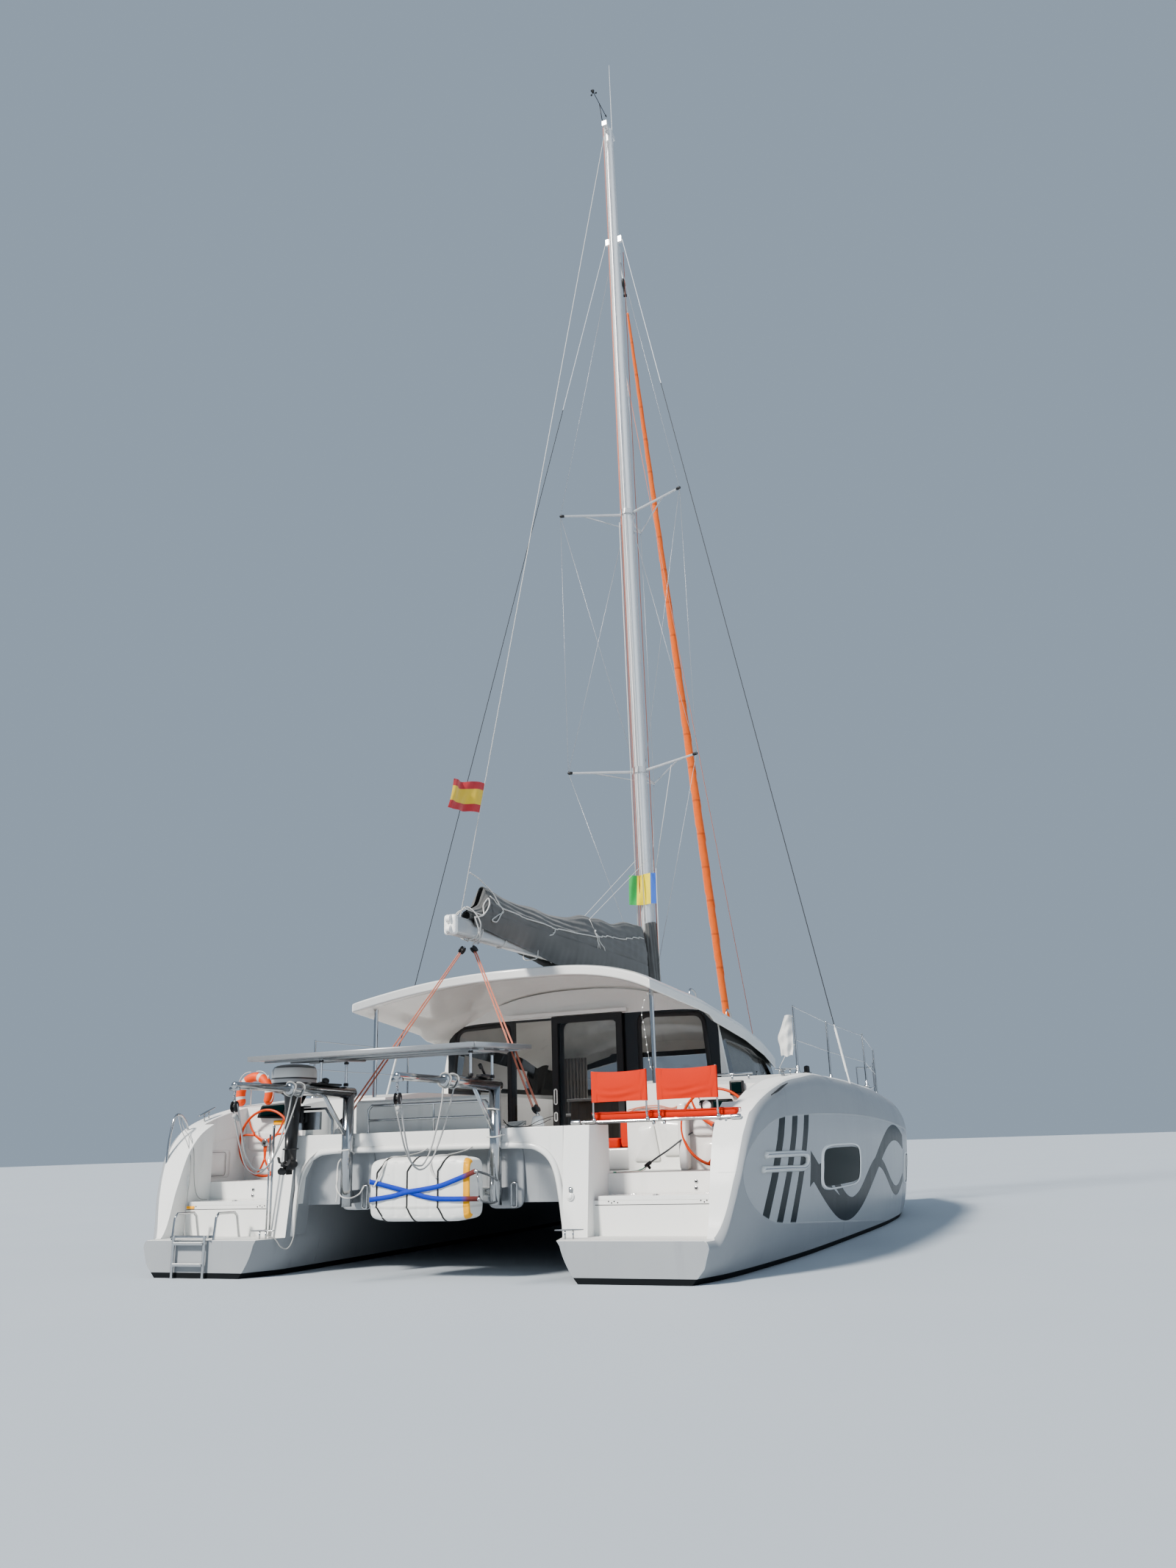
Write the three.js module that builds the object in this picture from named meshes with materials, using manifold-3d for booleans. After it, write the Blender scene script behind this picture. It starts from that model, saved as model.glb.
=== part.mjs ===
// Sailing catamaran, about 12 m long, as an assembly of named solids.
// Frame: millimetres, +X to starboard, +Y to the bows, +Z up.
// The origin is on the centreline, at the transoms' aft face, on the waterline.
import * as THREE from "three";
import { mergeVertices } from "three/addons/utils/BufferGeometryUtils.js";
import Module from "manifold-3d";

const wasm = await Module();
wasm.setup();

// Driving dimensions
const HULL_LENGTH = 11950;
const HULL_AXIS = 2250;
const TUNNEL_SIDE = 1450;
const PLATFORM_Z = 340;
const SOLE_Z = 850;
const DECK_Z = 1760;
const BEAM_TOP_Z = 1280;
const BULKHEAD_Y = 4200;
const HOUSE_FRONT_Y = 8500;
const FOREDECK = { y: 7900, z: 1640 };
const MAST_Y = 7050;
const MAST_FOOT_Z = 2800;
const MASTHEAD_Z = 19300;
const MAST_RAKE = 190;
const BOOM_PIVOT_Y = 6850;
const BOOM_Z = 3420;
const HOUNDS_Z = 16800;
const CHAINPLATE = [3240, 4860];
const GAP = 0.4;

// Solids from three.js geometries

// A closed three.js geometry as a solid, with its shared corners merged.
function solid(geometry) {
  const bare = new THREE.BufferGeometry();
  const source = geometry.index ? geometry.toNonIndexed() : geometry;
  bare.setAttribute("position", source.getAttribute("position"));
  const merged = mergeVertices(bare, 1e-3);
  const numbers = Array.from(merged.index.array);
  const corners = [];
  for (let i = 0; i < numbers.length; i += 3) {
    const [a, b, c] = numbers.slice(i, i + 3);
    if (a !== b && b !== c && a !== c) corners.push(a, b, c);
  }
  const vertProperties = merged.attributes.position.array;
  let made = new wasm.Manifold(
    new wasm.Mesh({ numProp: 3, vertProperties, triVerts: new Uint32Array(corners) }),
  );
  if (made.volume() < 0) {
    made = new wasm.Manifold(
      new wasm.Mesh({ numProp: 3, vertProperties, triVerts: new Uint32Array(corners.reverse()) }),
    );
  }
  return made;
}

function join(...parts) {
  return parts.flat().reduce((sum, part) => sum.add(part));
}

function cut(body, ...tools) {
  return tools.flat().reduce((left, tool) => left.subtract(tool), body);
}

// Cuts a neighbour out of a body and leaves a gap to it on every side.
function clearOf(body, neighbours, gap = GAP) {
  const moves = [
    [gap, 0, 0],
    [-gap, 0, 0],
    [0, gap, 0],
    [0, -gap, 0],
    [0, 0, gap],
    [0, 0, -gap],
  ];
  return cut(body, neighbours.flatMap((near) => moves.map((move) => near.translate(move))));
}

// The largest piece of a solid that a cut has left in several.
function mainPiece(body) {
  return body.decompose().sort((a, b) => b.volume() - a.volume())[0];
}

function mirrored(body) {
  return body.mirror([1, 0, 0]);
}

// The point a share of the way between two points.
function along(from, to, share) {
  return from.map((value, i) => value + (to[i] - value) * share);
}

// A box from its lowest to its highest corner.
function block([x0, y0, z0], [x1, y1, z1]) {
  const box = new THREE.BoxGeometry(x1 - x0, y1 - y0, z1 - z0);
  return solid(box.translate((x0 + x1) / 2, (y0 + y1) / 2, (z0 + z1) / 2));
}

// A round bar between two points, with the end radii given.
function rod(from, to, radius, sides = 8, endRadius = radius) {
  const start = new THREE.Vector3(...from);
  const end = new THREE.Vector3(...to);
  const along = end.clone().sub(start);
  const bar = new THREE.CylinderGeometry(endRadius, radius, along.length(), sides);
  const turn = new THREE.Quaternion().setFromUnitVectors(
    new THREE.Vector3(0, 1, 0),
    along.clone().normalize(),
  );
  bar.applyQuaternion(turn).translate(...start.add(end).multiplyScalar(0.5).toArray());
  return solid(bar);
}

// A turned body between two points. Columns of the profile: share of the way, radius.
function turned(from, to, profile, sides = 12) {
  const start = new THREE.Vector3(...from);
  const whole = new THREE.Vector3(...to).sub(start);
  const first = whole.clone().normalize();
  const across = axis(0).cross(first).normalize();
  const other = first.clone().cross(across);
  return loft(profile.map(([share, radius]) => Array.from({ length: sides }, (_, i) => {
    const angle = (i * 2 * Math.PI) / sides;
    return start.clone().addScaledVector(whole, share)
      .addScaledVector(across, radius * Math.cos(angle))
      .addScaledVector(other, radius * Math.sin(angle)).toArray();
  })));
}

// A bent tube through a list of points, its rings lying in the mitre plane of each bend.
function tube(points, radius, sides = 8) {
  const path = points.map((point) => new THREE.Vector3(...point));
  const heading = path.slice(1).map((to, i) => to.clone().sub(path[i]).normalize());
  const first = heading[0];
  const aside = Math.abs(first.z) < 0.9 ? axis(2) : axis(0);
  const across = aside.clone().cross(first).normalize();
  const other = first.clone().cross(across);
  let ring = Array.from({ length: sides }, (_, i) => {
    const angle = (i * 2 * Math.PI) / sides;
    return path[0].clone()
      .addScaledVector(across, radius * Math.cos(angle))
      .addScaledVector(other, radius * Math.sin(angle));
  });
  const rings = [ring];
  for (let i = 1; i < path.length; i++) {
    const before = heading[i - 1];
    const plane = before.clone().add(heading[i] ?? before).normalize();
    ring = ring.map((point) => {
      const reach = path[i].clone().sub(point).dot(plane) / before.dot(plane);
      return point.clone().addScaledVector(before, reach);
    });
    rings.push(ring);
  }
  return loft(rings.map((one) => one.map((point) => point.toArray())));
}

// A closed slab between two surfaces, each a function of two shares from 0 to 1.
// The diagonals turn round at the middle column, so that a symmetric slab has symmetric faces.
function slab(columns, rows, upper, lower) {
  const corners = [];
  const quad = (a, b, c, d, turned = false) => {
    if (turned) corners.push(...a, ...b, ...d, ...b, ...c, ...d);
    else corners.push(...a, ...b, ...c, ...a, ...c, ...d);
  };
  const share = (i, count) => i / count;
  for (let i = 0; i < columns; i++) {
    for (let j = 0; j < rows; j++) {
      const [u0, u1] = [share(i, columns), share(i + 1, columns)];
      const [v0, v1] = [share(j, rows), share(j + 1, rows)];
      const second = i >= columns / 2;
      quad(upper(u0, v0), upper(u1, v0), upper(u1, v1), upper(u0, v1), second);
      quad(lower(u0, v1), lower(u1, v1), lower(u1, v0), lower(u0, v0), !second);
    }
  }
  for (let i = 0; i < columns; i++) {
    const [u0, u1] = [share(i, columns), share(i + 1, columns)];
    quad(lower(u0, 0), lower(u1, 0), upper(u1, 0), upper(u0, 0));
    quad(upper(u0, 1), upper(u1, 1), lower(u1, 1), lower(u0, 1));
  }
  for (let j = 0; j < rows; j++) {
    const [v0, v1] = [share(j, rows), share(j + 1, rows)];
    quad(upper(0, v0), upper(0, v1), lower(0, v1), lower(0, v0));
    quad(lower(1, v0), lower(1, v1), upper(1, v1), upper(1, v0));
  }
  const body = new THREE.BufferGeometry();
  body.setAttribute("position", new THREE.Float32BufferAttribute(corners, 3));
  return solid(body);
}

// A flat outline in one plane carried along the third axis: plane "yz" goes along x, and so on.
function prism(outline, plane, from, to) {
  const shape = new THREE.Shape(outline.map(([a, b]) => new THREE.Vector2(a, b)));
  const body = new THREE.ExtrudeGeometry(shape, { depth: to - from, bevelEnabled: false, steps: 1 });
  body.translate(0, 0, from);
  const place = new THREE.Matrix4();
  if (plane === "yz") place.makeBasis(axis(1), axis(2), axis(0));
  if (plane === "xz") place.makeBasis(axis(0), axis(2), axis(1));
  body.applyMatrix4(place);
  return solid(body);
}

function axis(i) {
  return new THREE.Vector3(Number(i === 0), Number(i === 1), Number(i === 2));
}

// A skin over rings of points, closed by a flat fan at each end. Every ring has the same number of points.
function loft(rings) {
  const count = rings[0].length;
  const corners = [];
  const triangle = (a, b, c) => corners.push(...a, ...b, ...c);
  for (let i = 0; i + 1 < rings.length; i++) {
    for (let j = 0; j < count; j++) {
      const k = (j + 1) % count;
      triangle(rings[i][j], rings[i][k], rings[i + 1][k]);
      triangle(rings[i][j], rings[i + 1][k], rings[i + 1][j]);
    }
  }
  for (const [ring, flip] of [[rings[0], true], [rings.at(-1), false]]) {
    for (let j = 1; j + 1 < count; j++) {
      if (flip) triangle(ring[0], ring[j + 1], ring[j]);
      else triangle(ring[0], ring[j], ring[j + 1]);
    }
  }
  const body = new THREE.BufferGeometry();
  body.setAttribute("position", new THREE.Float32BufferAttribute(corners, 3));
  return solid(body);
}

// Materials
const colours = {
  gelcoat: [0xeeeeea, 0.25, 0],
  grey: [0x9a9c9c, 0.35, 0],
  antifoul: [0x23262a, 0.8, 0],
  steel: [0xc9ccce, 0.2, 1],
  aluminium: [0xd8dadb, 0.35, 0.8],
  bronze: [0xa0763c, 0.4, 1],
  black: [0x17191b, 0.5, 0],
  glass: [0x1c2226, 0.05, 0],
  orange: [0xe8491f, 0.8, 0],
  canvas: [0x4c4d4f, 0.9, 0],
  net: [0x3a3c3e, 0.9, 0],
  panel: [0x20262e, 0.2, 0],
  plastic: [0xf2f2ee, 0.4, 0],
};

const boat = new THREE.Group();

function add(name, body, finish) {
  const mesh = body.getMesh();
  const geometry = new THREE.BufferGeometry();
  const step = mesh.numProp;
  const places = new Float32Array(mesh.numVert * 3);
  for (let i = 0; i < mesh.numVert; i++) {
    places.set(mesh.vertProperties.subarray(i * step, i * step + 3), i * 3);
  }
  geometry.setAttribute("position", new THREE.BufferAttribute(places, 3));
  geometry.setIndex(new THREE.BufferAttribute(new Uint32Array(mesh.triVerts), 1));
  const [color, roughness, metalness] = colours[finish];
  const piece = new THREE.Mesh(
    geometry,
    new THREE.MeshStandardMaterial({ color, roughness, metalness, flatShading: true }),
  );
  piece.name = name;
  boat.add(piece);
}

// Adds a starboard solid and its mirror image to port.
function addPair(name, body, finish) {
  add(name + "_starboard", body, finish);
  add(name + "_port", mirrored(body), finish);
}

// Hulls. Columns: y, keel depth, inner and outer waterline x, inner and outer deck edge x, deck height,
// width of the rounded shoulder.
const HULL_STATIONS = [
  [0, 130, 1740, 2735, 1552, 3060, 1760, 50],
  [450, 200, 1560, 2860, 1450, 3160, 1760, 60],
  [1400, 320, 1530, 2980, 1450, 3250, 1760, 90],
  [2800, 440, 1510, 3090, 1450, 3290, 1760, 120],
  [4800, 500, 1510, 3150, 1450, 3330, 1760, 200],
  [6600, 500, 1560, 3180, 1450, 3345, 1755, 340],
  [8000, 470, 1650, 3140, 1450, 3330, 1690, 380],
  [9000, 430, 1780, 3030, 1560, 3240, 1640, 360],
  [10000, 380, 1920, 2830, 1720, 3030, 1580, 280],
  [11000, 320, 2060, 2550, 1920, 2700, 1500, 180],
  [11700, 240, 2180, 2330, 2120, 2440, 1430, 80],
  [HULL_LENGTH, 60, 2235, 2265, 2215, 2290, 1400, 20],
];
// Share of the way from the waterline's x to the deck edge's x, at heights over the water.
const SIDE_FLARE = [
  [0, 0],
  [120, 0.33],
  [360, 0.56],
  [800, 0.84],
  [1150, 0.97],
  [DECK_Z, 1],
];
// The inner side, down from the deck edge. Columns: z, share of the way to the waterline's x.
const INNER_SIDE = [
  [600, 0],
  [300, 0.14],
  [120, 0.53],
];
const SHOULDER_ANGLES = [0, 30, 60, 90];
const SHOULDER_HEIGHT = 1.3;
const BOTTOM_ANGLES = [20, 42, 65, 90, 115, 138, 160];

// The value at a place in a table of rows, straight between the rows.
function between(table, place, column) {
  const k = Math.max(1, table.findIndex((row) => row[0] >= place));
  const [before, after] = [table[k - 1], table[k]];
  return before[column] + ((after[column] - before[column]) * (place - before[0])) / (after[0] - before[0]);
}

function hullRing([y, keel, innerWater, outerWater, innerDeck, outerDeck, deck, shoulder]) {
  const scale = deck / DECK_Z;
  const half = (outerWater - innerWater) / 2;
  const middle = (outerWater + innerWater) / 2;
  const outerX = (z) => outerWater + (outerDeck - outerWater) * between(SIDE_FLARE, z / scale, 1);
  const low = deck - SHOULDER_HEIGHT * shoulder;
  const bottom = BOTTOM_ANGLES.map((degrees) => {
    const angle = THREE.MathUtils.degToRad(degrees);
    return [middle - half * Math.cos(angle), -keel * Math.sin(angle) ** 0.75];
  });
  const rolled = SHOULDER_ANGLES.map((degrees) => {
    const angle = THREE.MathUtils.degToRad(degrees);
    return [outerX(low) - shoulder * (1 - Math.cos(angle)), low + (deck - low) * Math.sin(angle)];
  });
  return [
    [innerWater, 0],
    ...bottom,
    [outerWater, 0],
    ...SIDE_FLARE.slice(1, 4).map(([z]) => [outerX(z * scale), z * scale]),
    ...rolled,
    [innerDeck, deck],
    ...INNER_SIDE.map(([z, share]) => [innerDeck + (innerWater - innerDeck) * share, z * scale]),
  ].map(([x, z]) => [x, y, z]);
}

// Everything over this line in the side view is cut away at the stern. Columns: y, z.
const STERN_END = -50;
const OPEN_TOP = 2400;
const STERN_CREST = [
  [STERN_END, PLATFORM_Z],
  [150, PLATFORM_Z],
  [220, 420],
  [340, 790],
  [500, 1160],
  [700, 1360],
  [1000, 1490],
  [1420, 1595],
  [1800, 1660],
  [2330, 1710],
  [2900, DECK_Z + 1],
  [2900, OPEN_TOP],
  [STERN_END, OPEN_TOP],
];
const STEP_LID_Z = 670;
const STEP_LID = 38;
const LOCKER = [[1830, 560, 480], [2690, 800, STEP_LID_Z]];
// The platform, the step, the helm well and the passage to the cockpit.
// Columns: inner and outer x, aft and forward y, floor z.
const STERN_HOLLOWS = [
  [1700, 2830, STERN_END - 10, 490, PLATFORM_Z],
  [1700, 2830, 480, 860, STEP_LID_Z - STEP_LID - GAP],
  [1700, 2960, 850, 1560, SOLE_Z],
  [1300, 2200, 900, 2050, SOLE_Z],
];
// The slope from the platform up to the aft beam, in the side view. Columns: y, z.
const BEAM_SLOPE = [
  [440, BEAM_TOP_Z],
  [910, BEAM_TOP_Z],
  [910, OPEN_TOP],
  [STERN_END - 10, OPEN_TOP],
  [STERN_END - 10, PLATFORM_Z],
  [330, PLATFORM_Z],
];
const wellCuts = [
  ...STERN_HOLLOWS.map(([x0, x1, y0, y1, floor]) => block([x0, y0, floor], [x1, y1, OPEN_TOP])),
  prism(BEAM_SLOPE, "yz", 1300, 1710),
  block(...LOCKER),
];
const RUDDER = { x: 2240, y: 560, stock: 25, bore: 32 };
const hull = mainPiece(cut(
  loft(HULL_STATIONS.map(hullRing)),
  prism(STERN_CREST, "yz", 1300, 3600),
  wellCuts,
  rod([RUDDER.x, RUDDER.y, -600], [RUDDER.x, RUDDER.y, 120], RUDDER.bore, 16),
));
addPair("hull", hull, "gelcoat");
const hulls = [hull, mirrored(hull)];

// Lid of the locker in the stern step, hinged along its forward edge.
const stepLid = block([1740, 496, STEP_LID_Z - STEP_LID], [2790, 846, STEP_LID_Z]);
addPair("step_lid", stepLid, "gelcoat");

// Mini keels. Columns: share of height, chord, thickness, y of the leading edge.
const KEEL_SECTIONS = [
  [-380, 2700, 230, 6900],
  [-800, 2350, 200, 6780],
  [-1180, 2000, 160, 6620],
  [-1250, 1850, 90, 6540],
];
function foilRing(z, chord, thickness, leading, middle = HULL_AXIS + 80) {
  const shares = [[0, 0], [0.05, 0.55], [0.25, 1], [0.6, 0.75], [1, 0.04]];
  const side = shares.map(([along, wide]) => [along, (wide * thickness) / 2]);
  const back = side.slice(1).reverse().map(([along, wide]) => [along, -wide]);
  return [...side, ...back].map(([along, wide]) => [middle + wide, leading - along * chord, z]);
}
const keel = clearOf(loft(KEEL_SECTIONS.map((row) => foilRing(...row))), [hull]);
addPair("keel", mainPiece(keel), "antifoul");

// Rudders, each on a round stock. Columns: z, chord, thickness, y of the leading edge.
const RUDDER_SECTIONS = [
  [-300, 470, 62, 690],
  [-1000, 400, 46, 672],
  [-1120, 330, 24, 650],
];
const rudder = join(
  loft(RUDDER_SECTIONS.map((row) => foilRing(...row, RUDDER.x))),
  rod([RUDDER.x, RUDDER.y, -360], [RUDDER.x, RUDDER.y, 90], RUDDER.stock, 16),
);
addPair("rudder", rudder, "antifoul");

// Saildrive legs with their propellers.
const DRIVE = { x: 2290, y: 2150, shaftZ: -820 };
const driveLeg = join(
  loft([
    foilRing(-330, 360, 120, DRIVE.y + 190, DRIVE.x),
    foilRing(-900, 300, 96, DRIVE.y + 160, DRIVE.x),
  ]),
  rod([DRIVE.x, DRIVE.y + 190, DRIVE.shaftZ], [DRIVE.x, DRIVE.y - 150, DRIVE.shaftZ], 62, 12, 50),
);
const PROPELLER = { blades: 3, radius: 215, hub: 48, length: 130 };
const propellerY = DRIVE.y - 160;
function propellerAt(x) {
  const hubEnd = [x, propellerY - PROPELLER.length, DRIVE.shaftZ];
  const parts = [rod([x, propellerY, DRIVE.shaftZ], hubEnd, PROPELLER.hub, 12, 30)];
  for (let i = 0; i < PROPELLER.blades; i++) {
    const blade = new THREE.BoxGeometry(110, 9, PROPELLER.radius - 30);
    blade.translate(0, 0, 30 + (PROPELLER.radius - 30) / 2);
    blade.rotateZ(THREE.MathUtils.degToRad(38));
    blade.rotateY((i * 2 * Math.PI) / PROPELLER.blades);
    blade.translate(x, propellerY - PROPELLER.length / 2, DRIVE.shaftZ);
    parts.push(solid(blade));
  }
  return join(parts);
}

// Bridgedeck with the arched aft beam, the cockpit and saloon floor and the foredeck.
const BRIDGE_HALF = TUNNEL_SIDE - GAP;
const BRIDGE_PROFILE = [
  [600, 620],
  [560, BEAM_TOP_Z - 140],
  [425, BEAM_TOP_Z - 140],
  [425, BEAM_TOP_Z],
  [900, BEAM_TOP_Z],
  [900, SOLE_Z],
  [FOREDECK.y, SOLE_Z],
  [FOREDECK.y, FOREDECK.z],
  [8980, FOREDECK.z],
  [9040, 1590],
  [8980, 1150],
  [8760, 880],
  [8300, 700],
];
const ARCH = [
  [-BRIDGE_HALF, 360],
  [-BRIDGE_HALF, BEAM_TOP_Z],
  [BRIDGE_HALF, BEAM_TOP_Z],
  [BRIDGE_HALF, 360],
  [1425, 360],
  [1370, 880],
  [1280, 1050],
  [1110, 1120],
  [-1110, 1120],
  [-1280, 1050],
  [-1370, 880],
  [-1425, 360],
];
const bridgedeck = clearOf(join(
  prism(BRIDGE_PROFILE, "yz", -BRIDGE_HALF, BRIDGE_HALF),
  prism(ARCH, "xz", 425, 620),
), hulls);
add("bridgedeck", mainPiece(bridgedeck), "gelcoat");

addPair("saildrive", mainPiece(clearOf(driveLeg, [hull])), "black");
addPair("propeller", propellerAt(DRIVE.x), "bronze");

// Bench on the aft beam: its back shows over the beam from astern.
const BENCH_PROFILE = [
  [790, BEAM_TOP_Z + GAP],
  [790, 1580],
  [830, 1605],
  [900, 1600],
  [980, 1320],
  [1480, 1300],
  [1480, SOLE_Z + GAP],
  [900 + GAP, SOLE_Z + GAP],
  [900 + GAP, BEAM_TOP_Z + GAP],
];
add("aft_bench", prism(BENCH_PROFILE, "yz", -1000, 540), "gelcoat");

// Hardtop: a crowned shell, hollowed along its aft edge in plan and rounded over the front windows.
// Columns: share of the length, half width, crown height, edge height.
const ROOF_SECTIONS = [
  [0, 1820, 3110, 2760],
  [0.3, 1930, 3090, 2640],
  [0.6, 1960, 3000, 2470],
  [0.8, 1920, 2880, 2340],
  [1, 1800, 2640, 2230],
];
const ROOF_THICK = 85;
const ROOF_LIP = 45;
const ROOF_PLAN = { aft: 1880, hollow: 800, front: 7950, rounding: 850, crownPower: 2.4 };
function roofAt(share, column) {
  const k = ROOF_SECTIONS.findIndex((row) => row[0] >= share - 1e-9);
  const [before, after] = [ROOF_SECTIONS[Math.max(k - 1, 0)], ROOF_SECTIONS[k]];
  const part = after[0] > before[0] ? (share - before[0]) / (after[0] - before[0]) : 0;
  return before[column] + (after[column] - before[column]) * part;
}
// Columns over the half width and rows along it, with the same spacing carried on past its edges.
const ROOF_GRID = { columns: 14, rows: 8, extraColumns: 4, extraRows: 1, frontReach: 900, top: 3400 };
function roofPoint(side, v, drop) {
  const bulge = Math.abs(side) ** ROOF_PLAN.crownPower;
  const aft = ROOF_PLAN.aft + ROOF_PLAN.hollow * (1 - side ** 2);
  const front = ROOF_PLAN.front - ROOF_PLAN.rounding * bulge;
  const x = side * roofAt(v, 1);
  const z = roofAt(v, 2) - (roofAt(v, 2) - roofAt(v, 3)) * bulge;
  return [x, aft + (front - aft) * v, z - drop];
}
const lipAt = (side, v) => ROOF_THICK + ROOF_LIP * Number(Math.abs(side) > 0.99 || v < 0.01 || v > 0.99);
const roofSide = (u) => 1 - 2 * u;
const roof = slab(ROOF_GRID.columns, ROOF_GRID.rows,
  (u, v) => roofPoint(roofSide(u), v, 0),
  (u, v) => roofPoint(roofSide(u), v, lipAt(roofSide(u), v)));
add("hardtop", roof, "gelcoat");

// Everything from the roof's underside upward, carried on past its edges, ends the walls below it.
function underRoof(u, v) {
  const side = (1 - 2 * u) * (1 + ROOF_GRID.extraColumns / ROOF_GRID.columns);
  const share = Math.min(1, v * (1 + ROOF_GRID.extraRows / ROOF_GRID.rows));
  const [x, y, z] = roofPoint(side, share, lipAt(side, share) + GAP);
  return [x, y + (v > 0.99 ? ROOF_GRID.frontReach : 0), z];
}
const overRoof = slab(
  ROOF_GRID.columns + ROOF_GRID.extraColumns, ROOF_GRID.rows + ROOF_GRID.extraRows,
  (u, v) => [...underRoof(u, v).slice(0, 2), ROOF_GRID.top], underRoof);

// Deckhouse walls. Columns: x and y on the base line, x and y under the roof.
const HOUSE_PLAN = [
  [1985, BULKHEAD_Y, 1800, BULKHEAD_Y],
  [1965, 5600, 1790, 5600],
  [1900, 6900, 1700, 6600],
  [1760, 7600, 1540, 7050],
  [1480, 8080, 1250, 7350],
  [900, 8400, 750, 7560],
  [0, HOUSE_FRONT_Y, 0, 7640],
];
const HOUSE_BASE_Z = 1600;
const HOUSE_TOP_Z = 3100;
const HOUSE_PLAN_TOP_Z = 2700;
const HOUSE_HALF = 1900;
const HOUSE_LENGTH = 4100;
const FRONT_WALL_SHARE = 1.1;
const BULKHEAD_THICK = 55;
function houseRing(z, inset, aftY) {
  const lift = (z - HOUSE_BASE_Z) / (HOUSE_PLAN_TOP_Z - HOUSE_BASE_Z);
  const starboard = HOUSE_PLAN.map(([x0, y0, x1, y1], i) => {
    const x = x0 + (x1 - x0) * lift;
    const y = y0 + (y1 - y0) * lift;
    const inX = x * (1 - inset / HOUSE_HALF);
    const inY = i === 0 ? aftY
      : BULKHEAD_Y + (y - BULKHEAD_Y) * (1 - (inset * FRONT_WALL_SHARE) / HOUSE_LENGTH);
    return [inX, inY, z];
  });
  const port = starboard.slice(0, -1).reverse().map(([x, y, height]) => [-x, y, height]);
  return [...starboard, ...port];
}
function houseBlock(inset, aftY) {
  return loft([houseRing(HOUSE_BASE_Z, inset, aftY), houseRing(HOUSE_TOP_Z, inset, aftY)]);
}
function houseShell(outside, inside, aftY) {
  return cut(houseBlock(outside, aftY), houseBlock(inside, BULKHEAD_Y - 300));
}
const WALL = 60;
const PANE = [26, 36];
const SIDE_WINDOW = [[4440, 1890], [4400, 2290], [5400, 2240], [6400, 2130], [6640, 1930]];
const FRONT_WINDOW = [[-1420, 1930], [-1360, 2200], [-700, 2370], [700, 2370], [1360, 2200],
  [1420, 1930]];
const sideOpening = join(
  prism(SIDE_WINDOW, "yz", 1500, 2200),
  prism(SIDE_WINDOW, "yz", -2200, -1500),
);
const frontOpening = prism(FRONT_WINDOW, "xz", 6950, 8900);
const walls = cut(
  houseShell(0, WALL, BULKHEAD_Y + BULKHEAD_THICK + GAP),
  sideOpening,
  frontOpening,
);
const HOUSE_JOINT_Y = 6900;
const wallsClear = cut(
  walls,
  overRoof,
  hulls.flatMap((one) => [[GAP, 0, 0], [-GAP, 0, 0], [0, 0, GAP]].map((move) => one.translate(move))),
  block([-TUNNEL_SIDE - 5, FOREDECK.y - GAP, 1500], [TUNNEL_SIDE + 5, 9000, FOREDECK.z + GAP]),
);
const FAR = 9000;
addPair("house_side", mainPiece(wallsClear.intersect(
  block([GAP, 0, SOLE_Z], [FAR, HOUSE_JOINT_Y, FAR]),
)), "gelcoat");
add("house_front", mainPiece(wallsClear.intersect(
  block([-FAR, HOUSE_JOINT_Y + GAP, SOLE_Z], [FAR, FAR, FAR]),
)), "gelcoat");
const panes = houseShell(PANE[0], PANE[1], BULKHEAD_Y + BULKHEAD_THICK + GAP);
addPair("side_glass", clearOf(
  panes.intersect(prism(SIDE_WINDOW, "yz", 1500, 2200)), [walls],
), "glass");
add("front_glass", mainPiece(clearOf(panes.intersect(frontOpening), [walls])), "glass");

// Aft bulkhead of the deckhouse: a plate with its openings, a door track over and under them.
const BULKHEAD_OUTLINE = [
  [-BRIDGE_HALF, SOLE_Z + GAP],
  [BRIDGE_HALF, SOLE_Z + GAP],
  [BRIDGE_HALF, DECK_Z + GAP],
  [1955, DECK_Z + GAP],
  [1800, 2700],
  [1760, 3100],
  [-1760, 3100],
  [-1800, 2700],
  [-1955, DECK_Z + GAP],
  [-BRIDGE_HALF, DECK_Z + GAP],
];
const PORT_PANE = [[-1400, 1150], [-960, 1150], [-960, 2620], [-1700, 2590], [-1770, 1850],
  [-1400, 1850]];
const STARBOARD_PANE = [[840, 1150], [1400, 1150], [1400, 1850], [1720, 1850], [1660, 2590],
  [840, 2620]];
const CENTRE_PANE = [[-210, 900], [570, 900], [570, 2620], [-210, 2620]];
const DOORWAY = [[-880, 890], [-290, 890], [-290, 2640], [-880, 2640]];
const bulkheadPlate = prism(BULKHEAD_OUTLINE, "xz", BULKHEAD_Y, BULKHEAD_Y + BULKHEAD_THICK);
const throughPlate = (outline) => prism(outline, "xz", BULKHEAD_Y - 200, BULKHEAD_Y + 200);
const bulkhead = join(
  cut(bulkheadPlate, [PORT_PANE, STARBOARD_PANE, CENTRE_PANE, DOORWAY].map(throughPlate)),
  block([-960, BULKHEAD_Y - 80, 2680], [700, BULKHEAD_Y, 2725]),
  block([-960, BULKHEAD_Y - 80, SOLE_Z + GAP], [700, BULKHEAD_Y, 868]),
);
add("aft_bulkhead", mainPiece(clearOf(bulkhead, [...hulls, bridgedeck, roof])), "black");
const paneLayer = [BULKHEAD_Y + 20, BULKHEAD_Y + 28];
const BULKHEAD_PANES = [
  ["aft_glass_port", PORT_PANE],
  ["aft_glass_centre", CENTRE_PANE],
  ["aft_glass_starboard", STARBOARD_PANE],
];
for (const [name, outline] of BULKHEAD_PANES) {
  add(name, clearOf(prism(outline, "xz", ...paneLayer), [bulkhead]), "glass");
}

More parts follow.
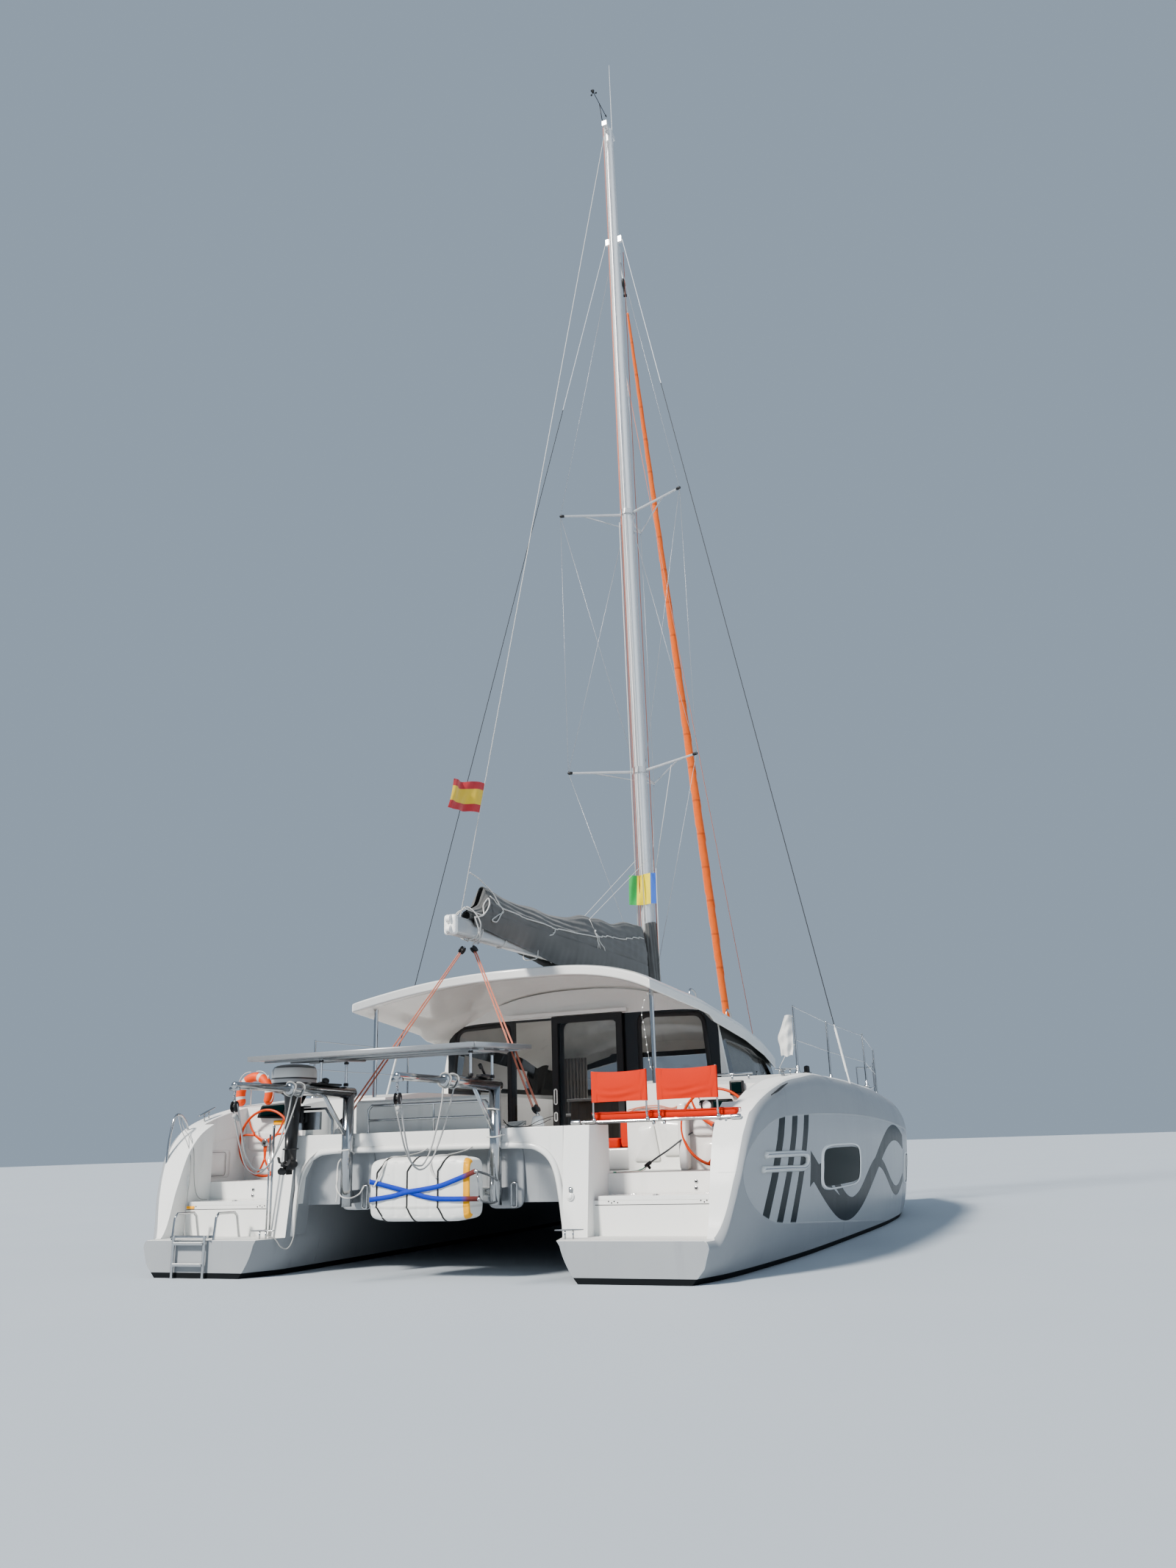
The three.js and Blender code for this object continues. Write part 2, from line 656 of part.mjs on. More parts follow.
// Sliding door on the cockpit side of the bulkhead, standing open to starboard.
const DOOR = { left: -330, right: 630, low: 876, high: 2672, stile: 85, back: BULKHEAD_Y - 28,
  front: BULKHEAD_Y - 62 };
const doorFrame = cut(
  block([DOOR.left, DOOR.front, DOOR.low], [DOOR.right, DOOR.back, DOOR.high]),
  block([DOOR.left + DOOR.stile, DOOR.front - 50, DOOR.low + DOOR.stile],
    [DOOR.right - DOOR.stile, DOOR.back + 50, DOOR.high - DOOR.stile]),
);
add("door_frame", doorFrame, "black");
add("door_glass", block(
  [DOOR.left + DOOR.stile + GAP, DOOR.front + 12, DOOR.low + DOOR.stile + GAP],
  [DOOR.right - DOOR.stile - GAP, DOOR.front + 20, DOOR.high - DOOR.stile - GAP],
), "glass");

// Hardtop posts at the aft corners.
const post = mainPiece(clearOf(rod([1710, 2230, 1600], [1710, 2230, 2900], 24, 10), [hull, roof]));
addPair("roof_post", post, "steel");

// Mast, with the gooseneck plates, the masthead crane and the aerial. Columns: z, width, depth.
const mastY = (z) => MAST_Y - (MAST_RAKE * (z - MAST_FOOT_Z)) / (MASTHEAD_Z - MAST_FOOT_Z);
const MAST_SECTIONS = [
  [MAST_FOOT_Z - 200, 200, 250],
  [15200, 200, 250],
  [MASTHEAD_Z, 150, 190],
];
function ovalRing(z, width, depth, centreY, sides = 14) {
  return Array.from({ length: sides }, (_, i) => {
    const angle = (i * 2 * Math.PI) / sides;
    return [(width / 2) * Math.cos(angle), centreY + (depth / 2) * Math.sin(angle), z];
  });
}
const LUG = { half: 32, low: BOOM_Z - 66, high: BOOM_Z + 50, thick: 16, pin: 9 };
const mastBase = clearOf(
  loft(MAST_SECTIONS.map(([z, width, depth]) => ovalRing(z, width, depth, mastY(z)))), [roof],
);
const headY = mastY(MASTHEAD_Z);
const HOUND = { z: HOUNDS_Z, reach: 150 };

// Forestay line, and the shares of it between which the furled sail turns.
const CROSSBEAM = { y: 11450, z: 1330, radius: 85 };
const STAY_LOW = [0, CROSSBEAM.y + 42, CROSSBEAM.z + 300];
const STAY_TOP = [0, mastY(HOUND.z) + 235, HOUND.z];
const GENOA_FOOT = 0.012;
const GENOA_HEAD = 0.985;
const TOGGLE = { radius: 14, gap: 0.0006 };
const mast = join(
  mainPiece(mastBase.intersect(block([-FAR, 0, MAST_FOOT_Z - 40], [FAR, FAR, 4 * FAR]))),
  [LUG.low, LUG.high].map((z) => block(
    [-LUG.half, BOOM_PIVOT_Y - 36, z], [LUG.half, MAST_Y - 60, z + LUG.thick])),
  rod([0, BOOM_PIVOT_Y, LUG.low + 4], [0, BOOM_PIVOT_Y, LUG.high + 4], LUG.pin, 12),
  block([-45, headY - 230, MASTHEAD_Z - 60], [45, headY + 200, MASTHEAD_Z + 40]),
  rod([45, headY + 60, MASTHEAD_Z + 20], [45, headY + 60, MASTHEAD_Z + 1640], 9, 8, 5),
  block([-150, mastY(HOUND.z) - 40, HOUND.z - 60], [150, mastY(HOUND.z) + 10, HOUND.z + 60]),
  block([-30, mastY(HOUND.z), HOUND.z - 60], [30, mastY(HOUND.z) + 240, HOUND.z + 60]),
  rod(along(STAY_LOW, STAY_TOP, GENOA_HEAD + TOGGLE.gap), STAY_TOP, TOGGLE.radius, 8),
);
add("mast", mast, "aluminium");

// Spreaders with the forward jumper strut and its two braces, on a collar. Columns: name, z.
const SPREADER_SETS = [
  ["spreaders_lower", 6710],
  ["spreaders_upper", 11250],
];
const SPREADER = { tipX: 1070, sweep: 400, jumper: 640, radius: 24, brace: 11 };
for (const [name, z] of SPREADER_SETS) {
  const y = mastY(z);
  const jumperTip = [0, y + SPREADER.jumper, z - 30];
  const arms = [1, -1].map((side) => join(
    rod([side * 60, y, z], [side * SPREADER.tipX, y - SPREADER.sweep, z + 20], SPREADER.radius, 8, 17),
    rod([side * 0.68 * SPREADER.tipX, y - 0.68 * SPREADER.sweep, z + 10], jumperTip, SPREADER.brace, 6),
  ));
  const collar = loft([
    ovalRing(z - 45, 250, 300, y),
    ovalRing(z + 45, 250, 300, y),
  ]);
  const set = join(collar, arms, rod([0, y + 100, z - 10], jumperTip, 20, 8));
  add(name, mainPiece(clearOf(set, [mast])), "aluminium");
}

// Boom: a rounded box section from its end cap to the gooseneck eye. Columns: y, z, width, height.
const BOOM_SECTIONS = [
  [950, 3335, 130, 200],
  [6780, 3425, 130, 190],
];
function boxRing([y, z, width, height]) {
  const [w, h] = [width / 2, height / 2];
  const corner = 0.55;
  return [
    [w, -h * corner], [w, h * corner], [w * corner, h], [-w * corner, h],
    [-w, h * corner], [-w, -h * corner], [-w * corner, -h], [w * corner, -h],
  ].map(([x, up]) => [x, y, z + up]);
}
const EYE = { half: 30, low: BOOM_Z - 40, high: BOOM_Z + 40 };
const boom = cut(
  join(
    loft(BOOM_SECTIONS.map(boxRing)),
    block([-EYE.half, 6700, EYE.low], [EYE.half, BOOM_PIVOT_Y, EYE.high]),
    rod([0, BOOM_PIVOT_Y, EYE.low], [0, BOOM_PIVOT_Y, EYE.high], EYE.half, 16),
  ),
  rod([0, BOOM_PIVOT_Y, 3200], [0, BOOM_PIVOT_Y, 3600], LUG.pin + 1.5, 12),
);
add("boom", boom, "grey");

// Sail bag on the boom. Columns: y, width low down, width at the top, top height.
const BAG_SECTIONS = [
  [1260, 120, 60, 3580],
  [1480, 200, 70, 3660],
  [1610, 270, 80, 3870],
  [2200, 320, 100, 3855],
  [2900, 335, 110, 3845],
  [3700, 340, 110, 3900],
  [4400, 340, 110, 4000],
  [5500, 320, 100, 4085],
  [6550, 250, 90, 4240],
  [6780, 120, 60, 4235],
];
const boomTop = (y) => 3436 + ((y - 950) * 84) / 5830;
function bagRing([y, low, high, top]) {
  const base = boomTop(y) + 4;
  const rise = top - base;
  return [
    [low * 0.3, base], [low * 0.5, base + 0.22 * rise], [low * 0.46, base + 0.55 * rise],
    [high * 0.5, top - 0.06 * rise], [0, top], [-high * 0.5, top - 0.06 * rise],
    [-low * 0.46, base + 0.55 * rise], [-low * 0.5, base + 0.22 * rise], [-low * 0.3, base],
  ].map(([x, z]) => [x, y, z]);
}
add("sail_bag", clearOf(loft(BAG_SECTIONS.map(bagRing)), [boom]), "canvas");

// Topping lift from the boom's end to under the masthead crane, with the ensign bent to it.
const LIFT = { low: [0, 1125, 3400], high: [0, 6700, MASTHEAD_Z - 68], radius: 5 };
const ENSIGN = { hoist: [0.105, 0.08], fly: [-135, -565, -35], thick: 8, columns: 4 };
function ensignPoint(share, side) {
  const lift = ENSIGN.hoist[0] + (ENSIGN.hoist[1] - ENSIGN.hoist[0]) * side;
  const [x, y, z] = along(LIFT.low, LIFT.high, lift);
  return [x + ENSIGN.fly[0] * share, y + ENSIGN.fly[1] * share, z + ENSIGN.fly[2] * share];
}
const ensign = slab(ENSIGN.columns, 1,
  (u, v) => ensignPoint(u, v).map((value, i) => value + (i === 0 ? ENSIGN.thick / 2 : 0)),
  (u, v) => ensignPoint(u, v).map((value, i) => value - (i === 0 ? ENSIGN.thick / 2 : 0)));
const lift = mainPiece(clearOf(rod(LIFT.low, LIFT.high, LIFT.radius, 6), [boom]));
add("topping_lift", join(lift, ensign), "plastic");

// Main stays: a shroud a side with its turnbuckle and chainplate.
const hound = [HOUND.reach + 12, mastY(HOUND.z) - 16, HOUND.z - 20];
const plate = [CHAINPLATE[0], CHAINPLATE[1], DECK_Z - 60];
const shroud = join(
  rod(hound, along(hound, plate, 0.975), 6, 8),
  rod(along(hound, plate, 0.955), along(hound, plate, 0.99), 15, 8),
  rod(along(hound, plate, 0.985), plate, 11, 8),
);
addPair("shroud", mainPiece(clearOf(shroud, [hull, mast])), "steel");

// Crossbeam between the bows with its bridle, and the centre beam that carries the anchor roller.
const beamEnd = (side) => [side * 1900, CROSSBEAM.y, CROSSBEAM.z + 60];
const crossbeam = join(
  rod([-2150, CROSSBEAM.y, CROSSBEAM.z], [2150, CROSSBEAM.y, CROSSBEAM.z], CROSSBEAM.radius, 14),
  rod([0, CROSSBEAM.y, CROSSBEAM.z], STAY_LOW, 38, 10),
  rod(STAY_LOW, along(STAY_LOW, STAY_TOP, GENOA_FOOT - TOGGLE.gap), TOGGLE.radius, 8),
  rod(beamEnd(1), [0, CROSSBEAM.y, CROSSBEAM.z + 240], 11, 8),
  rod(beamEnd(-1), [0, CROSSBEAM.y, CROSSBEAM.z + 240], 11, 8),
);
const crossbeamClear = mainPiece(clearOf(crossbeam, hulls));
add("crossbeam", crossbeamClear, "aluminium");
const CENTRE_BEAM_Z = 1300;
const centreBeam = mainPiece(clearOf(
  join(
    rod([0, 8800, CENTRE_BEAM_Z], [0, CROSSBEAM.y, CENTRE_BEAM_Z], 60, 12),
    block([-45, 10900, CENTRE_BEAM_Z - 130], [-35, 11250, CENTRE_BEAM_Z]),
    block([35, 10900, CENTRE_BEAM_Z - 130], [45, 11250, CENTRE_BEAM_Z]),
    rod([-44, 11200, CENTRE_BEAM_Z - 100], [44, 11200, CENTRE_BEAM_Z - 100], 14, 10),
  ),
  [bridgedeck, crossbeamClear],
));
add("centre_beam", centreBeam, "aluminium");

// Trampolines either side of the centre beam.
const NET_Z = 1380;
const net = slab(4, 4,
  (u, v) => netPoint(u, v, 12), (u, v) => netPoint(u, v, 0));
function netPoint(u, v, up) {
  const y = 8950 + (CROSSBEAM.y - 8950) * v;
  const x = 2400 - (2400 - 20) * u;
  const sag = 26 * 16 * u * (1 - u) * v * (1 - v);
  return [x, y, NET_Z - sag + up];
}
const trampoline = mainPiece(clearOf(net, [...hulls, bridgedeck, crossbeamClear, centreBeam]
  .concat([block([-20, 8900, 1200], [20, 11600, 1500])])));
addPair("trampoline", trampoline, "net");

// Furled genoa on its foil, turning with the drum about the forestay.
// Columns: share of the stay, radius. Drum, foil, rolled sail, swivel and foil again.
const GENOA_PROFILE = [
  [GENOA_FOOT, 16],
  [0.0135, 95],
  [0.0265, 95],
  [0.028, 18],
  [0.05, 18],
  [0.056, 60],
  [0.3, 80],
  [0.925, 26],
  [0.93, 16],
  [0.944, 16],
  [0.946, 34],
  [0.964, 34],
  [0.966, 16],
  [GENOA_HEAD, 16],
];
const genoa = turned(STAY_LOW, STAY_TOP, GENOA_PROFILE, 16);
add("furled_genoa", genoa, "orange");

// Davits: a leg, an arm with its thinner extension, a brace and a foot on the nacelle.
const DAVIT = { x: 800, armZ: 1660, legY: 355, footZ: 610, radius: 55, elbowY: -620, tipY: -1380,
  tipRadius: 32, rise: 15, braceY: -60, braceZ: 1230, braceRadius: 19 };
// Brackets between the leg and the nacelle. Columns: low z, high z.
const DAVIT_BRACKETS = [
  [1170, 1240],
  [640, 760],
];
const DAVIT_HEAD = { half: 70, low: -75, high: 10, y: [DAVIT.tipY - 5, DAVIT.tipY + 55] };
const armEnd = DAVIT.armZ + DAVIT.rise;
const davit = join(
  rod([DAVIT.x, DAVIT.legY, DAVIT.footZ], [DAVIT.x, DAVIT.legY, DAVIT.armZ], DAVIT.radius, 12),
  rod([DAVIT.x, DAVIT.legY + DAVIT.radius, DAVIT.armZ], [DAVIT.x, DAVIT.elbowY, armEnd],
    DAVIT.radius, 12),
  rod([DAVIT.x, DAVIT.elbowY + 20, armEnd], [DAVIT.x, DAVIT.tipY, armEnd + 5], DAVIT.tipRadius, 12),
  rod([DAVIT.x, DAVIT.braceY, DAVIT.armZ - 30], [DAVIT.x, DAVIT.legY, DAVIT.braceZ],
    DAVIT.braceRadius, 8),
  DAVIT_BRACKETS.map(([low, high]) => block([DAVIT.x - 40, DAVIT.legY, low],
    [DAVIT.x + 40, 700, high])),
  block([DAVIT.x - DAVIT_HEAD.half, DAVIT_HEAD.y[0], DAVIT.armZ + DAVIT_HEAD.low],
    [DAVIT.x + DAVIT_HEAD.half, DAVIT_HEAD.y[1], DAVIT.armZ + DAVIT_HEAD.high]),
);
addPair("davit", mainPiece(clearOf(davit, [bridgedeck])), "steel");

// Solar panel on four struts that stand on the davit arms. Columns of struts: side, y.
const PANEL = { low: [-1580, -200], high: [880, 950], z: 2015, rise: 45, thick: 40 };
const panelZ = (y) => PANEL.z + (PANEL.rise * (y - PANEL.low[1])) / (PANEL.high[1] - PANEL.low[1]);
const panelPlate = prism([
  [PANEL.low[1], PANEL.z - PANEL.thick],
  [PANEL.high[1], PANEL.z + PANEL.rise - PANEL.thick],
  [PANEL.high[1], PANEL.z + PANEL.rise],
  [PANEL.low[1], PANEL.z],
], "yz", PANEL.low[0], PANEL.high[0]);
const struts = [-1, 1].flatMap((side) => [-120, 300].map((y) => rod(
  [side * DAVIT.x, y, DAVIT.armZ + 20], [side * DAVIT.x, y, panelZ(y) - 20], 14, 8)));
add("solar_panel", mainPiece(clearOf(join(panelPlate, struts), [davit, mirrored(davit)])), "panel");

// Liferaft canister behind the aft beam, on two arms from the nacelle.
const RAFT = { x: [-260, 755], y: [-90, 220], z: [500, 1050], round: 70 };
function roundedBox({ x, y, z, round }) {
  const sections = [[0, round], [round * 0.35, round * 0.35], [round, 0]];
  const rings = [
    ...sections.map(([along0, inset]) => raftRing(x[0] + along0, inset)),
    ...sections.slice().reverse().map(([along0, inset]) => raftRing(x[1] - along0, inset)),
  ];
  function raftRing(at, inset) {
    const [y0, y1] = [y[0] + inset, y[1] - inset];
    const [z0, z1] = [z[0] + inset, z[1] - inset];
    const c = round;
    return [
      [y1, z0 + c], [y1, z1 - c], [y1 - c * 0.3, z1 - c * 0.3], [y1 - c, z1],
      [y0 + c, z1], [y0 + c * 0.3, z1 - c * 0.3], [y0, z1 - c], [y0, z0 + c],
      [y0 + c * 0.3, z0 + c * 0.3], [y0 + c, z0], [y1 - c, z0], [y1 - c * 0.3, z0 + c * 0.3],
    ].map(([a, b]) => [at, a, b]);
  }
  return loft(rings);
}
const raftArms = [-140, 580].map((x) => block([x, RAFT.y[1] - 60, 690], [x + 80, 600, 760]));
add("liferaft", mainPiece(clearOf(join(roundedBox(RAFT), raftArms), [bridgedeck])), "plastic");

// Steering wheels with three forked spokes, on shafts from the helm consoles.
const WHEEL = { x: 2590, y: 1430, z: 1235, radius: 348, rim: 13, hub: 42 };
function wheelAt(x) {
  const rim = new THREE.TorusGeometry(WHEEL.radius, WHEEL.rim, 8, 36);
  rim.rotateX(Math.PI / 2).translate(x, WHEEL.y, WHEEL.z);
  const parts = [
    solid(rim),
    rod([x, WHEEL.y - 20, WHEEL.z], [x, WHEEL.y + 22, WHEEL.z], WHEEL.hub, 16),
    rod([x, WHEEL.y, WHEEL.z], [x, 1553, WHEEL.z], 24, 12),
  ];
  const reach = (radius, degrees) => {
    const angle = THREE.MathUtils.degToRad(degrees);
    return [x + radius * Math.cos(angle), WHEEL.y, WHEEL.z + radius * Math.sin(angle)];
  };
  for (const degrees of [30, 150, 270]) {
    const fork = reach(WHEEL.radius * 0.5, degrees);
    parts.push(rod([x, WHEEL.y, WHEEL.z], fork, 14, 8));
    parts.push(rod(fork, reach(WHEEL.radius, degrees - 17), 10, 8));
    parts.push(rod(fork, reach(WHEEL.radius, degrees + 17), 10, 8));
  }
  return join(parts);
}
addPair("helm_wheel", wheelAt(WHEEL.x), "orange");

// Helm bench to starboard: a frame across the stern well, a cushion and two sling backrests.
const BENCH = { y: [600, 900], z: 1305, tube: 13, x: [1560, 3060] };
const benchBars = BENCH.y.map((y) => rod([BENCH.x[0], y, BENCH.z], [BENCH.x[1], y, BENCH.z],
  BENCH.tube, 8));
// Columns: the two ends of a backrest.
const BACKRESTS = [
  ["helm_back_inner", 1700, 2200],
  ["helm_back_outer", 2330, 2860],
];
const BACK = { y: BENCH.y[0] - 30, low: 1470, high: 1750, thick: 14 };
const benchPosts = BACKRESTS.flatMap(([, x0, x1]) => [x0 - 8, x1 + 8].map((x) => tube([
  [x, BENCH.y[0], BENCH.z - 4],
  [x, BACK.y, BENCH.z + 60],
  [x, BACK.y, BACK.high],
], 9)));
const benchFrame = join(
  benchBars,
  [BENCH.x[0] + 20, 2250, 2780].map((x) => rod([x, BENCH.y[0], BENCH.z], [x, BENCH.y[1], BENCH.z],
    BENCH.tube, 8)),
  BENCH.y.map((y) => rod([BENCH.x[0] + 20, y, BEAM_TOP_Z - 40], [BENCH.x[0] + 20, y, BENCH.z],
    BENCH.tube, 8)),
  rod([2930, BENCH.y[0], BENCH.z - 120], [2930, BENCH.y[0], BENCH.z], BENCH.tube, 8),
  benchPosts,
);
const benchFrameClear = mainPiece(clearOf(benchFrame, [hull, bridgedeck]));
add("helm_bench_frame", benchFrameClear, "steel");
const CUSHION = { z: [BENCH.z + 14, BENCH.z + 84] };
const cushion = block([1630, BENCH.y[0] + 20, CUSHION.z[0]], [3040, BENCH.y[1] + 40, CUSHION.z[1]]);
add("helm_cushion", mainPiece(clearOf(cushion, [hull, benchFrameClear], 2)), "orange");
for (const [name, x0, x1] of BACKRESTS) {
  add(name, block([x0 + 3, BACK.y - BACK.thick / 2, BACK.low], [x1 - 3, BACK.y + BACK.thick / 2,
    BACK.high - 5]), "orange");
}

// Guard rail on the aft beam, with the bracket that the stored outboard engine hangs on.
const AFT_RAIL = { y: 620, z: 1540, mid: 1400 };
const aftRail = join(
  tube([[-740, AFT_RAIL.y, 1200], [-740, AFT_RAIL.y, AFT_RAIL.z - 40],
    [-700, AFT_RAIL.y, AFT_RAIL.z], [560, AFT_RAIL.y, AFT_RAIL.z], [600, AFT_RAIL.y, AFT_RAIL.z - 40],
    [600, AFT_RAIL.y, 1200]], 13),
  rod([-740, AFT_RAIL.y, AFT_RAIL.mid], [600, AFT_RAIL.y, AFT_RAIL.mid], 11),
  rod([0, AFT_RAIL.y, 1200], [0, AFT_RAIL.y, AFT_RAIL.z], 11),
);
add("aft_rail", mainPiece(clearOf(aftRail, [bridgedeck, davit, mirrored(davit)])), "steel");
const engineRail = join(
  tube([[-1080, 500, 1200], [-1080, 500, 1420], [-1160, 500, 1530], [-1420, 500, 1530],
    [-1490, 500, 1470], [-1490, 500, 1200]], 13),
  block([-1500, 455, 1330], [-1200, 490, 1500]),
);
add("engine_rail", mainPiece(clearOf(engineRail, [bridgedeck, hulls[1]])), "steel");
// Columns: z, half width, half length of the engine's cowl.
const COWL = [
  [1680, 150, 200],
  [1740, 175, 232],
  [1900, 175, 232],
  [1960, 140, 184],
];
const ENGINE = { x: -1430, cowlY: 330 };
const engineBlock = ([x0, y0, z0], [x1, y1, z1]) => block(
  [ENGINE.x + x0, y0, z0], [ENGINE.x + x1, y1, z1]);
const engine = join(
  loft(COWL.map(([z, halfX, halfY]) => Array.from({ length: 12 }, (_, i) => {
    const angle = ((i + 0.5) * Math.PI) / 6;
    return [ENGINE.x + halfX * Math.cos(angle), ENGINE.cowlY + halfY * Math.sin(angle), z];
  }))),
  engineBlock([-65, 250, 1150], [65, 390, 1700]),
  engineBlock([-45, 230, 960], [45, 390, 1160]),
  rod([ENGINE.x, 235, 1010], [ENGINE.x, 180, 1010], 95, 12),
  engineBlock([-80, 380, 1380], [80, 449, 1560]),
  engineBlock([-80, 380, 1545], [80, 530, 1560]),
);
add("outboard_engine", mainPiece(clearOf(engine, [engineRail, bridgedeck, hulls[1]])), "black");

// Horseshoe lifebuoy, standing on its two ends on the port quarter deck.
const BUOY = { x: -2920, y: 1630, z: 1765, radius: 200, fat: 55, start: -36, sweep: 252 };
const buoyPath = Array.from({ length: 13 }, (_, i) => {
  const angle = THREE.MathUtils.degToRad(BUOY.start + (BUOY.sweep * i) / 12);
  return [BUOY.x + BUOY.radius * Math.cos(angle), BUOY.y, BUOY.z + BUOY.radius * Math.sin(angle)];
});
const buoy = tube(buoyPath, BUOY.fat, 10);
add("lifebuoy", mainPiece(clearOf(buoy, [hulls[1]])), "orange");

// Swim ladder on the port platform, hinged at the platform's edge, and the two rails over it.
const LADDER = { x: [-2494, -2126], y: -34, hingeZ: 372, foot: -480, rail: 15 };
const RUNGS = [310, 120, -90, -290, -465];
const ladder = join(
  LADDER.x.map((x) => rod([x, LADDER.y, LADDER.hingeZ + 12], [x, LADDER.y, LADDER.foot],
    LADDER.rail, 10)),
  rod([LADDER.x[0] - 25, LADDER.y, LADDER.hingeZ], [LADDER.x[1] + 25, LADDER.y, LADDER.hingeZ], 9),
  RUNGS.map((z) => block([LADDER.x[0], LADDER.y - 28, z - 9], [LADDER.x[1], LADDER.y + 18, z + 9])),
);
add("swim_ladder", ladder, "steel");
const ladderRails = join(
  [-2560, -2060].map((x) => tube([
    [x, 15, PLATFORM_Z - 20], [x, 40, 540], [x, 75, 580], [x, 310, 575], [x, 350, 540],
    [x, 400, PLATFORM_Z - 20],
  ], 12)),
  rod([-2560, 22, LADDER.hingeZ], [-2060, 22, LADDER.hingeZ], 11),
  [-2536, -2096].map((x) => block([x, LADDER.y - 12, LADDER.hingeZ - 12],
    [x + 12, 30, LADDER.hingeZ + 12])),
);
add("ladder_rails", mainPiece(clearOf(ladderRails, [hulls[1]])), "steel");

// Guardrails. Columns: x and y of each stanchion.
const STANCHIONS = [
  [3060, 2950],
  [2980, 5050],
  [3050, 7100],
  [2880, 8900],
  [2620, 10350],
];
const RAIL_HEIGHT = 700;
const deckZ = (y) => between(HULL_STATIONS, y, 6);
const postsTop = STANCHIONS.map(([x, y]) => [x, y, deckZ(y) + RAIL_HEIGHT]);
const postsMid = STANCHIONS.map(([x, y]) => [x, y, deckZ(y) + RAIL_HEIGHT / 2]);
const BOW_RAIL = [
  [2620, 10350, 0],
  [2450, 11300, 0],
  [2330, 11720, 0],
  [2230, 11800, 0],
  [2130, 11560, 0],
].map(([x, y]) => [x, y, deckZ(10350) + RAIL_HEIGHT]);
const guardrail = join(
  STANCHIONS.map(([x, y]) => rod([x, y, deckZ(y) - 120], [x, y, deckZ(y) + RAIL_HEIGHT + 8], 13)),
  STANCHIONS.map(([x, y]) => rod([x, y, deckZ(y) - 60], [x, y, deckZ(y) + 12], 34, 10)),
  tube(postsTop, 5, 6),
  tube(postsMid, 5, 6),
  tube(BOW_RAIL, 13),
  tube(BOW_RAIL.map(([x, y, z]) => [x, y, z - RAIL_HEIGHT / 2]), 10),
  [BOW_RAIL[1], BOW_RAIL[4]].map(([x, y, z]) => rod([x, y, deckZ(y) - 120], [x, y, z], 13)),
);
addPair("guardrail", mainPiece(clearOf(guardrail, [hull])), "steel");

export default boat;
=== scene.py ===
"""A cruising catamaran at anchor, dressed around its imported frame. Metres, +Z up, +Y to the bows."""

import bmesh
import bpy
import numpy as np
from mathutils import Matrix, Vector


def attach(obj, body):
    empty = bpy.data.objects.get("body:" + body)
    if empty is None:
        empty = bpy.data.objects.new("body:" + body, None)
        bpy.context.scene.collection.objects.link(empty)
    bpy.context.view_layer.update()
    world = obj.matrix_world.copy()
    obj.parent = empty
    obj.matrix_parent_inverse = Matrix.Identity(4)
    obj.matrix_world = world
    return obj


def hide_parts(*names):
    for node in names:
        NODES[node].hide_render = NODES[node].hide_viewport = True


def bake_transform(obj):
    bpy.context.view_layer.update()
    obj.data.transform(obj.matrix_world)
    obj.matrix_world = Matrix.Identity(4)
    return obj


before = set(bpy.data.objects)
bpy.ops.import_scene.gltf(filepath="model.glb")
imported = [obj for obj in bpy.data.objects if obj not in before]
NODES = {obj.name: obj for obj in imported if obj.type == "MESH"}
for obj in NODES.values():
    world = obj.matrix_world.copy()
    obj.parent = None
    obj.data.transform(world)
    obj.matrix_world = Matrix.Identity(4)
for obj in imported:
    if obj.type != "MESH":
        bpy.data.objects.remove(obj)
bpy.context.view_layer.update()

# Camera: low over the water off the starboard quarter, looking up along the mast.
# Its place, heading, pitch and roll were solved from mirrored points on the boat.
EYE = np.array([5.95, -9.71, 1.11])
HEADING, PITCH, ROLL = np.radians([22.27, 17.01, -1.8])
SENSOR, FOCAL_PIXELS, PHOTO_HEIGHT = 36.0, 1602.0, 2133.0
ahead = np.array([-np.sin(HEADING) * np.cos(PITCH), np.cos(HEADING) * np.cos(PITCH), np.sin(PITCH)])
level = np.array([np.cos(HEADING), np.sin(HEADING), 0.0])
upright = np.cross(level, ahead)
side = level * np.cos(ROLL) + upright * np.sin(ROLL)
above = upright * np.cos(ROLL) - level * np.sin(ROLL)
lens = bpy.data.cameras.new("quarter_view")
lens.sensor_width = SENSOR
lens.lens = SENSOR * FOCAL_PIXELS / PHOTO_HEIGHT
lens.clip_end = 600.0
camera = bpy.data.objects.new("quarter_view", lens)
camera.matrix_world = Matrix([[side[i], above[i], -ahead[i], EYE[i]] for i in range(3)] + [[0, 0, 0, 1]])
bpy.context.scene.collection.objects.link(camera)
bpy.context.scene.camera = camera


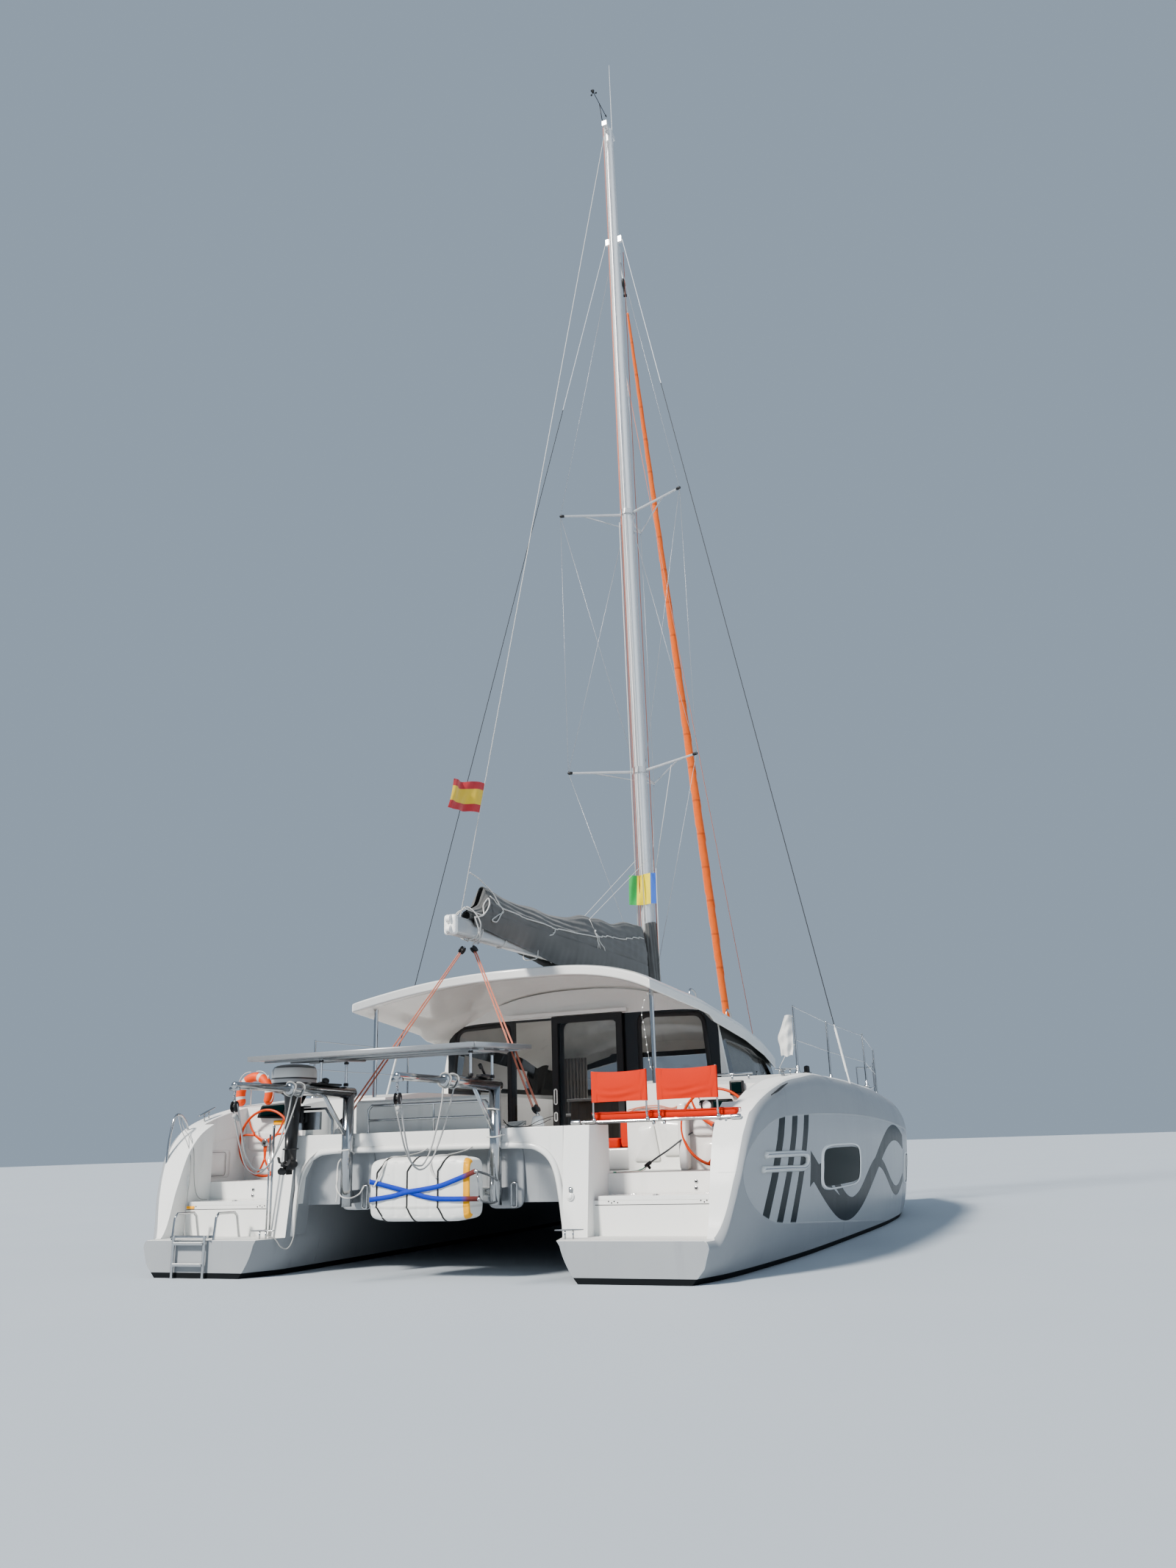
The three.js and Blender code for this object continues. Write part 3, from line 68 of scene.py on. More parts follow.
# Floor: a plain pale sheet at the waterline, under a plain soft sky with one broad lamp like a low sun.
# Its material opens the one class that every later finish is written with.
class Wire:
    """A socket of a node tree, on which Python's operators add Math nodes."""

    def __init__(self, finish, socket):
        self.finish = finish
        self.socket = socket

    def math(self, operation, *others):
        """The result of one Math node, with this socket as its first value."""
        made = self.finish.node("ShaderNodeMath", dict(operation=operation),
                                {i: value for i, value in enumerate((self, *others))})
        return Wire(self.finish, made.outputs[0])

    def __add__(self, other):
        return self.math("ADD", other)

    __radd__ = __add__

    def __mul__(self, other):
        return self.math("MULTIPLY", other)

    __rmul__ = __mul__

    def __sub__(self, other):
        return self.math("SUBTRACT", other)

    def __rsub__(self, other):
        return self.math("MULTIPLY", -1.0).math("ADD", other)

    def __truediv__(self, other):
        return self.math("DIVIDE", other)

    def __gt__(self, other):
        return self.math("GREATER_THAN", other)

    def __lt__(self, other):
        return self.math("LESS_THAN", other)

    def __abs__(self):
        return self.math("ABSOLUTE")

    def ramp(self, low, high):
        """0 below low and 1 above high, smoothly between."""
        made = self.finish.node("ShaderNodeMapRange", dict(interpolation_type="SMOOTHSTEP"),
                                {"Value": self, "From Min": low, "From Max": high})
        return Wire(self.finish, made.outputs["Result"])


class Finish:
    """One material: a Principled surface whose sockets take numbers, colours or wires."""

    def __init__(self, name):
        self.material = bpy.data.materials.new(name)
        self.material.use_nodes = True
        self.tree = self.material.node_tree
        self.tree.nodes.clear()
        coordinates = self.node("ShaderNodeTexCoord")
        self.place = Wire(self, coordinates.outputs["Object"])
        self.flat = Wire(self, coordinates.outputs["UV"])

    def node(self, kind, settings=None, values=None):
        """A new node, its settings, and a number, colour or wire for each named input."""
        made = self.tree.nodes.new(kind)
        for key, value in (settings or {}).items():
            setattr(made, key, value)
        for key, value in (values or {}).items():
            if isinstance(value, Wire):
                self.tree.links.new(value.socket, made.inputs[key])
            else:
                made.inputs[key].default_value = value
        return made

    def split(self, vector=None):
        """The three parts of a vector, of the object's place when none is named."""
        made = self.node("ShaderNodeSeparateXYZ", values={0: vector or self.place})
        return [Wire(self, made.outputs[i]) for i in range(3)]

    def stretch(self, scale):
        """The place multiplied by a scale for each axis."""
        made = self.node("ShaderNodeVectorMath", dict(operation="MULTIPLY"), {0: self.place, 1: scale})
        return Wire(self, made.outputs[0])

    def noise(self, scale, detail=3.0, vector=None):
        """Fractal noise at the object's place, unless another vector is given."""
        made = self.node("ShaderNodeTexNoise", values={
            "Vector": vector or self.place, "Scale": scale, "Detail": detail})
        return Wire(self, made.outputs["Fac"])

    def mix(self, share, first, second):
        """A colour between two colours."""
        made = self.node("ShaderNodeMix", dict(data_type="RGBA"), {0: share})
        for socket, value in ((made.inputs[6], first), (made.inputs[7], second)):
            if isinstance(value, Wire):
                self.tree.links.new(value.socket, socket)
            else:
                socket.default_value = (*value, 1.0)
        return Wire(self, made.outputs[2])

    def surface(self, colour, bump=None, depth=0.001, **sockets):
        """Joins colour, other sockets by name and a height in metres to the output."""
        values = {key.replace("_", " "): value for key, value in sockets.items()}
        if not isinstance(colour, Wire):
            colour = (*colour, 1.0)
        shader = self.node("ShaderNodeBsdfPrincipled", values={"Base Color": colour, **values})
        if bump is not None:
            raised = self.node("ShaderNodeBump", values={"Height": bump, "Distance": depth})
            self.tree.links.new(raised.outputs[0], shader.inputs["Normal"])
        self.node("ShaderNodeOutputMaterial", values={"Surface": Wire(self, shader.outputs[0])})
        return self.material


def finish_floor():
    """Pale matt floor with a very faint mottling."""
    pale = Finish("pale_floor")
    tone = pale.mix(pale.noise(0.35), (0.50, 0.55, 0.60), (0.54, 0.58, 0.62))
    return pale.surface(tone, Roughness=0.75)


def mesh_piece(name, points, faces, material, smooth=True):
    """A mesh object at the origin from an array of points and a list of faces."""
    body = bpy.data.meshes.new(name)
    body.from_pydata(np.asarray(points, float).reshape(-1, 3).tolist(), [], [list(f) for f in faces])
    body.polygons.foreach_set("use_smooth", [smooth] * len(body.polygons))
    body.materials.append(material)
    piece = bpy.data.objects.new(name, body)
    bpy.context.scene.collection.objects.link(piece)
    return piece


FLOOR_HALF = 260.0
floor = mesh_piece("floor", [(-FLOOR_HALF, -FLOOR_HALF, 0), (FLOOR_HALF, -FLOOR_HALF, 0),
                             (FLOOR_HALF, FLOOR_HALF, 0), (-FLOOR_HALF, FLOOR_HALF, 0)],
                   [(0, 1, 2, 3)], finish_floor(), smooth=False)

sky = bpy.data.worlds.new("soft_sky")
sky.use_nodes = True
SKY_TONE = (0.46, 0.56, 0.68, 1.0)
sky.node_tree.nodes["Background"].inputs["Color"].default_value = SKY_TONE
sky.node_tree.nodes["Background"].inputs["Strength"].default_value = 0.60
bpy.context.scene.world = sky
bpy.context.scene.view_settings.look = "AgX - Medium High Contrast"
LAMPS = [  # name, strength, width in degrees, heading and height of the lamp in degrees, colour
    ("key_lamp", 4.6, 9.0, -24.0, 40.0, (1.0, 0.96, 0.90)),
    ("fill_lamp", 0.5, 60.0, 70.0, 25.0, (0.85, 0.92, 1.0)),
]
for lamp_name, strength, width, heading, height, colour in LAMPS:
    lamp = bpy.data.lights.new(lamp_name, "SUN")
    lamp.energy = strength
    lamp.angle = np.radians(width)
    lamp.color = colour
    lit = bpy.data.objects.new(lamp_name, lamp)
    heading, height = np.radians([heading, height])
    towards = Vector((np.sin(heading) * np.cos(height), -np.cos(heading) * np.cos(height), np.sin(height)))
    lit.rotation_mode = "QUATERNION"
    lit.rotation_quaternion = towards.to_track_quat("Z", "Y")
    bpy.context.scene.collection.objects.link(lit)
ceiling_glow = bpy.data.lights.new("saloon_glow", "AREA")
ceiling_glow.size, ceiling_glow.energy = 1.6, 22.0
hung_light = bpy.data.objects.new("saloon_glow", ceiling_glow)
hung_light.location = (0, 6.0, 2.45)
bpy.context.scene.collection.objects.link(hung_light)


# Hulls: moulded glass-fibre shells with a broad white gunwale, stern steps, helm well and side deck.
# Each is one skin drawn round the section at every station, from the deck line to the keel line.
STATIONS = np.array([  # y, keel depth, inner and outer waterline x, inner and outer deck x, deck z, shoulder
    [0, .130, 1.740, 2.735, 1.552, 3.060, 1.760, .050],
    [.45, .200, 1.560, 2.860, 1.450, 3.160, 1.760, .060],
    [1.4, .320, 1.530, 2.980, 1.450, 3.250, 1.760, .090],
    [2.8, .440, 1.510, 3.090, 1.450, 3.290, 1.760, .120],
    [4.8, .500, 1.510, 3.150, 1.450, 3.330, 1.760, .200],
    [6.6, .500, 1.560, 3.180, 1.450, 3.345, 1.755, .340],
    [8.0, .470, 1.650, 3.140, 1.450, 3.330, 1.690, .380],
    [9.0, .430, 1.780, 3.030, 1.560, 3.240, 1.640, .360],
    [10.0, .380, 1.920, 2.830, 1.720, 3.030, 1.580, .280],
    [11.0, .320, 2.060, 2.550, 1.920, 2.700, 1.500, .180],
    [11.7, .240, 2.180, 2.330, 2.120, 2.440, 1.430, .080],
    [11.95, .060, 2.235, 2.265, 2.215, 2.290, 1.400, .020],
])
CREST = np.array([  # y, z of the gunwale's line at the stern
    [0, .34], [.15, .34], [.22, .42], [.34, .79], [.50, 1.16], [.70, 1.36], [1.0, 1.49],
    [1.42, 1.595], [1.8, 1.66], [2.33, 1.71], [2.9, 1.76], [3.3, 1.77], [12, 1.77],
])
FLARE_Z = np.array([0.0, .120, .360, .800, 1.150, 1.760])
FLARE_SHARE = np.array([0.0, .33, .56, .84, .97, 1.0])
PLATFORM, LID_REST, SOLE, BEAM_TOP, DECK_Z = .34, .6316, .85, 1.28, 1.76
STERN_END = 2.05
LEVELS = [  # x from and to, y from and to, height of the moulded surface there
    (1.70, 2.83, -1, .49, PLATFORM), (1.70, 2.83, .49, .855, LID_REST), (1.83, 2.69, .56, .80, .48),
    (1.70, 2.96, .855, 1.56, SOLE), (-1, 2.20, .90, STERN_END, SOLE)]


def eased(x, known):
    """Monotone cubic through a table's first two columns, worked out for a whole array."""
    xs, ys = known[:, 0], known[:, 1]
    width = np.diff(xs)
    rise = np.diff(ys) / width
    same = rise[:-1] * rise[1:] > 0
    inner = np.where(same, 2 * rise[:-1] * rise[1:] / np.where(same, rise[:-1] + rise[1:], 1), 0)
    slope = np.concatenate([[rise[0]], inner, [rise[-1]]])
    k = np.clip(np.searchsorted(xs, x, side="right") - 1, 0, len(width) - 1)
    t = np.clip((x - xs[k]) / width[k], 0, 1)
    return (ys[k] * (1 + 2 * t) * (1 - t) ** 2 + ys[k + 1] * t * t * (3 - 2 * t)
            + width[k] * (slope[k] * t * (1 - t) ** 2 - slope[k + 1] * t * t * (1 - t)))


def with_sides(lines, doubled):
    """Every line once and each doubled one twice: its place, and the side from which it is read."""
    place = np.sort(np.concatenate([lines, doubled, doubled]))
    aside = np.zeros(len(place))
    twin = np.isclose(place[1:], place[:-1])
    aside[:-1][twin] = -1
    aside[1:][twin] = 1
    return place, aside


def hull_height(x, y, top):
    """The height of the moulded top at a place in plan: platform, step, well, passage or deck."""
    ramp = PLATFORM + (BEAM_TOP - PLATFORM) * np.clip((y - .33) / .11, 0, 1)
    z = np.where((x < 1.70) & (y < .90), ramp, top)
    for x_from, x_to, y_from, y_to, level in LEVELS:
        z = np.where((x > x_from) & (x < x_to) & (y > y_from) & (y < y_to), level, z)
    return z


def hull_skin():
    """Points of the starboard hull as rings round the section, one for every line of y."""
    doubled = np.array([.49, .56, .80, .855, .90, 1.56, STERN_END])
    lines = np.concatenate([np.linspace(0, .48, 25), np.linspace(.52, 2.0, 38), np.linspace(2.1, 8, 60),
                            np.linspace(8.1, 11.95, 56), [.33, .44]])
    y, y_side = with_sides(np.unique(np.round(lines, 4)), doubled)
    keel, in_water, out_water, in_deck, out_deck, deck, rounding = [
        eased(y, STATIONS[:, [0, i]]) for i in range(1, 8)]
    crest = eased(y, CREST)
    top = np.minimum(crest, deck)
    shoulder_z = np.maximum(top - 1.3 * rounding, .25)

    def outer_x(z):
        """x of the flared topside at a height, between the waterline's and the deck's."""
        share = np.interp(z / (deck[:, None] / DECK_Z), FLARE_Z, FLARE_SHARE)
        return out_water[:, None] + (out_deck - out_water)[:, None] * share

    up = np.linspace(0, 1, 14)[None, :]
    rise = shoulder_z[:, None] * up
    outer = np.stack([outer_x(rise), rise], -1)
    turn = np.radians(np.linspace(0, 90, 10))[None, 1:]
    corner_x = outer_x(shoulder_z[:, None])
    roll = np.stack([corner_x - rounding[:, None] * (1 - np.cos(turn)),
                     shoulder_z[:, None] + (top - shoulder_z)[:, None] * np.sin(turn)], -1)
    edge = roll[:, -1, 0]

    bank_doubled = np.array([1.70, 1.83, 2.20, 2.69, 2.83, 2.96])
    bank, x_side = with_sides(np.array([1.50, 1.60, 1.765, 2.0, 2.4, 2.6, 3.0]), bank_doubled)
    even = in_deck[:, None] + (edge - in_deck)[:, None] * (bank - 1.45)[None, :] / 1.75
    held = np.clip(bank[None, :], in_deck[:, None] + .002, edge[:, None] - .002)
    change = np.clip((y - 2.1) / .6, 0, 1)[:, None]
    across = held + (even - held) * change
    across = np.concatenate([across, in_deck[:, None]], 1)
    x_side = np.concatenate([x_side, [0]])
    heights = hull_height(across + 1e-4 * x_side[None, :], (y + 1e-4 * y_side)[:, None] + 0 * across,
                          top[:, None] + 0 * across)
    order = np.concatenate([np.arange(len(bank))[::-1], [len(bank)]])
    cover = np.stack([across[:, order], heights[:, order]], -1)

    down = np.linspace(0, 1, 9)[None, 1:]
    inner_top = cover[:, -1, 1]
    fall = inner_top[:, None] * (1 - down)
    lean = np.clip(1 - fall / (.6 * deck[:, None] / DECK_Z), 0, 1) ** 2.8
    inner = np.stack([in_deck[:, None] + (in_water - in_deck)[:, None] * lean, fall], -1)
    angle = np.radians(np.linspace(0, 180, 25))[None, 1:-1]
    half, middle = (out_water - in_water) / 2, (out_water + in_water) / 2
    bottom = np.stack([middle[:, None] - half[:, None] * np.cos(angle),
                       -keel[:, None] * np.sin(angle) ** .75], -1)
    ring = np.concatenate([outer, roll, cover, inner, bottom], 1)
    return np.concatenate([ring[..., :1], np.broadcast_to(y[:, None, None], ring[..., :1].shape),
                           ring[..., 1:]], -1)


def tube_faces(rows, around, close_ends=True):
    """Quads between rings of equal count, each ring closed on itself, with an end face at each end."""
    i, j = np.meshgrid(np.arange(rows - 1), np.arange(around), indexing="ij")
    k = (j + 1) % around
    quads = np.stack([i * around + j, i * around + k, (i + 1) * around + k, (i + 1) * around + j], -1)
    faces = quads.reshape(-1, 4).tolist()
    if close_ends:
        faces.append(list(range(around))[::-1])
        faces.append([(rows - 1) * around + m for m in range(around)])
    return faces


def merged(piece, outward=True):
    """Merges doubled points, drops what has no area and turns the faces outward."""
    distance = 2e-4
    work = bmesh.new()
    work.from_mesh(piece.data)
    bmesh.ops.remove_doubles(work, verts=work.verts, dist=distance)
    bmesh.ops.dissolve_degenerate(work, edges=work.edges, dist=distance)
    if outward:
        bmesh.ops.recalc_face_normals(work, faces=work.faces)
    work.to_mesh(piece.data)
    work.free()
    piece.data.polygons.foreach_set("use_smooth", [True] * len(piece.data.polygons))
    return piece


def rounded(piece, width, segments=3, degrees=35.0):
    """A live bevel on every edge sharper than the angle, with even shading beside it."""
    soft = piece.modifiers.new("edges", "BEVEL")
    soft.width = width
    soft.segments = segments
    soft.limit_method = "ANGLE"
    soft.angle_limit = np.radians(degrees)
    soft.harden_normals = True
    soft.use_clamp_overlap = True
    return piece


SLATE = (.015, .023, .027)
WHITE_PAIR = ((.78, .78, .755), (.85, .85, .83))
GREY_PAIR = ((.315, .330, .345), (.375, .390, .405))


def gel_tones(gel, pair):
    """A gelcoat colour with faint clouding, and vertical streaks of salt and dust."""
    cloud = gel.noise(1.3, 4.0)
    dust = gel.noise(7.0, 5.0, gel.stretch((1.0, 1.0, .10)))
    tone = gel.mix(cloud, *pair)
    return gel.mix(dust.ramp(.58, .75) * .22, tone, tuple(.72 * part for part in pair[0])), dust


def finish_hull():
    """White above, pale grey topsides with a paler panel and its dark ribbons, boot line, antifouling."""
    gel = Finish("hull_gelcoat")
    x, y, z = gel.split()
    out = abs(x)
    nx, ny, nz = gel.split(Wire(gel, gel.node("ShaderNodeNewGeometry").outputs["Normal"]))
    white, dust = gel_tones(gel, WHITE_PAIR)
    grey, _ = gel_tones(gel, GREY_PAIR)
    tread = gel.mix((nz > .97) * (out < 2.99), white, (.66, .66, .64))
    outboard = nx * x
    side = ((outboard > .4) * (out > 2.0) * (nz < .80) * (y > .012) + (ny < -.9) * (z < .337)
            + (outboard < -.4) * (out < 1.95) * (z < 1.12)).math("MINIMUM", 1.0)
    low = .46 - .06 * y
    high = 1.35 - (y - 3.8) * (y - 3.8) * .0077
    taper = ((1.5 - y) / 1.1).math("MAXIMUM", 0.0)
    taper = (1 - (taper * taper).math("MINIMUM", 1.0)).math("SQRT")
    reach = (high - low) * .5 * taper - abs(z - (high + low) * .5)
    panel = reach.ramp(0.0, .012) * (out > 2.9) * (y < 7.95) * (outboard > .3)
    slant = y - z * .42
    bars = (abs((slant - .62).math("MODULO", .43) - .2) < .095) * (slant > .62) * (slant < 1.92)
    swell = abs(z - .74 - ((y * 1.05 + .35).math("SINE") * .40)) < (.13 - y * .004)
    ripple = abs(z - .60 - ((y * 2.1 + 1.9).math("SINE") * .20)) < .06
    ribbons = (swell + ripple) * (y > 2.35)
    motif = (bars + ribbons).math("MINIMUM", 1.0) * panel
    tone = gel.mix(side, tread, grey)
    tone = gel.mix(panel * .30, tone, (.60, .62, .63))
    tone = gel.mix(motif, tone, SLATE)
    wet = z < .05
    tone = gel.mix(wet, tone, (.016, .018, .020))
    skid = gel.noise(260.0, 1.0) * (nz > .97) * .5
    relief = gel.noise(1.1, 2.0) * .004 + skid * .0006 - reach.ramp(-.006, .012) * (out > 2.9) * .004
    return gel.surface(tone, bump=relief, depth=1.0, Roughness=wet * .3 + (nz > .97) * .30 + dust * .10 + .20,
                       IOR=1.20, Specular_IOR_Level=.25)


hull_finish = finish_hull()
skin = hull_skin()
SIDES = ((1, "starboard"), (-1, "port"))
for side, word in SIDES:
    piece = mesh_piece("hull_%s_skin" % word, skin * [side, 1, 1], tube_faces(*skin.shape[:2]), hull_finish)
    merged(piece)
    rounded(piece, .012)
    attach(piece, "root")
    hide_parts("hull_" + word)


def topside(y, z):
    """x of the hull's outer face at a place in the side view."""
    out_water, out_deck, deck = (eased(y, STATIONS[:, [0, i]]) for i in (3, 5, 6))
    return out_water + (out_deck - out_water) * np.interp(z / (deck / DECK_Z), FLARE_Z, FLARE_SHARE)


def grid_faces(rows, columns):
    """Quads of an open grid."""
    i, j = np.meshgrid(np.arange(rows - 1), np.arange(columns - 1), indexing="ij")
    corner = i * columns + j
    return np.stack([corner, corner + 1, corner + columns + 1, corner + columns], -1).reshape(-1, 4).tolist()


def gathered(name, parts, material):
    """One mesh object from several (points, faces) pairs."""
    points, faces, start = [], [], 0
    for some, theirs in parts:
        some = np.asarray(some, float).reshape(-1, 3)
        points.append(some)
        faces += [[n + start for n in face] for face in theirs]
        start += len(some)
    return mesh_piece(name, np.concatenate(points), faces, material)


def both_sides(part):
    """A part and its mirror image to port, with the faces turned back."""
    points, faces = part
    points = np.asarray(points, float).reshape(-1, 3)
    return [(points, faces), (points * [-1, 1, 1], [list(face)[::-1] for face in faces])]


def full_turn(count):
    """Even angles once round, the first at 0."""
    return np.linspace(0, 2 * np.pi, count, endpoint=False)


def oval(count, wide=1.0, high=1.0):
    """Points at even angles round an ellipse of two half widths."""
    turn = full_turn(count)
    return np.stack([wide * np.cos(turn), high * np.sin(turn)], 1)


def swept(path, radius, around=10, up=(0, 0, 1), profile=None, loop=False):
    """A profile carried along a path, square to it; round unless a profile of (aside, up) is given."""
    path = np.asarray(path, float)
    ahead_of = np.roll(path, -1, 0) if loop else np.concatenate([path[1:], path[-1:]])
    behind = np.roll(path, 1, 0) if loop else np.concatenate([path[:1], path[:-1]])
    run = ahead_of - behind
    run /= np.linalg.norm(run, axis=1, keepdims=True)
    aside = np.cross(run, np.broadcast_to(np.asarray(up, float), run.shape))
    aside /= np.maximum(np.linalg.norm(aside, axis=1, keepdims=True), 1e-9)
    over = np.cross(aside, run)
    profile = oval(around) if profile is None else np.asarray(profile)
    reach = np.broadcast_to(np.asarray(radius, float).reshape(-1, 1), (len(path), 1))[:, :, None]
    ring = (aside[:, None, :] * profile[None, :, :1] + over[:, None, :] * profile[None, :, 1:]) * reach
    points = path[:, None, :] + ring
    if loop:
        points = np.concatenate([points, points[:1]])
    return points, tube_faces(len(points), len(profile), close_ends=not loop)


def way_along(points):
    """The length from the first point of a line to each of its points."""
    return np.concatenate([[0], np.cumsum(np.linalg.norm(np.diff(points, axis=0), axis=1))])


def curve_through(points, count):
    """Evenly spaced places on a smooth curve through a few points."""
    points = np.asarray(points, float)
    way = way_along(points)
    even = np.linspace(0, way[-1], count)
    return np.stack([eased(even, np.stack([way, points[:, i]], 1)) for i in range(3)], 1)


# Hull windows: panes of tinted acrylic in a white rim, bonded over the topsides. Aft of them a long
# boarding handle of bent stainless tube stands on a white plate, screwed through the topside.
HULL_WINDOWS = [  # middle y and z, half length, half height
    (3.77, .81, .95, .19), (8.42, .66, .30, .17)]


def signed_power(value, power):
    """A power of the size of a value, under the value's own sign."""
    return np.sign(value) * np.abs(value) ** power


def oval_patch(centre_y, centre_z, half_y, half_z, lift, inner=0.0, rings=8):
    """A rounded rectangle in the side view, laid on the topsides: a superellipse grid from inner to 1."""
    around, power = 64, .42
    share = np.linspace(inner, 1, rings)[:, None]
    out_y, out_z = signed_power(oval(around), power).T
    at_y = centre_y + half_y * out_y[None, :] * share
    at_z = centre_z + half_z * out_z[None, :] * share
    return np.stack([topside(at_y, at_z) + lift, at_y, at_z], -1), tube_faces(rings, around, False)


def finish_acrylic():
    """Dark tinted acrylic with a little depth and a trace of salt haze."""
    pane = Finish("tinted_acrylic")
    haze = pane.noise(3.0, 4.0)
    tone = pane.mix(haze, (.003, .012, .013), (.006, .018, .019))
    return pane.surface(tone, Roughness=haze * .06 + .05, IOR=1.12, Specular_IOR_Level=.12)


def finish_gelcoat(name, pair=WHITE_PAIR):
    """Moulded gelcoat for deck and roof mouldings."""
    coat = Finish(name)
    tone, dust = gel_tones(coat, pair)
    relief = coat.noise(1.6, 2.0) * .003 + coat.noise(90.0, 1.0) * .00004
    return coat.surface(tone, bump=relief, depth=1.0, Roughness=dust * .10 + .16, Coat_Weight=.4,
                        Coat_Roughness=.07)


def fitted(name, parts, material, body="root", weld=True):
    """One piece of several parts that rides a body, with the parts' doubled points merged."""
    piece = gathered(name, parts, material)
    if weld:
        merged(piece)
    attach(piece, body)
    return piece


acrylic = finish_acrylic()
white_gel = finish_gelcoat("white_gelcoat")
grey_gel = finish_gelcoat("grey_gelcoat", GREY_PAIR)
panes, rims = [], []
for at_y, at_z, half_y, half_z in HULL_WINDOWS:
    panes += both_sides(oval_patch(at_y, at_z, half_y, half_z, .004))
    rim_points, rim_faces = oval_patch(at_y, at_z, half_y + .045, half_z + .045, 0.0, .90, 5)
    rim_points = rim_points + np.array([.007, .011, .011, .007, -.004])[:, None, None] * [1, 0, 0]
    rims += both_sides((rim_points, rim_faces))
for piece in (fitted("hull_window_panes", panes, acrylic, weld=False),
              fitted("hull_window_rims", rims, white_gel, weld=False)):
    merged(piece, outward=False)


def finish_steel():
    """Polished stainless tube: fine drawn lines, fingermarks and a trace of tea staining."""
    steel = Finish("polished_stainless")
    smear = steel.noise(14.0, 5.0)
    stain = steel.noise(5.0, 6.0).ramp(.66, .82)
    tone = steel.mix(stain * .35, (.50, .51, .52), (.30, .21, .14))
    return steel.surface(tone, Metallic=1.0, Roughness=smear * .18 + stain * .15 + .06)


def finish_plastic(name="black_plastic", tone=(.014, .014, .015), shine=.38):
    """Moulded plastic, black unless another tone is named, with a fine leathery grain."""
    dark = Finish(name)
    speckle = dark.noise(60.0, 4.0)
    mixed = dark.mix(speckle, tone, tuple(1.7 * part + .004 for part in tone))
    return dark.surface(mixed, bump=dark.noise(700.0, 2.0), depth=.0002, Roughness=speckle * .2 + shine)


steel = finish_steel()
black = finish_plastic()
HANDLE = [(.86, .975), (1.5, .972), (2.05, .965), (2.17, .945), (2.20, .90), (2.16, .855), (2.02, .832),
          (1.45, .845), (.80, .855)]
handle_line = curve_through([(0, at_y, at_z) for at_y, at_z in HANDLE], 60)
handle_parts, plate_parts = [], []
for radius, lift, parts in ((.016, .020, handle_parts), (.030, .004, plate_parts)):
    line = handle_line.copy()
    line[:, 0] = topside(line[:, 1], line[:, 2]) + lift
    parts += both_sides(swept(line, radius, 10, up=(1, 0, 0)))
fitted("boarding_handles", handle_parts, steel, weld=False)
fitted("handle_plates", plate_parts, white_gel, weld=False)


# Bridgedeck and aft beam: one moulding between the hulls, white above and grey in the tunnel.
# A rounded bead runs up from each platform and along under the beam, with a pad for each davit leg.
def finish_bridge():
    """White beam and floor, grey tunnel and nacelle, grit on what is trodden."""
    gel = Finish("bridgedeck_gelcoat")
    x, y, z = gel.split()
    nz = gel.split(Wire(gel, gel.node("ShaderNodeNewGeometry").outputs["Normal"]))[2]
    white, dust = gel_tones(gel, WHITE_PAIR)
    grey, _ = gel_tones(gel, GREY_PAIR)
    shaded = ((y > .50) * (z < 1.135) * (nz < .5) + (z < .64)).math("MINIMUM", 1.0)
    trodden = (nz > .97) * (z < 1.0)
    tone = gel.mix(shaded, gel.mix(trodden, white, (.64, .64, .62)), grey)
    return gel.surface(tone, bump=gel.noise(260.0, 1.0) * trodden, depth=.0006,
                       Roughness=trodden * .35 + dust * .1 + .16, Coat_Weight=.4, Coat_Roughness=.07)


def softened(name, material, width=0.0, degrees=32.0, *, slot_name):
    """A CAD node as it stands, with merged corners, softened edges and its curved faces shaded smooth."""
    piece = NODES[name]
    piece.data.materials.clear()
    piece.data.materials.append(material)
    piece.data.polygons.foreach_set("use_smooth", [True] * len(piece.data.polygons))
    weld = piece.modifiers.new("weld", "WELD")
    weld.merge_threshold = 2e-5
    if width:
        rounded(piece, width, 2, degrees)
    split = piece.modifiers.new("split", "EDGE_SPLIT")
    split.split_angle = np.radians(degrees)
    piece.modifiers.new("shade", "WEIGHTED_NORMAL").keep_sharp = True
    return piece


softened("bridgedeck", finish_bridge(), .010, slot_name="gelcoat")
ARCH = [(1.455, .345), (1.44, .50), (1.415, .70), (1.385, .86), (1.335, .98), (1.25, 1.065), (1.12, 1.115),
        (.9, 1.125), (0, 1.125)]
arch_half = curve_through([(x, .424, z) for x, z in ARCH], 60)
arch_line = np.concatenate([arch_half, (arch_half * [-1, 1, 1])[-2::-1]])
bead = swept(arch_line, 1.0, up=(0, -1, 0), profile=np.array([
    (-.030, -.004), (-.027, .010), (-.015, .020), (0, .024), (.015, .020), (.027, .010), (.030, -.004)]))
fitted("arch_bead", [bead], white_gel, weld=False)


def pillow(centre, half, power=.35, rows=18, around=40, flat_axis=1):
    """A rounded slab: a superellipse outline that domes over along one axis."""
    lift = np.linspace(0, np.pi, rows)[:, None]
    across, upward = (wave * np.sin(lift) ** .55 for wave in signed_power(oval(around), power).T)
    out = np.broadcast_to(signed_power(np.cos(lift), .6), across.shape)
    parts = [across * half[0], upward * half[1]]
    parts.insert(flat_axis, out * half[2])
    return np.stack(parts, -1) + np.asarray(centre), tube_faces(rows, around, False)


pads = [pillow((side * .80, .565, .86), (.19, .29, .03)) for side in (1, -1)]
fitted("davit_leg_pads", pads, grey_gel)
softened("aft_bench", white_gel, .018, slot_name="gelcoat")


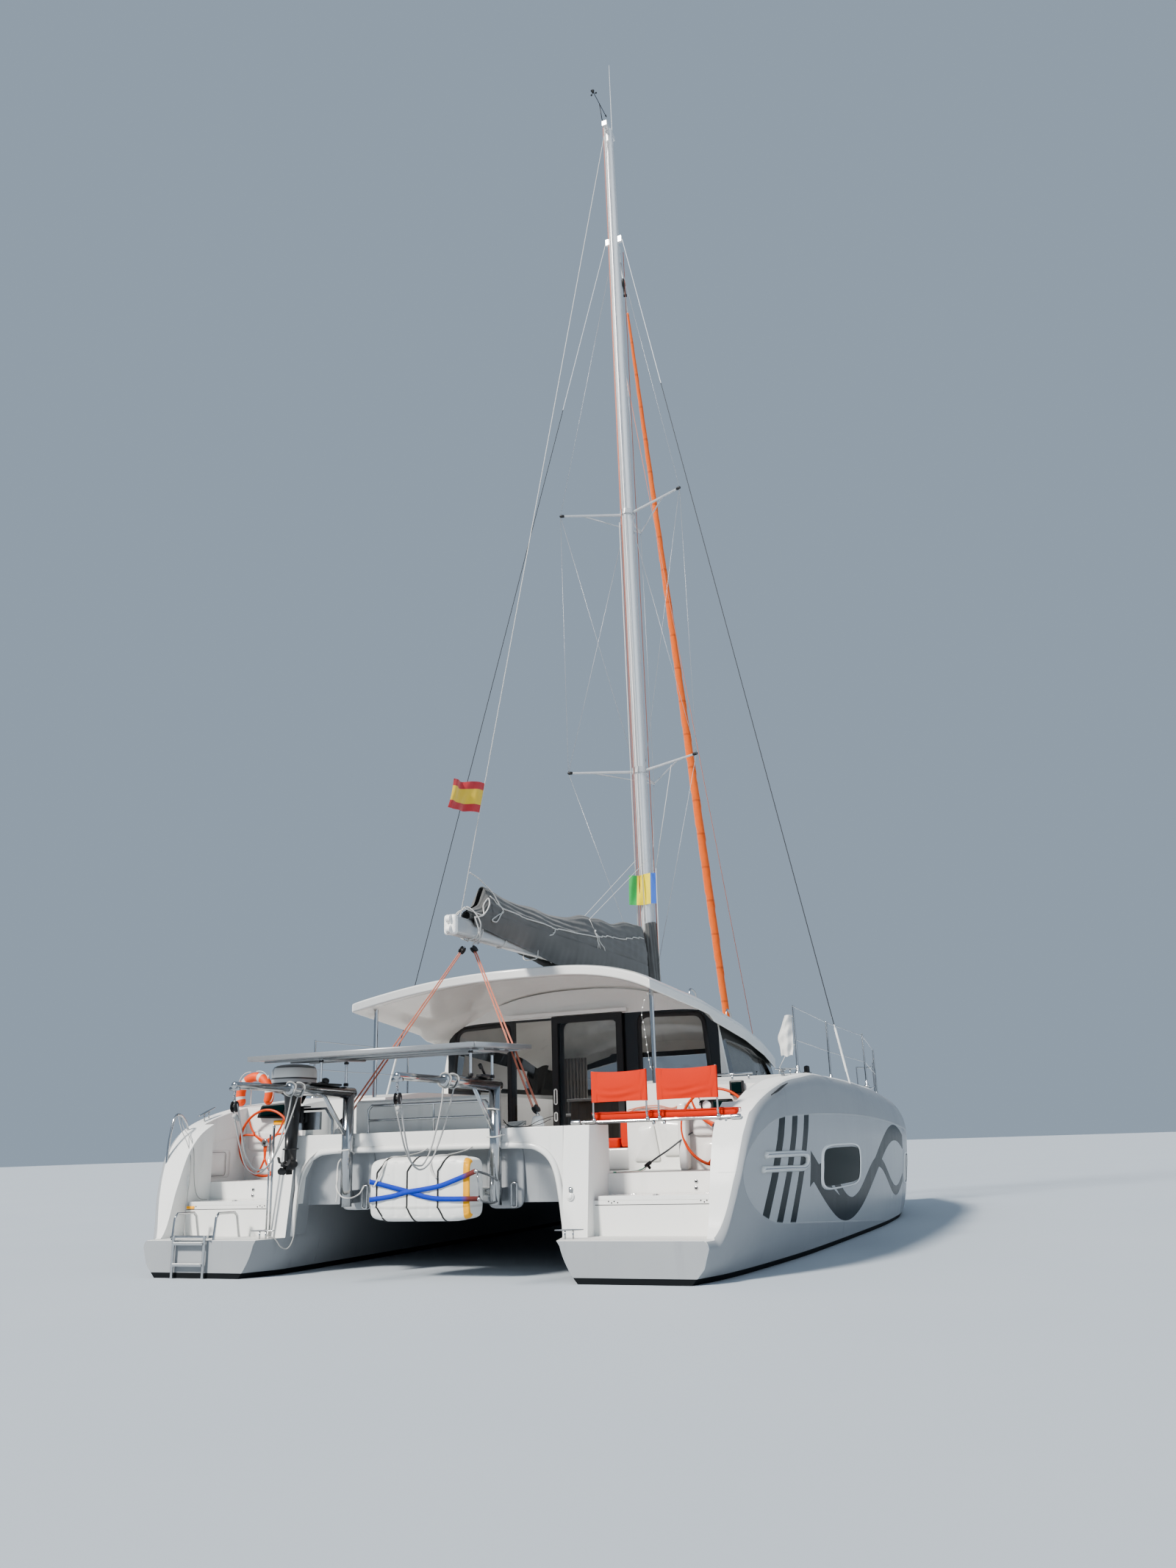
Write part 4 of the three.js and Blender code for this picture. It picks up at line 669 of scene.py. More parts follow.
# Hardtop: a crowned glass-fibre roof with a hollowed aft edge, a rolled lip and a moulded recess below.
# It is bonded to the deckhouse and stands on two steel posts aft; grab loops are bolted to its shoulders.
ROOF_ROWS = np.array([  # share of the length, half width, crown z, edge z
    [0, 1.820, 3.110, 2.760], [.3, 1.930, 3.090, 2.640], [.6, 1.960, 3.000, 2.470],
    [.8, 1.920, 2.880, 2.340], [1, 1.800, 2.640, 2.230]])


def roof_points(across, along, drop):
    """The roof's surface at shares of its half width and its length, lowered by a thickness."""
    bulge = np.abs(across) ** 2.4
    half, crown, edge = (np.interp(along, ROOF_ROWS[:, 0], ROOF_ROWS[:, i]) for i in (1, 2, 3))
    aft = 1.88 + .80 * (1 - across ** 2)
    front = 7.95 - .85 * bulge
    return np.stack([across * half, aft + (front - aft) * along, crown - (crown - edge) * bulge - drop], -1)


def closed_sheet(upper, lower):
    """A closed shell between two grids of equal size: one face up, one down, and quads round the border."""
    rows, columns = upper.shape[:2]
    layer = rows * columns
    faces = grid_faces(rows, columns)
    border = np.concatenate([np.arange(columns), np.arange(1, rows) * columns + columns - 1,
                             (rows - 1) * columns + np.arange(columns - 2, -1, -1),
                             np.arange(rows - 2, 0, -1) * columns])
    following = np.roll(border, -1)
    skirt = np.stack([border, border + layer, following + layer, following], 1).tolist()
    return np.stack([upper, lower]), faces + [[n + layer for n in face][::-1] for face in faces] + skirt


across, along = np.meshgrid(np.concatenate([[-1], np.linspace(-.97, .97, 59), [1]]),
                            np.concatenate([[0], np.linspace(.02, .98, 57), [1]]), indexing="xy")
from_edge = np.minimum(1 - np.abs(across), np.minimum(along, 1 - along) * 2.2)
crown_top = roof_points(across, along, .022 * np.exp(-from_edge / .012))
sink = .128 - .05 * np.clip((from_edge - .05) / .03, 0, 1) + .045 * np.clip((along - .33) / .03, 0, 1)
underside = roof_points(across, along, sink)
roof = rounded(fitted("hardtop_shell", [closed_sheet(crown_top, underside)], white_gel), .020)
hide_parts("hardtop")
GRAB_RAILS = [(.80, .36), (.84, .60)]
rails = []
for across_at, along_at in GRAB_RAILS:
    ends = roof_points(np.array([across_at] * 2), np.array([along_at, along_at + .05]), -.002)
    loop = np.array([ends[0], ends[0] + [0, .02, .06], ends[0] + [0, .06, .085], ends[1] + [0, -.06, .085],
                     ends[1] + [0, -.02, .06], ends[1]])
    rails += both_sides(swept(curve_through(loop, 24), .011, 8, up=(1, 0, 0)))
fitted("roof_grab_rails", rails, steel, weld=False)
for side_name in ("port", "starboard"):
    softened("roof_post_" + side_name, steel, slot_name="stainless")


# Deckhouse: glass-fibre sides and front with a gloss black band, bonded to the deck under the roof's edge.
# The panes are toughened glass, glued into the band.
PLAN = np.array([  # x and y on the base line, x and y under the roof
    [1.985, 4.2, 1.800, 4.2], [1.965, 5.6, 1.790, 5.6], [1.900, 6.9, 1.700, 6.6], [1.760, 7.6, 1.540, 7.05],
    [1.480, 8.08, 1.250, 7.35], [.900, 8.40, .750, 7.56], [0, 8.50, 0, 7.64]])
BAND_LOW, BAND_HIGH = 1.84, 2.44


def house_x(y, z):
    """x of the deckhouse's outer face at a place in the side view, on the ruled surface between two plans."""
    lift = ((z - 1.6) / 1.1)[..., None]
    at_x = PLAN[:, 0] + (PLAN[:, 2] - PLAN[:, 0]) * lift
    at_y = PLAN[:, 1] + (PLAN[:, 3] - PLAN[:, 1]) * lift
    k = np.clip((y[..., None] > at_y).sum(-1), 1, len(PLAN) - 1)[..., None]
    x0, x1, y0, y1 = [np.take_along_axis(table, k - step, -1)[..., 0]
                      for table in (at_x, at_y) for step in (1, 0)]
    return x0 + (x1 - x0) * (y - y0) / (y1 - y0)


def finish_house():
    """White gelcoat with a polished black band between two heights."""
    gel = Finish("deckhouse_gelcoat")
    x, y, z = gel.split()
    white, dust = gel_tones(gel, WHITE_PAIR)
    band = (z > BAND_LOW) * (z < BAND_HIGH)
    tone = gel.mix(band, white, gel.mix(dust, (.010, .011, .013), (.024, .026, .028)))
    return gel.surface(tone, bump=gel.noise(1.2, 2.0), depth=.003,
                       Roughness=dust * .10 + .16 - band * .10, Coat_Weight=.5, Coat_Roughness=.05)


house_finish = finish_house()
for name in ("house_side_port", "house_side_starboard", "house_front"):
    softened(name, house_finish, degrees=42.0, slot_name="gelcoat")


def finish_glass(name, dark):
    """Toughened glass with a grey tint and faint smears; part of the light passes straight through."""
    pane = Finish(name)
    smear = pane.noise(4.0, 5.0).ramp(.45, .75)
    tone = pane.mix(smear, (.015, .020, .022), (.050, .058, .060))
    return pane.surface(tone, Alpha=smear * .06 + dark, Roughness=smear * .07 + .02, Coat_Weight=1.0,
                        Coat_Roughness=.02)


side_glass_finish = finish_glass("side_glass", .34)
clear_glass = finish_glass("saloon_glass", .16)
for name in ("side_glass_port", "side_glass_starboard", "front_glass"):
    pane_finish = clear_glass if name == "front_glass" else side_glass_finish
    softened(name, pane_finish, degrees=42.0, slot_name="tinted_glass")
for name in ("aft_glass_port", "aft_glass_centre", "aft_glass_starboard", "door_glass"):
    softened(name, clear_glass, slot_name="tinted_glass")


# Aft bulkhead: a moulded wall with a black band round the windows, and a sliding door on two tracks.
# Every pane is held by a black gasket frame with rounded corners; the door's stile has two white pulls.
def finish_bulkhead():
    """White round a black rounded panel, which runs down to the floor beside the door."""
    gel = Finish("bulkhead_gelcoat")
    x, y, z = gel.split()
    white, dust = gel_tones(gel, WHITE_PAIR)
    corner = (abs(x) / 1.85).math("POWER", 9.0) + (abs(z - 1.87) / .795).math("POWER", 9.0)
    beside = (abs(x + .15) < .93) * (z < 2.0)
    dark = ((corner < 1.0) + beside).math("MINIMUM", 1.0)
    tone = gel.mix(dark, white, gel.mix(dust, (.008, .009, .010), (.020, .021, .023)))
    return gel.surface(tone, bump=gel.noise(1.2, 2.0), depth=.002, Roughness=dust * .12 + .24 - dark * .08,
                       Coat_Weight=.3, Coat_Roughness=.08)


softened("aft_bulkhead", finish_bulkhead(), .006, slot_name="black")


def offset_outline(corners, distance):
    """A closed outline moved outward by a distance: each corner goes along the sum of its edges' normals."""
    corners = np.asarray(corners, float)
    edge = np.roll(corners, -1, 0) - corners
    edge /= np.linalg.norm(edge, axis=1, keepdims=True)
    turn = np.sign(np.sum(corners[:, 0] * np.roll(corners[:, 1], -1)
                          - corners[:, 1] * np.roll(corners[:, 0], -1)))
    normal = np.stack([edge[:, 1], -edge[:, 0]], 1) * turn
    before = np.roll(normal, 1, 0)
    return corners + distance * (normal + before) / (1 + np.sum(normal * before, 1, keepdims=True))


def rounded_outline(corners, radius, steps=7):
    """A closed outline with every corner turned in a parabola, cut back by the radius along each edge."""
    corners = np.asarray(corners, float)
    before, after = np.roll(corners, 1, 0) - corners, np.roll(corners, -1, 0) - corners
    far, near = np.linalg.norm(before, axis=1), np.linalg.norm(after, axis=1)
    start = corners + before * np.minimum(radius / far, .46)[:, None]
    end = corners + after * np.minimum(radius / near, .46)[:, None]
    share = np.linspace(0, 1, steps)[None, :, None]
    arc = (start[:, None] * (1 - share) ** 2 + corners[:, None] * 2 * share * (1 - share)
           + end[:, None] * share ** 2)
    return arc.reshape(-1, 2)


def oblong(x_from, y_from, x_to, y_to):
    """The four corners of an upright rectangle, in turn."""
    return [(x_from, y_from), (x_to, y_from), (x_to, y_to), (x_from, y_to)]


def gasket(corners, radius, width, back, front):
    """A flat frame in an upright plane across the boat, from outside an opening's edge to inside it."""
    outer = rounded_outline(offset_outline(corners, width), radius + width)
    inner = rounded_outline(offset_outline(corners, -width * .8), radius)
    crest = (outer + inner) / 2
    rings = [np.insert(loop, 1, at, axis=1) for loop, at in (
        (outer, back), (outer, front + .004), (crest, front), (inner, front + .004), (inner, back))]
    return np.stack(rings + rings[:1]), tube_faces(6, len(outer), False)


PORT_PANE = [(-1.40, 1.15), (-.96, 1.15), (-.96, 2.62), (-1.70, 2.59), (-1.77, 1.85), (-1.40, 1.85)]
STARBOARD_PANE = [(.84, 1.15), (1.40, 1.15), (1.40, 1.85), (1.72, 1.85), (1.66, 2.59), (.84, 2.62)]
CENTRE_PANE = oblong(-.21, .90, .57, 2.62)
frames = [gasket(outline, .11, .030, 4.206, 4.190) for outline in (PORT_PANE, CENTRE_PANE, STARBOARD_PANE)]
fitted("pane_gaskets", frames, black)
softened("door_frame", black, .004, slot_name="black")
white_plastic = finish_plastic("white_plastic", (.70, .70, .68), .30)
pulls = []
for low, high in ((1.60, 1.78), (1.40, 1.50)):
    line = rounded_outline(oblong(-.305, low, -.270, high), .02)
    pulls.append(swept(np.insert(line, 1, 4.135, axis=1), .008, 8, up=(0, 1, 0), loop=True))
fitted("door_pulls", pulls, white_plastic, "door", weld=False)


# Saloon: what shows through the glass. Wooden sole, a galley block with its worktop and tap to port,
# a table, a moulded settee and gathered curtains.
def finish_wood():
    """Narrow boards with a darker seam between them and grain drawn out along the boat."""
    wood = Finish("walnut_boards")
    x, y, z = wood.split()
    board = (x / .12).math("FRACT")
    seam = 1 - (abs(board - .5) < .485)
    number = wood.node("ShaderNodeCombineXYZ", values={0: (x / .12).math("FLOOR"), 1: 0.0, 2: 0.0})
    shade = wood.noise(3.7, 0.0, Wire(wood, number.outputs[0]))
    grain = wood.noise(14.0, 6.0, wood.stretch((9.0, .6, 3.0)))
    tone = wood.mix(grain, (.20, .115, .062), (.34, .215, .125))
    tone = wood.mix(shade * .5, tone, (.15, .085, .045))
    tone = wood.mix(seam, tone, (.03, .02, .015))
    return wood.surface(tone, bump=grain * .3 - seam, depth=.0008, Roughness=grain * .15 + .35)


wood = finish_wood()


def stacked(rings):
    """A closed body through a pile of rings of equal count."""
    return np.stack(rings), tube_faces(len(rings), len(rings[0]))


def slab_piece(low, high, radius, layers=((0, 1), (1, 1)), draw_in=.1):
    """An upright block with rounded corners: its outline, drawn in by a size, at shares of its height."""
    corners = oblong(*low[:2], *high[:2])
    rings = []
    for share, size in layers:
        outline = rounded_outline(offset_outline(corners, (size - 1) * draw_in), radius)
        rings.append(np.insert(outline, 2, low[2] + (high[2] - low[2]) * share, axis=1))
    return stacked(rings)


SOFT_LAYERS = ((0, .9), (.04, .98), (.12, 1), (.88, 1), (.96, .98), (1, .9))
JOINERY = [slab_piece((-1.42, 4.30, .852), (1.42, 7.80, .860), .05),
           slab_piece((-.62, 5.30, .862), (.20, 6.10, 1.66), .08, SOFT_LAYERS),
           slab_piece((-1.40, 4.42, .862), (-1.02, 5.10, 1.30), .04, SOFT_LAYERS),
           slab_piece((.55, 4.55, .862), (1.40, 6.60, 1.22), .12, SOFT_LAYERS)]
fitted("saloon_joinery", JOINERY, wood)
WORKTOPS = [slab_piece((-.66, 5.26, 1.662), (.24, 6.14, 1.70), .09, SOFT_LAYERS),
            slab_piece((-1.41, 4.40, 1.302), (-1.00, 5.12, 1.335), .05, SOFT_LAYERS),
            slab_piece((-1.2, 6.3, 1.50), (-.3, 7.2, 1.54), .12, SOFT_LAYERS),
            slab_piece((-.80, 6.70, .862), (-.70, 6.80, 1.50), .05)]
fitted("saloon_worktops", WORKTOPS, white_plastic)
tap_line = curve_through([(-.10, 5.9, 1.70), (-.10, 5.9, 1.92), (-.10, 5.84, 2.02), (-.10, 5.72, 2.03),
                          (-.10, 5.66, 1.97)], 24)
fitted("galley_tap", [swept(tap_line, .012, 10, up=(1, 0, 0))], steel, weld=False)


def finish_weave(name, dark, pale, scale=900.0, sheen=.25, depth=.0004):
    """Plain woven cloth: two sets of threads crossing, with clouding where it has faded and rubbed."""
    cloth = Finish(name)
    x, y, z = cloth.split()
    over = ((x + y * .31) * scale).math("SINE") * ((z + y * .83) * scale).math("SINE")
    faded = cloth.noise(2.2, 4.0)
    fine = cloth.noise(120.0, 3.0)
    tone = cloth.mix(faded, dark, pale)
    tone = cloth.mix(fine * .16, tone, tuple(.6 * part for part in dark))
    return cloth.surface(tone, bump=over * .5 + fine, depth=depth, Roughness=faded * .1 + .74,
                         Sheen_Weight=sheen, Sheen_Roughness=.5)


curtain_cloth = finish_weave("curtain_cloth", (.16, .14, .125), (.23, .205, .185))
CURTAIN_FOLDS, CURTAIN_DEPTH, CURTAIN_HIGH, CURTAIN_LOW = 9, .028, 2.34, .93
for name, left, right in (("curtain_port", -1.40, -.95), ("curtain_starboard", .98, 1.38)):
    across, down = np.meshgrid(np.linspace(0, 1, 200), np.linspace(0, 1, 40))
    wave = np.sin(across * CURTAIN_FOLDS * 2 * np.pi + .6 * np.sin(down * 3.1 + across * 5))
    swing = CURTAIN_DEPTH * (.45 + .55 * down) * wave
    middle = 6.75 if right < 0 else 6.85
    points = np.stack([left + (right - left) * across + .006 * np.cos(across * 57), middle + swing,
                       CURTAIN_HIGH + (CURTAIN_LOW - CURTAIN_HIGH) * down], -1)
    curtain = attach(mesh_piece(name, points, grid_faces(40, 200), curtain_cloth), "root")
blind_cloth = finish_weave("blind_cloth", (.60, .60, .58), (.72, .72, .70))
for name, flip in (("blind_starboard", 1), ("blind_port", -1)):
    along, down = np.meshgrid(np.linspace(4.52, 6.36, 120), np.linspace(0, 1, 24))
    top = 2.30 - (along - 4.5) * .075
    height = top + (1.90 - top) * down
    pleat = .008 * np.abs(((down * 11) % 1) - .5)
    points = np.stack([(house_x(along, height) - .085 - pleat) * flip, along, height], -1)
    blind = mesh_piece(name, points, grid_faces(24, 120), blind_cloth)
    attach(blind, "root")


# Mast: an anodised oval tube with a sail track up its aft face, a collar at the roof, and at its head
# the crane, a whip aerial, a wind sensor and a light. Spreader tips are black; the wires are stainless.
def finish_aluminium(name, tone=(.62, .63, .64), shine=.30):
    """Anodised or painted aluminium: long drawn streaks and a few dull patches."""
    metal = Finish(name)
    drawn = metal.noise(30.0, 3.0, metal.stretch((1.0, 1.0, .02)))
    patch = metal.noise(1.7, 4.0)
    mixed = metal.mix(drawn, tuple(.92 * part for part in tone), tone)
    return metal.surface(metal.mix(patch * .2, mixed, tuple(.8 * part for part in tone)), Metallic=.55,
                         Roughness=patch * .12 + shine)


spar = finish_aluminium("anodised_spar", (.88, .88, .87), .30)
alloy = finish_aluminium("drawn_alloy")
softened("mast", spar, degrees=40.0, slot_name="aluminium")
for name in ("spreaders_lower", "spreaders_upper"):
    softened(name, alloy, degrees=40.0, slot_name="aluminium")


def mast_y(z):
    """y of the mast's centre line, which leans aft, at a height."""
    return 7.05 - .19 * (np.asarray(z, float) - 2.8) / 16.5


def spun(profile, start, end, around=24):
    """A turned body: a radius at each share of the way between two points, carried round the line."""
    start, end = np.asarray(start, float), np.asarray(end, float)
    share, radius = np.asarray(profile, float).T
    run = (end - start) / np.linalg.norm(end - start)
    aside = np.cross(run, (0, 0, 1) if abs(run[2]) < .9 else (1, 0, 0))
    aside /= np.linalg.norm(aside)
    turn = full_turn(around)[:, None]
    spoke = np.cos(turn) * aside + np.sin(turn) * np.cross(run, aside)
    return stacked(start + share[:, None, None] * (end - start) + radius[:, None, None] * spoke[None])


def bar(start, end, radius, around=10):
    """A straight round bar."""
    return spun([(0, radius), (1, radius)], start, end, around)


def domed(start, end, radius, around=32, ends=(True, True)):
    """A straight round bar whose ends are turned to domes."""
    long = float(np.linalg.norm(np.asarray(end, float) - np.asarray(start, float)))
    turn = np.radians(np.linspace(4, 90, 9))
    cap = [(0, radius * .05)] + [(radius * .6 * (1 - np.cos(a)) / long, radius * np.sin(a)) for a in turn]
    profile = (cap if ends[0] else [(0, radius)])
    profile += [(1 - share, size) for share, size in cap[::-1]] if ends[1] else [(1, radius)]
    return spun(profile, start, end, around)


track_z = np.linspace(3.9, 19.0, 60)
track_line = np.stack([0 * track_z, mast_y(track_z) - .125 * np.clip(1 - (track_z - 15.2) / 17, .7, 1),
                       track_z], -1)
track = swept(track_line, 1.0, up=(1, 0, 0), profile=np.array([
    (-.006, -.012), (.008, -.012), (.008, -.005), (.003, -.005), (.003, .005), (.008, .005), (.008, .012),
    (-.006, .012)]))
fitted("sail_track", [track], alloy)
COLLAR_Z, MAST_HALF = 3.0, (.102, .128)
COLLAR = [(1.30, 0), (1.28, .05), (1.12, .09), (1.05, .16), (1.0, .165)]
collar = [np.insert(oval(48, *MAST_HALF) * size, 2, COLLAR_Z + lift, axis=1) + [0, mast_y(2.95), 0]
          for size, lift in COLLAR]
fitted("mast_collar", [stacked(collar)], black)
HEAD_Y = float(mast_y(19.3))
VANE_Y = HEAD_Y - .60
fittings = [spun([(0, .05), (.08, .06), (.2, .062), (.8, .055), (.95, .04), (1, .012)],
                 (-.03, HEAD_Y + .13, 19.34), (-.03, HEAD_Y + .13, 19.48)),
            spun([(0, .05), (.1, .055), (.85, .055), (1, .03)], (0, 6.99, 9.35), (0, 6.99, 9.52)),
            bar((-.04, HEAD_Y - .2, 19.33), (-.06, HEAD_Y - .28, 19.72), .007),
            bar((-.06, HEAD_Y - .56, 19.70), (-.06, HEAD_Y + .02, 19.74), .006),
            spun([(0, .004), (.3, .022), (.7, .028), (1, .004)], (-.06, VANE_Y, 19.64),
                 (-.06, VANE_Y, 19.74)),
            spun([(0, .004), (.4, .014), (1, .003)], (-.06, HEAD_Y + .01, 19.74),
                 (-.06, HEAD_Y + .09, 19.75))]
for angle in (0.4, 2.5, 4.6):
    cup = np.array([-.06 + .055 * np.cos(angle), VANE_Y + .055 * np.sin(angle), 19.66])
    half_cup = np.array([0, .012, 0])
    fittings.append(spun([(0, .004), (.35, .016), (.8, .019), (1, .012)], cup - half_cup, cup + half_cup, 12))
    fittings.append(bar((-.06, VANE_Y, 19.66), cup, .003, 6))
for z in (6.73, 11.27):
    for side in (1, -1):
        tip = np.array([side * 1.07, float(mast_y(z - .02)) - .40, z])
        fittings.append(spun([(0, .020), (.3, .026), (.8, .024), (1, .010)], tip - [side * .07, -.026, .001],
                             tip + [side * .006, -.002, 0], 14))
fitted("mast_fittings", fittings, black)


# Wires of the mast: stainless diamonds that run over the spreaders' tips and the jumper struts, and
# braided halyards beside the mast. All are taut and made fast at both ends.
def finish_line(name, dark, pale, twist=0.0):
    """Braided rope, or bare wire where the twist is 0: short slanting strands with some grime."""
    rope = Finish(name)
    x, y, z = rope.split()
    strand = ((z * 1.7 + x * 1.1 + y * .9) * (twist or 400.0)).math("SINE") * .5 + .5
    grime = rope.noise(6.0, 4.0)
    tone = rope.mix(strand, dark, pale)
    tone = rope.mix(grime * .3, tone, tuple(.55 * part for part in dark))
    return rope.surface(tone, bump=strand, depth=.0006, Roughness=grime * .2 + (.7 if twist else .3),
                        Metallic=0.0 if twist else .8)


wire = finish_line("stainless_wire", (.45, .46, .47), (.70, .71, .72))
white_rope = finish_line("white_braid", (.62, .61, .58), (.80, .79, .76), 700.0)
coral_rope = finish_line("coral_braid", (.55, .16, .10), (.80, .36, .26), 700.0)
dark_rope = finish_line("black_braid", (.012, .012, .013), (.035, .035, .037), 700.0)


def taut(points, radius=.0035, around=6):
    """A thin line straight from point to point."""
    return [bar(a, b, radius, around) for a, b in zip(points[:-1], points[1:])]


def tip_at(side, z):
    """The end of a spreader at a height."""
    return (side * 1.06, float(mast_y(z)) - .40, z + .02)


def face_at(side, z):
    """A place on the side of the mast at a height."""
    return (side * .10, float(mast_y(z)), z)


diamonds, stays = [], []
for side in (1, -1):
    diamonds += taut([face_at(side, 16.3), tip_at(side, 11.25), tip_at(side, 6.71), face_at(side, 3.5)])
    diamonds += taut([tip_at(side, 11.25), face_at(side, 6.85)])
    diamonds += taut([tip_at(side, 6.71), face_at(side, 10.9)])
jumper = [(0, float(mast_y(z)) + .64, z - .03) for z in (11.25, 6.71)]
stays += taut([(0, float(mast_y(15.9)) + .12, 15.9), jumper[0], jumper[1],
               (0, float(mast_y(3.6)) + .12, 3.6)])
fitted("diamond_wires", diamonds + stays, wire, weld=False)
HALYARDS = [  # name, rope, radius, the ends of each line
    ("coral_halyards", coral_rope, .006, [
        [(-.05, HEAD_Y - .16, 19.26), (-.05, float(mast_y(3.3)) - .15, 3.3)],
        [(-.11, float(mast_y(16.7)), 16.7), (-.12, float(mast_y(3.4)) - .04, 3.4)],
        [(.13, float(mast_y(16.6)) + .1, 16.6), (.13, float(mast_y(3.4)) + .05, 3.4)]]),
    ("white_halyards", white_rope, .006, [
        [(-.02, HEAD_Y - .19, 19.26), (.02, float(mast_y(4.3)) - .17, 4.3)],
        [(-.13, float(mast_y(11.1)) - .06, 11.1), (-.13, float(mast_y(3.4)) - .08, 3.4)]]),
]
for name, material, radius, lines in HALYARDS:
    fitted(name, [part for line in lines for part in taut(line, radius)], material, weld=False)


# Boom: a painted rounded box with a cast white cap at its aft end, under the stowed mainsail's bag.
# The bag is stiff acrylic cloth laced along the boom: it sags between its battens and lazy jacks.
boom_paint = finish_aluminium("boom_paint", (.66, .67, .67), .34)
softened("boom", boom_paint, .006, degrees=50.0, slot_name="aluminium")
BOOM_AFT, BOOM_FORE = np.array([0, .95, 3.335]), np.array([0, 6.78, 3.425])
cap_parts = [pillow((0, .945, 3.335), (.072, .106, .040), .30, 14, 36, 1)]
for height in (.055, -.055):
    cap_parts.append(spun([(0, .040), (.15, .046), (.5, .034), (.85, .046), (1, .040)],
                          (-.024, .905, 3.335 + height), (.024, .905, 3.335 + height), 20))
fitted("boom_end_cap", cap_parts, white_plastic, "boom_and_bag")
eyes = []
for share, drop in ((.06, .115), (.10, .115), (.43, .11), (.78, .105)):
    at = BOOM_AFT + (BOOM_FORE - BOOM_AFT) * share
    bend = np.linspace(0, np.pi, 12)
    loop = np.stack([0 * bend, at[1] + .028 * np.cos(bend), at[2] - drop + .022 - .036 * np.sin(bend)], -1)
    eyes.append(swept(loop, .006, 8, up=(1, 0, 0)))
fitted("boom_eyes", eyes, steel, "boom_and_bag", weld=False)


def bag_floor(y):
    """Height of the bag's bottom, which rises forward with the boom."""
    return 3.440 + (y - .95) * .0144


BAG = np.array([  # y, width low down, width at the top, top z
    [1.26, .100, .050, 3.560], [1.36, .170, .060, 3.600], [1.48, .220, .070, 3.650],
    [1.58, .262, .080, 3.800], [1.63, .275, .080, 3.868], [2.2, .318, .100, 3.853],
    [2.9, .334, .104, 3.843], [3.7, .338, .108, 3.898], [4.4, .338, .108, 3.998],
    [5.5, .318, .098, 4.083], [6.50, .248, .088, 4.225], [6.70, .19, .07, 4.236],
    [6.775, .12, .04, 4.200]])
BATTENS = np.array([1.64, 2.9, 4.45, 5.0, 5.95])
along = np.unique(np.concatenate([np.linspace(1.26, 1.8, 40), np.linspace(1.8, 6.6, 190),
                                  np.linspace(6.6, 6.775, 14)]))
low, high, top = (eased(along, BAG[:, [0, i]])[:, None] for i in (1, 2, 3))
PROFILE = np.array([  # share of the low width, share of the top width, share of the height
    [.15, 0, 0], [.36, 0, .05], [.47, 0, .12], [.50, 0, .24], [.49, 0, .38], [.44, 0, .52], [.30, .15, .66],
    [.16, .28, .80], [.05, .40, .90], [0, .36, .955], [0, .20, .99], [0, 0, 1]])
half_turn = np.linspace(0, len(PROFILE) - 1, 42)
steps = np.arange(len(PROFILE), dtype=float)
share_low, share_high, share_up = (eased(half_turn, np.stack([steps, PROFILE[:, i]], 1))[None]
                                   for i in range(3))
base = bag_floor(along)[:, None]
half_x = low * share_low + high * share_high
near = np.min(np.abs(along[:, None] - BATTENS[None]), axis=1)[:, None]
slack = np.sin(np.clip(near / .5, 0, 1) * np.pi / 2) ** 2
fold = (np.sin(along[:, None] * 9.0 + 3.0 * share_up) * .35
        + np.sin(along[:, None] * 23.0 - 5.0 * share_up) * .2)
height = base + (top - base) * share_up - slack * .035 * share_up ** 3
half_x = half_x * (1 - .10 * slack * (share_up > .5)) + .010 * fold * np.sin(np.pi * np.clip(share_up, 0, 1))
drape = .006 * np.sin(31 * share_up + 7 * along[:, None]) * np.sin(np.pi * share_up)
half_x = np.maximum(half_x + drape * (share_low + share_high > .05), 0) * (share_up < 1)
ring_x = np.concatenate([half_x, -(half_x * (1 + .04 * fold))[:, -2::-1]], 1)
ring_z = np.concatenate([height, height[:, -2::-1]], 1)
ring = np.stack([ring_x, np.broadcast_to(along[:, None], ring_x.shape), ring_z], -1)


def finish_canvas():
    """Charcoal acrylic canvas: fine weave, salt bloom along the folds, a seam every metre or so."""
    cloth = Finish("charcoal_canvas")
    x, y, z = cloth.split()
    weave = ((y + z * .7) * 1500.0).math("SINE") * ((x + z * 1.1) * 1500.0).math("SINE")
    bloom = cloth.noise(3.0, 5.0, cloth.stretch((1.0, .6, 1.6)))
    seam = 1 - (abs((y / .98).math("FRACT") - .5) < .496)
    stitch = ((z + x) * 700.0).math("SINE") * seam
    tone = cloth.mix(bloom, (.095, .095, .092), (.185, .184, .178))
    tone = cloth.mix(seam * .5, tone, (.06, .06, .058))
    return cloth.surface(tone, bump=weave * .25 + stitch + bloom * .5, depth=.0006,
                         Roughness=bloom * .1 + .80, Sheen_Weight=.2)


canvas = finish_canvas()
MOUTH_Y = 1.62
mouth_row = int(np.searchsorted(along, MOUTH_Y))
body_rings = ring[mouth_row:]
mouth_middle = body_rings[0].mean(0)
recess = [mouth_middle + (body_rings[0] - mouth_middle) * size + [0, deep, 0]
          for size, deep in ((.80, .30), (.93, .03))]
bag = fitted("sail_bag_cover", [stacked(np.concatenate([recess, body_rings]))], canvas,
             "boom_and_bag")
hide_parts("sail_bag")


def bag_surface(y, side, up):
    """A place on the bag's skin, a little proud of it."""
    row = int(np.argmin(np.abs(along - y)))
    column = int(np.argmin(np.abs(share_up[0] - up)))
    place = ring[row, column].copy()
    place[0] = side * (place[0] + .006)
    return place


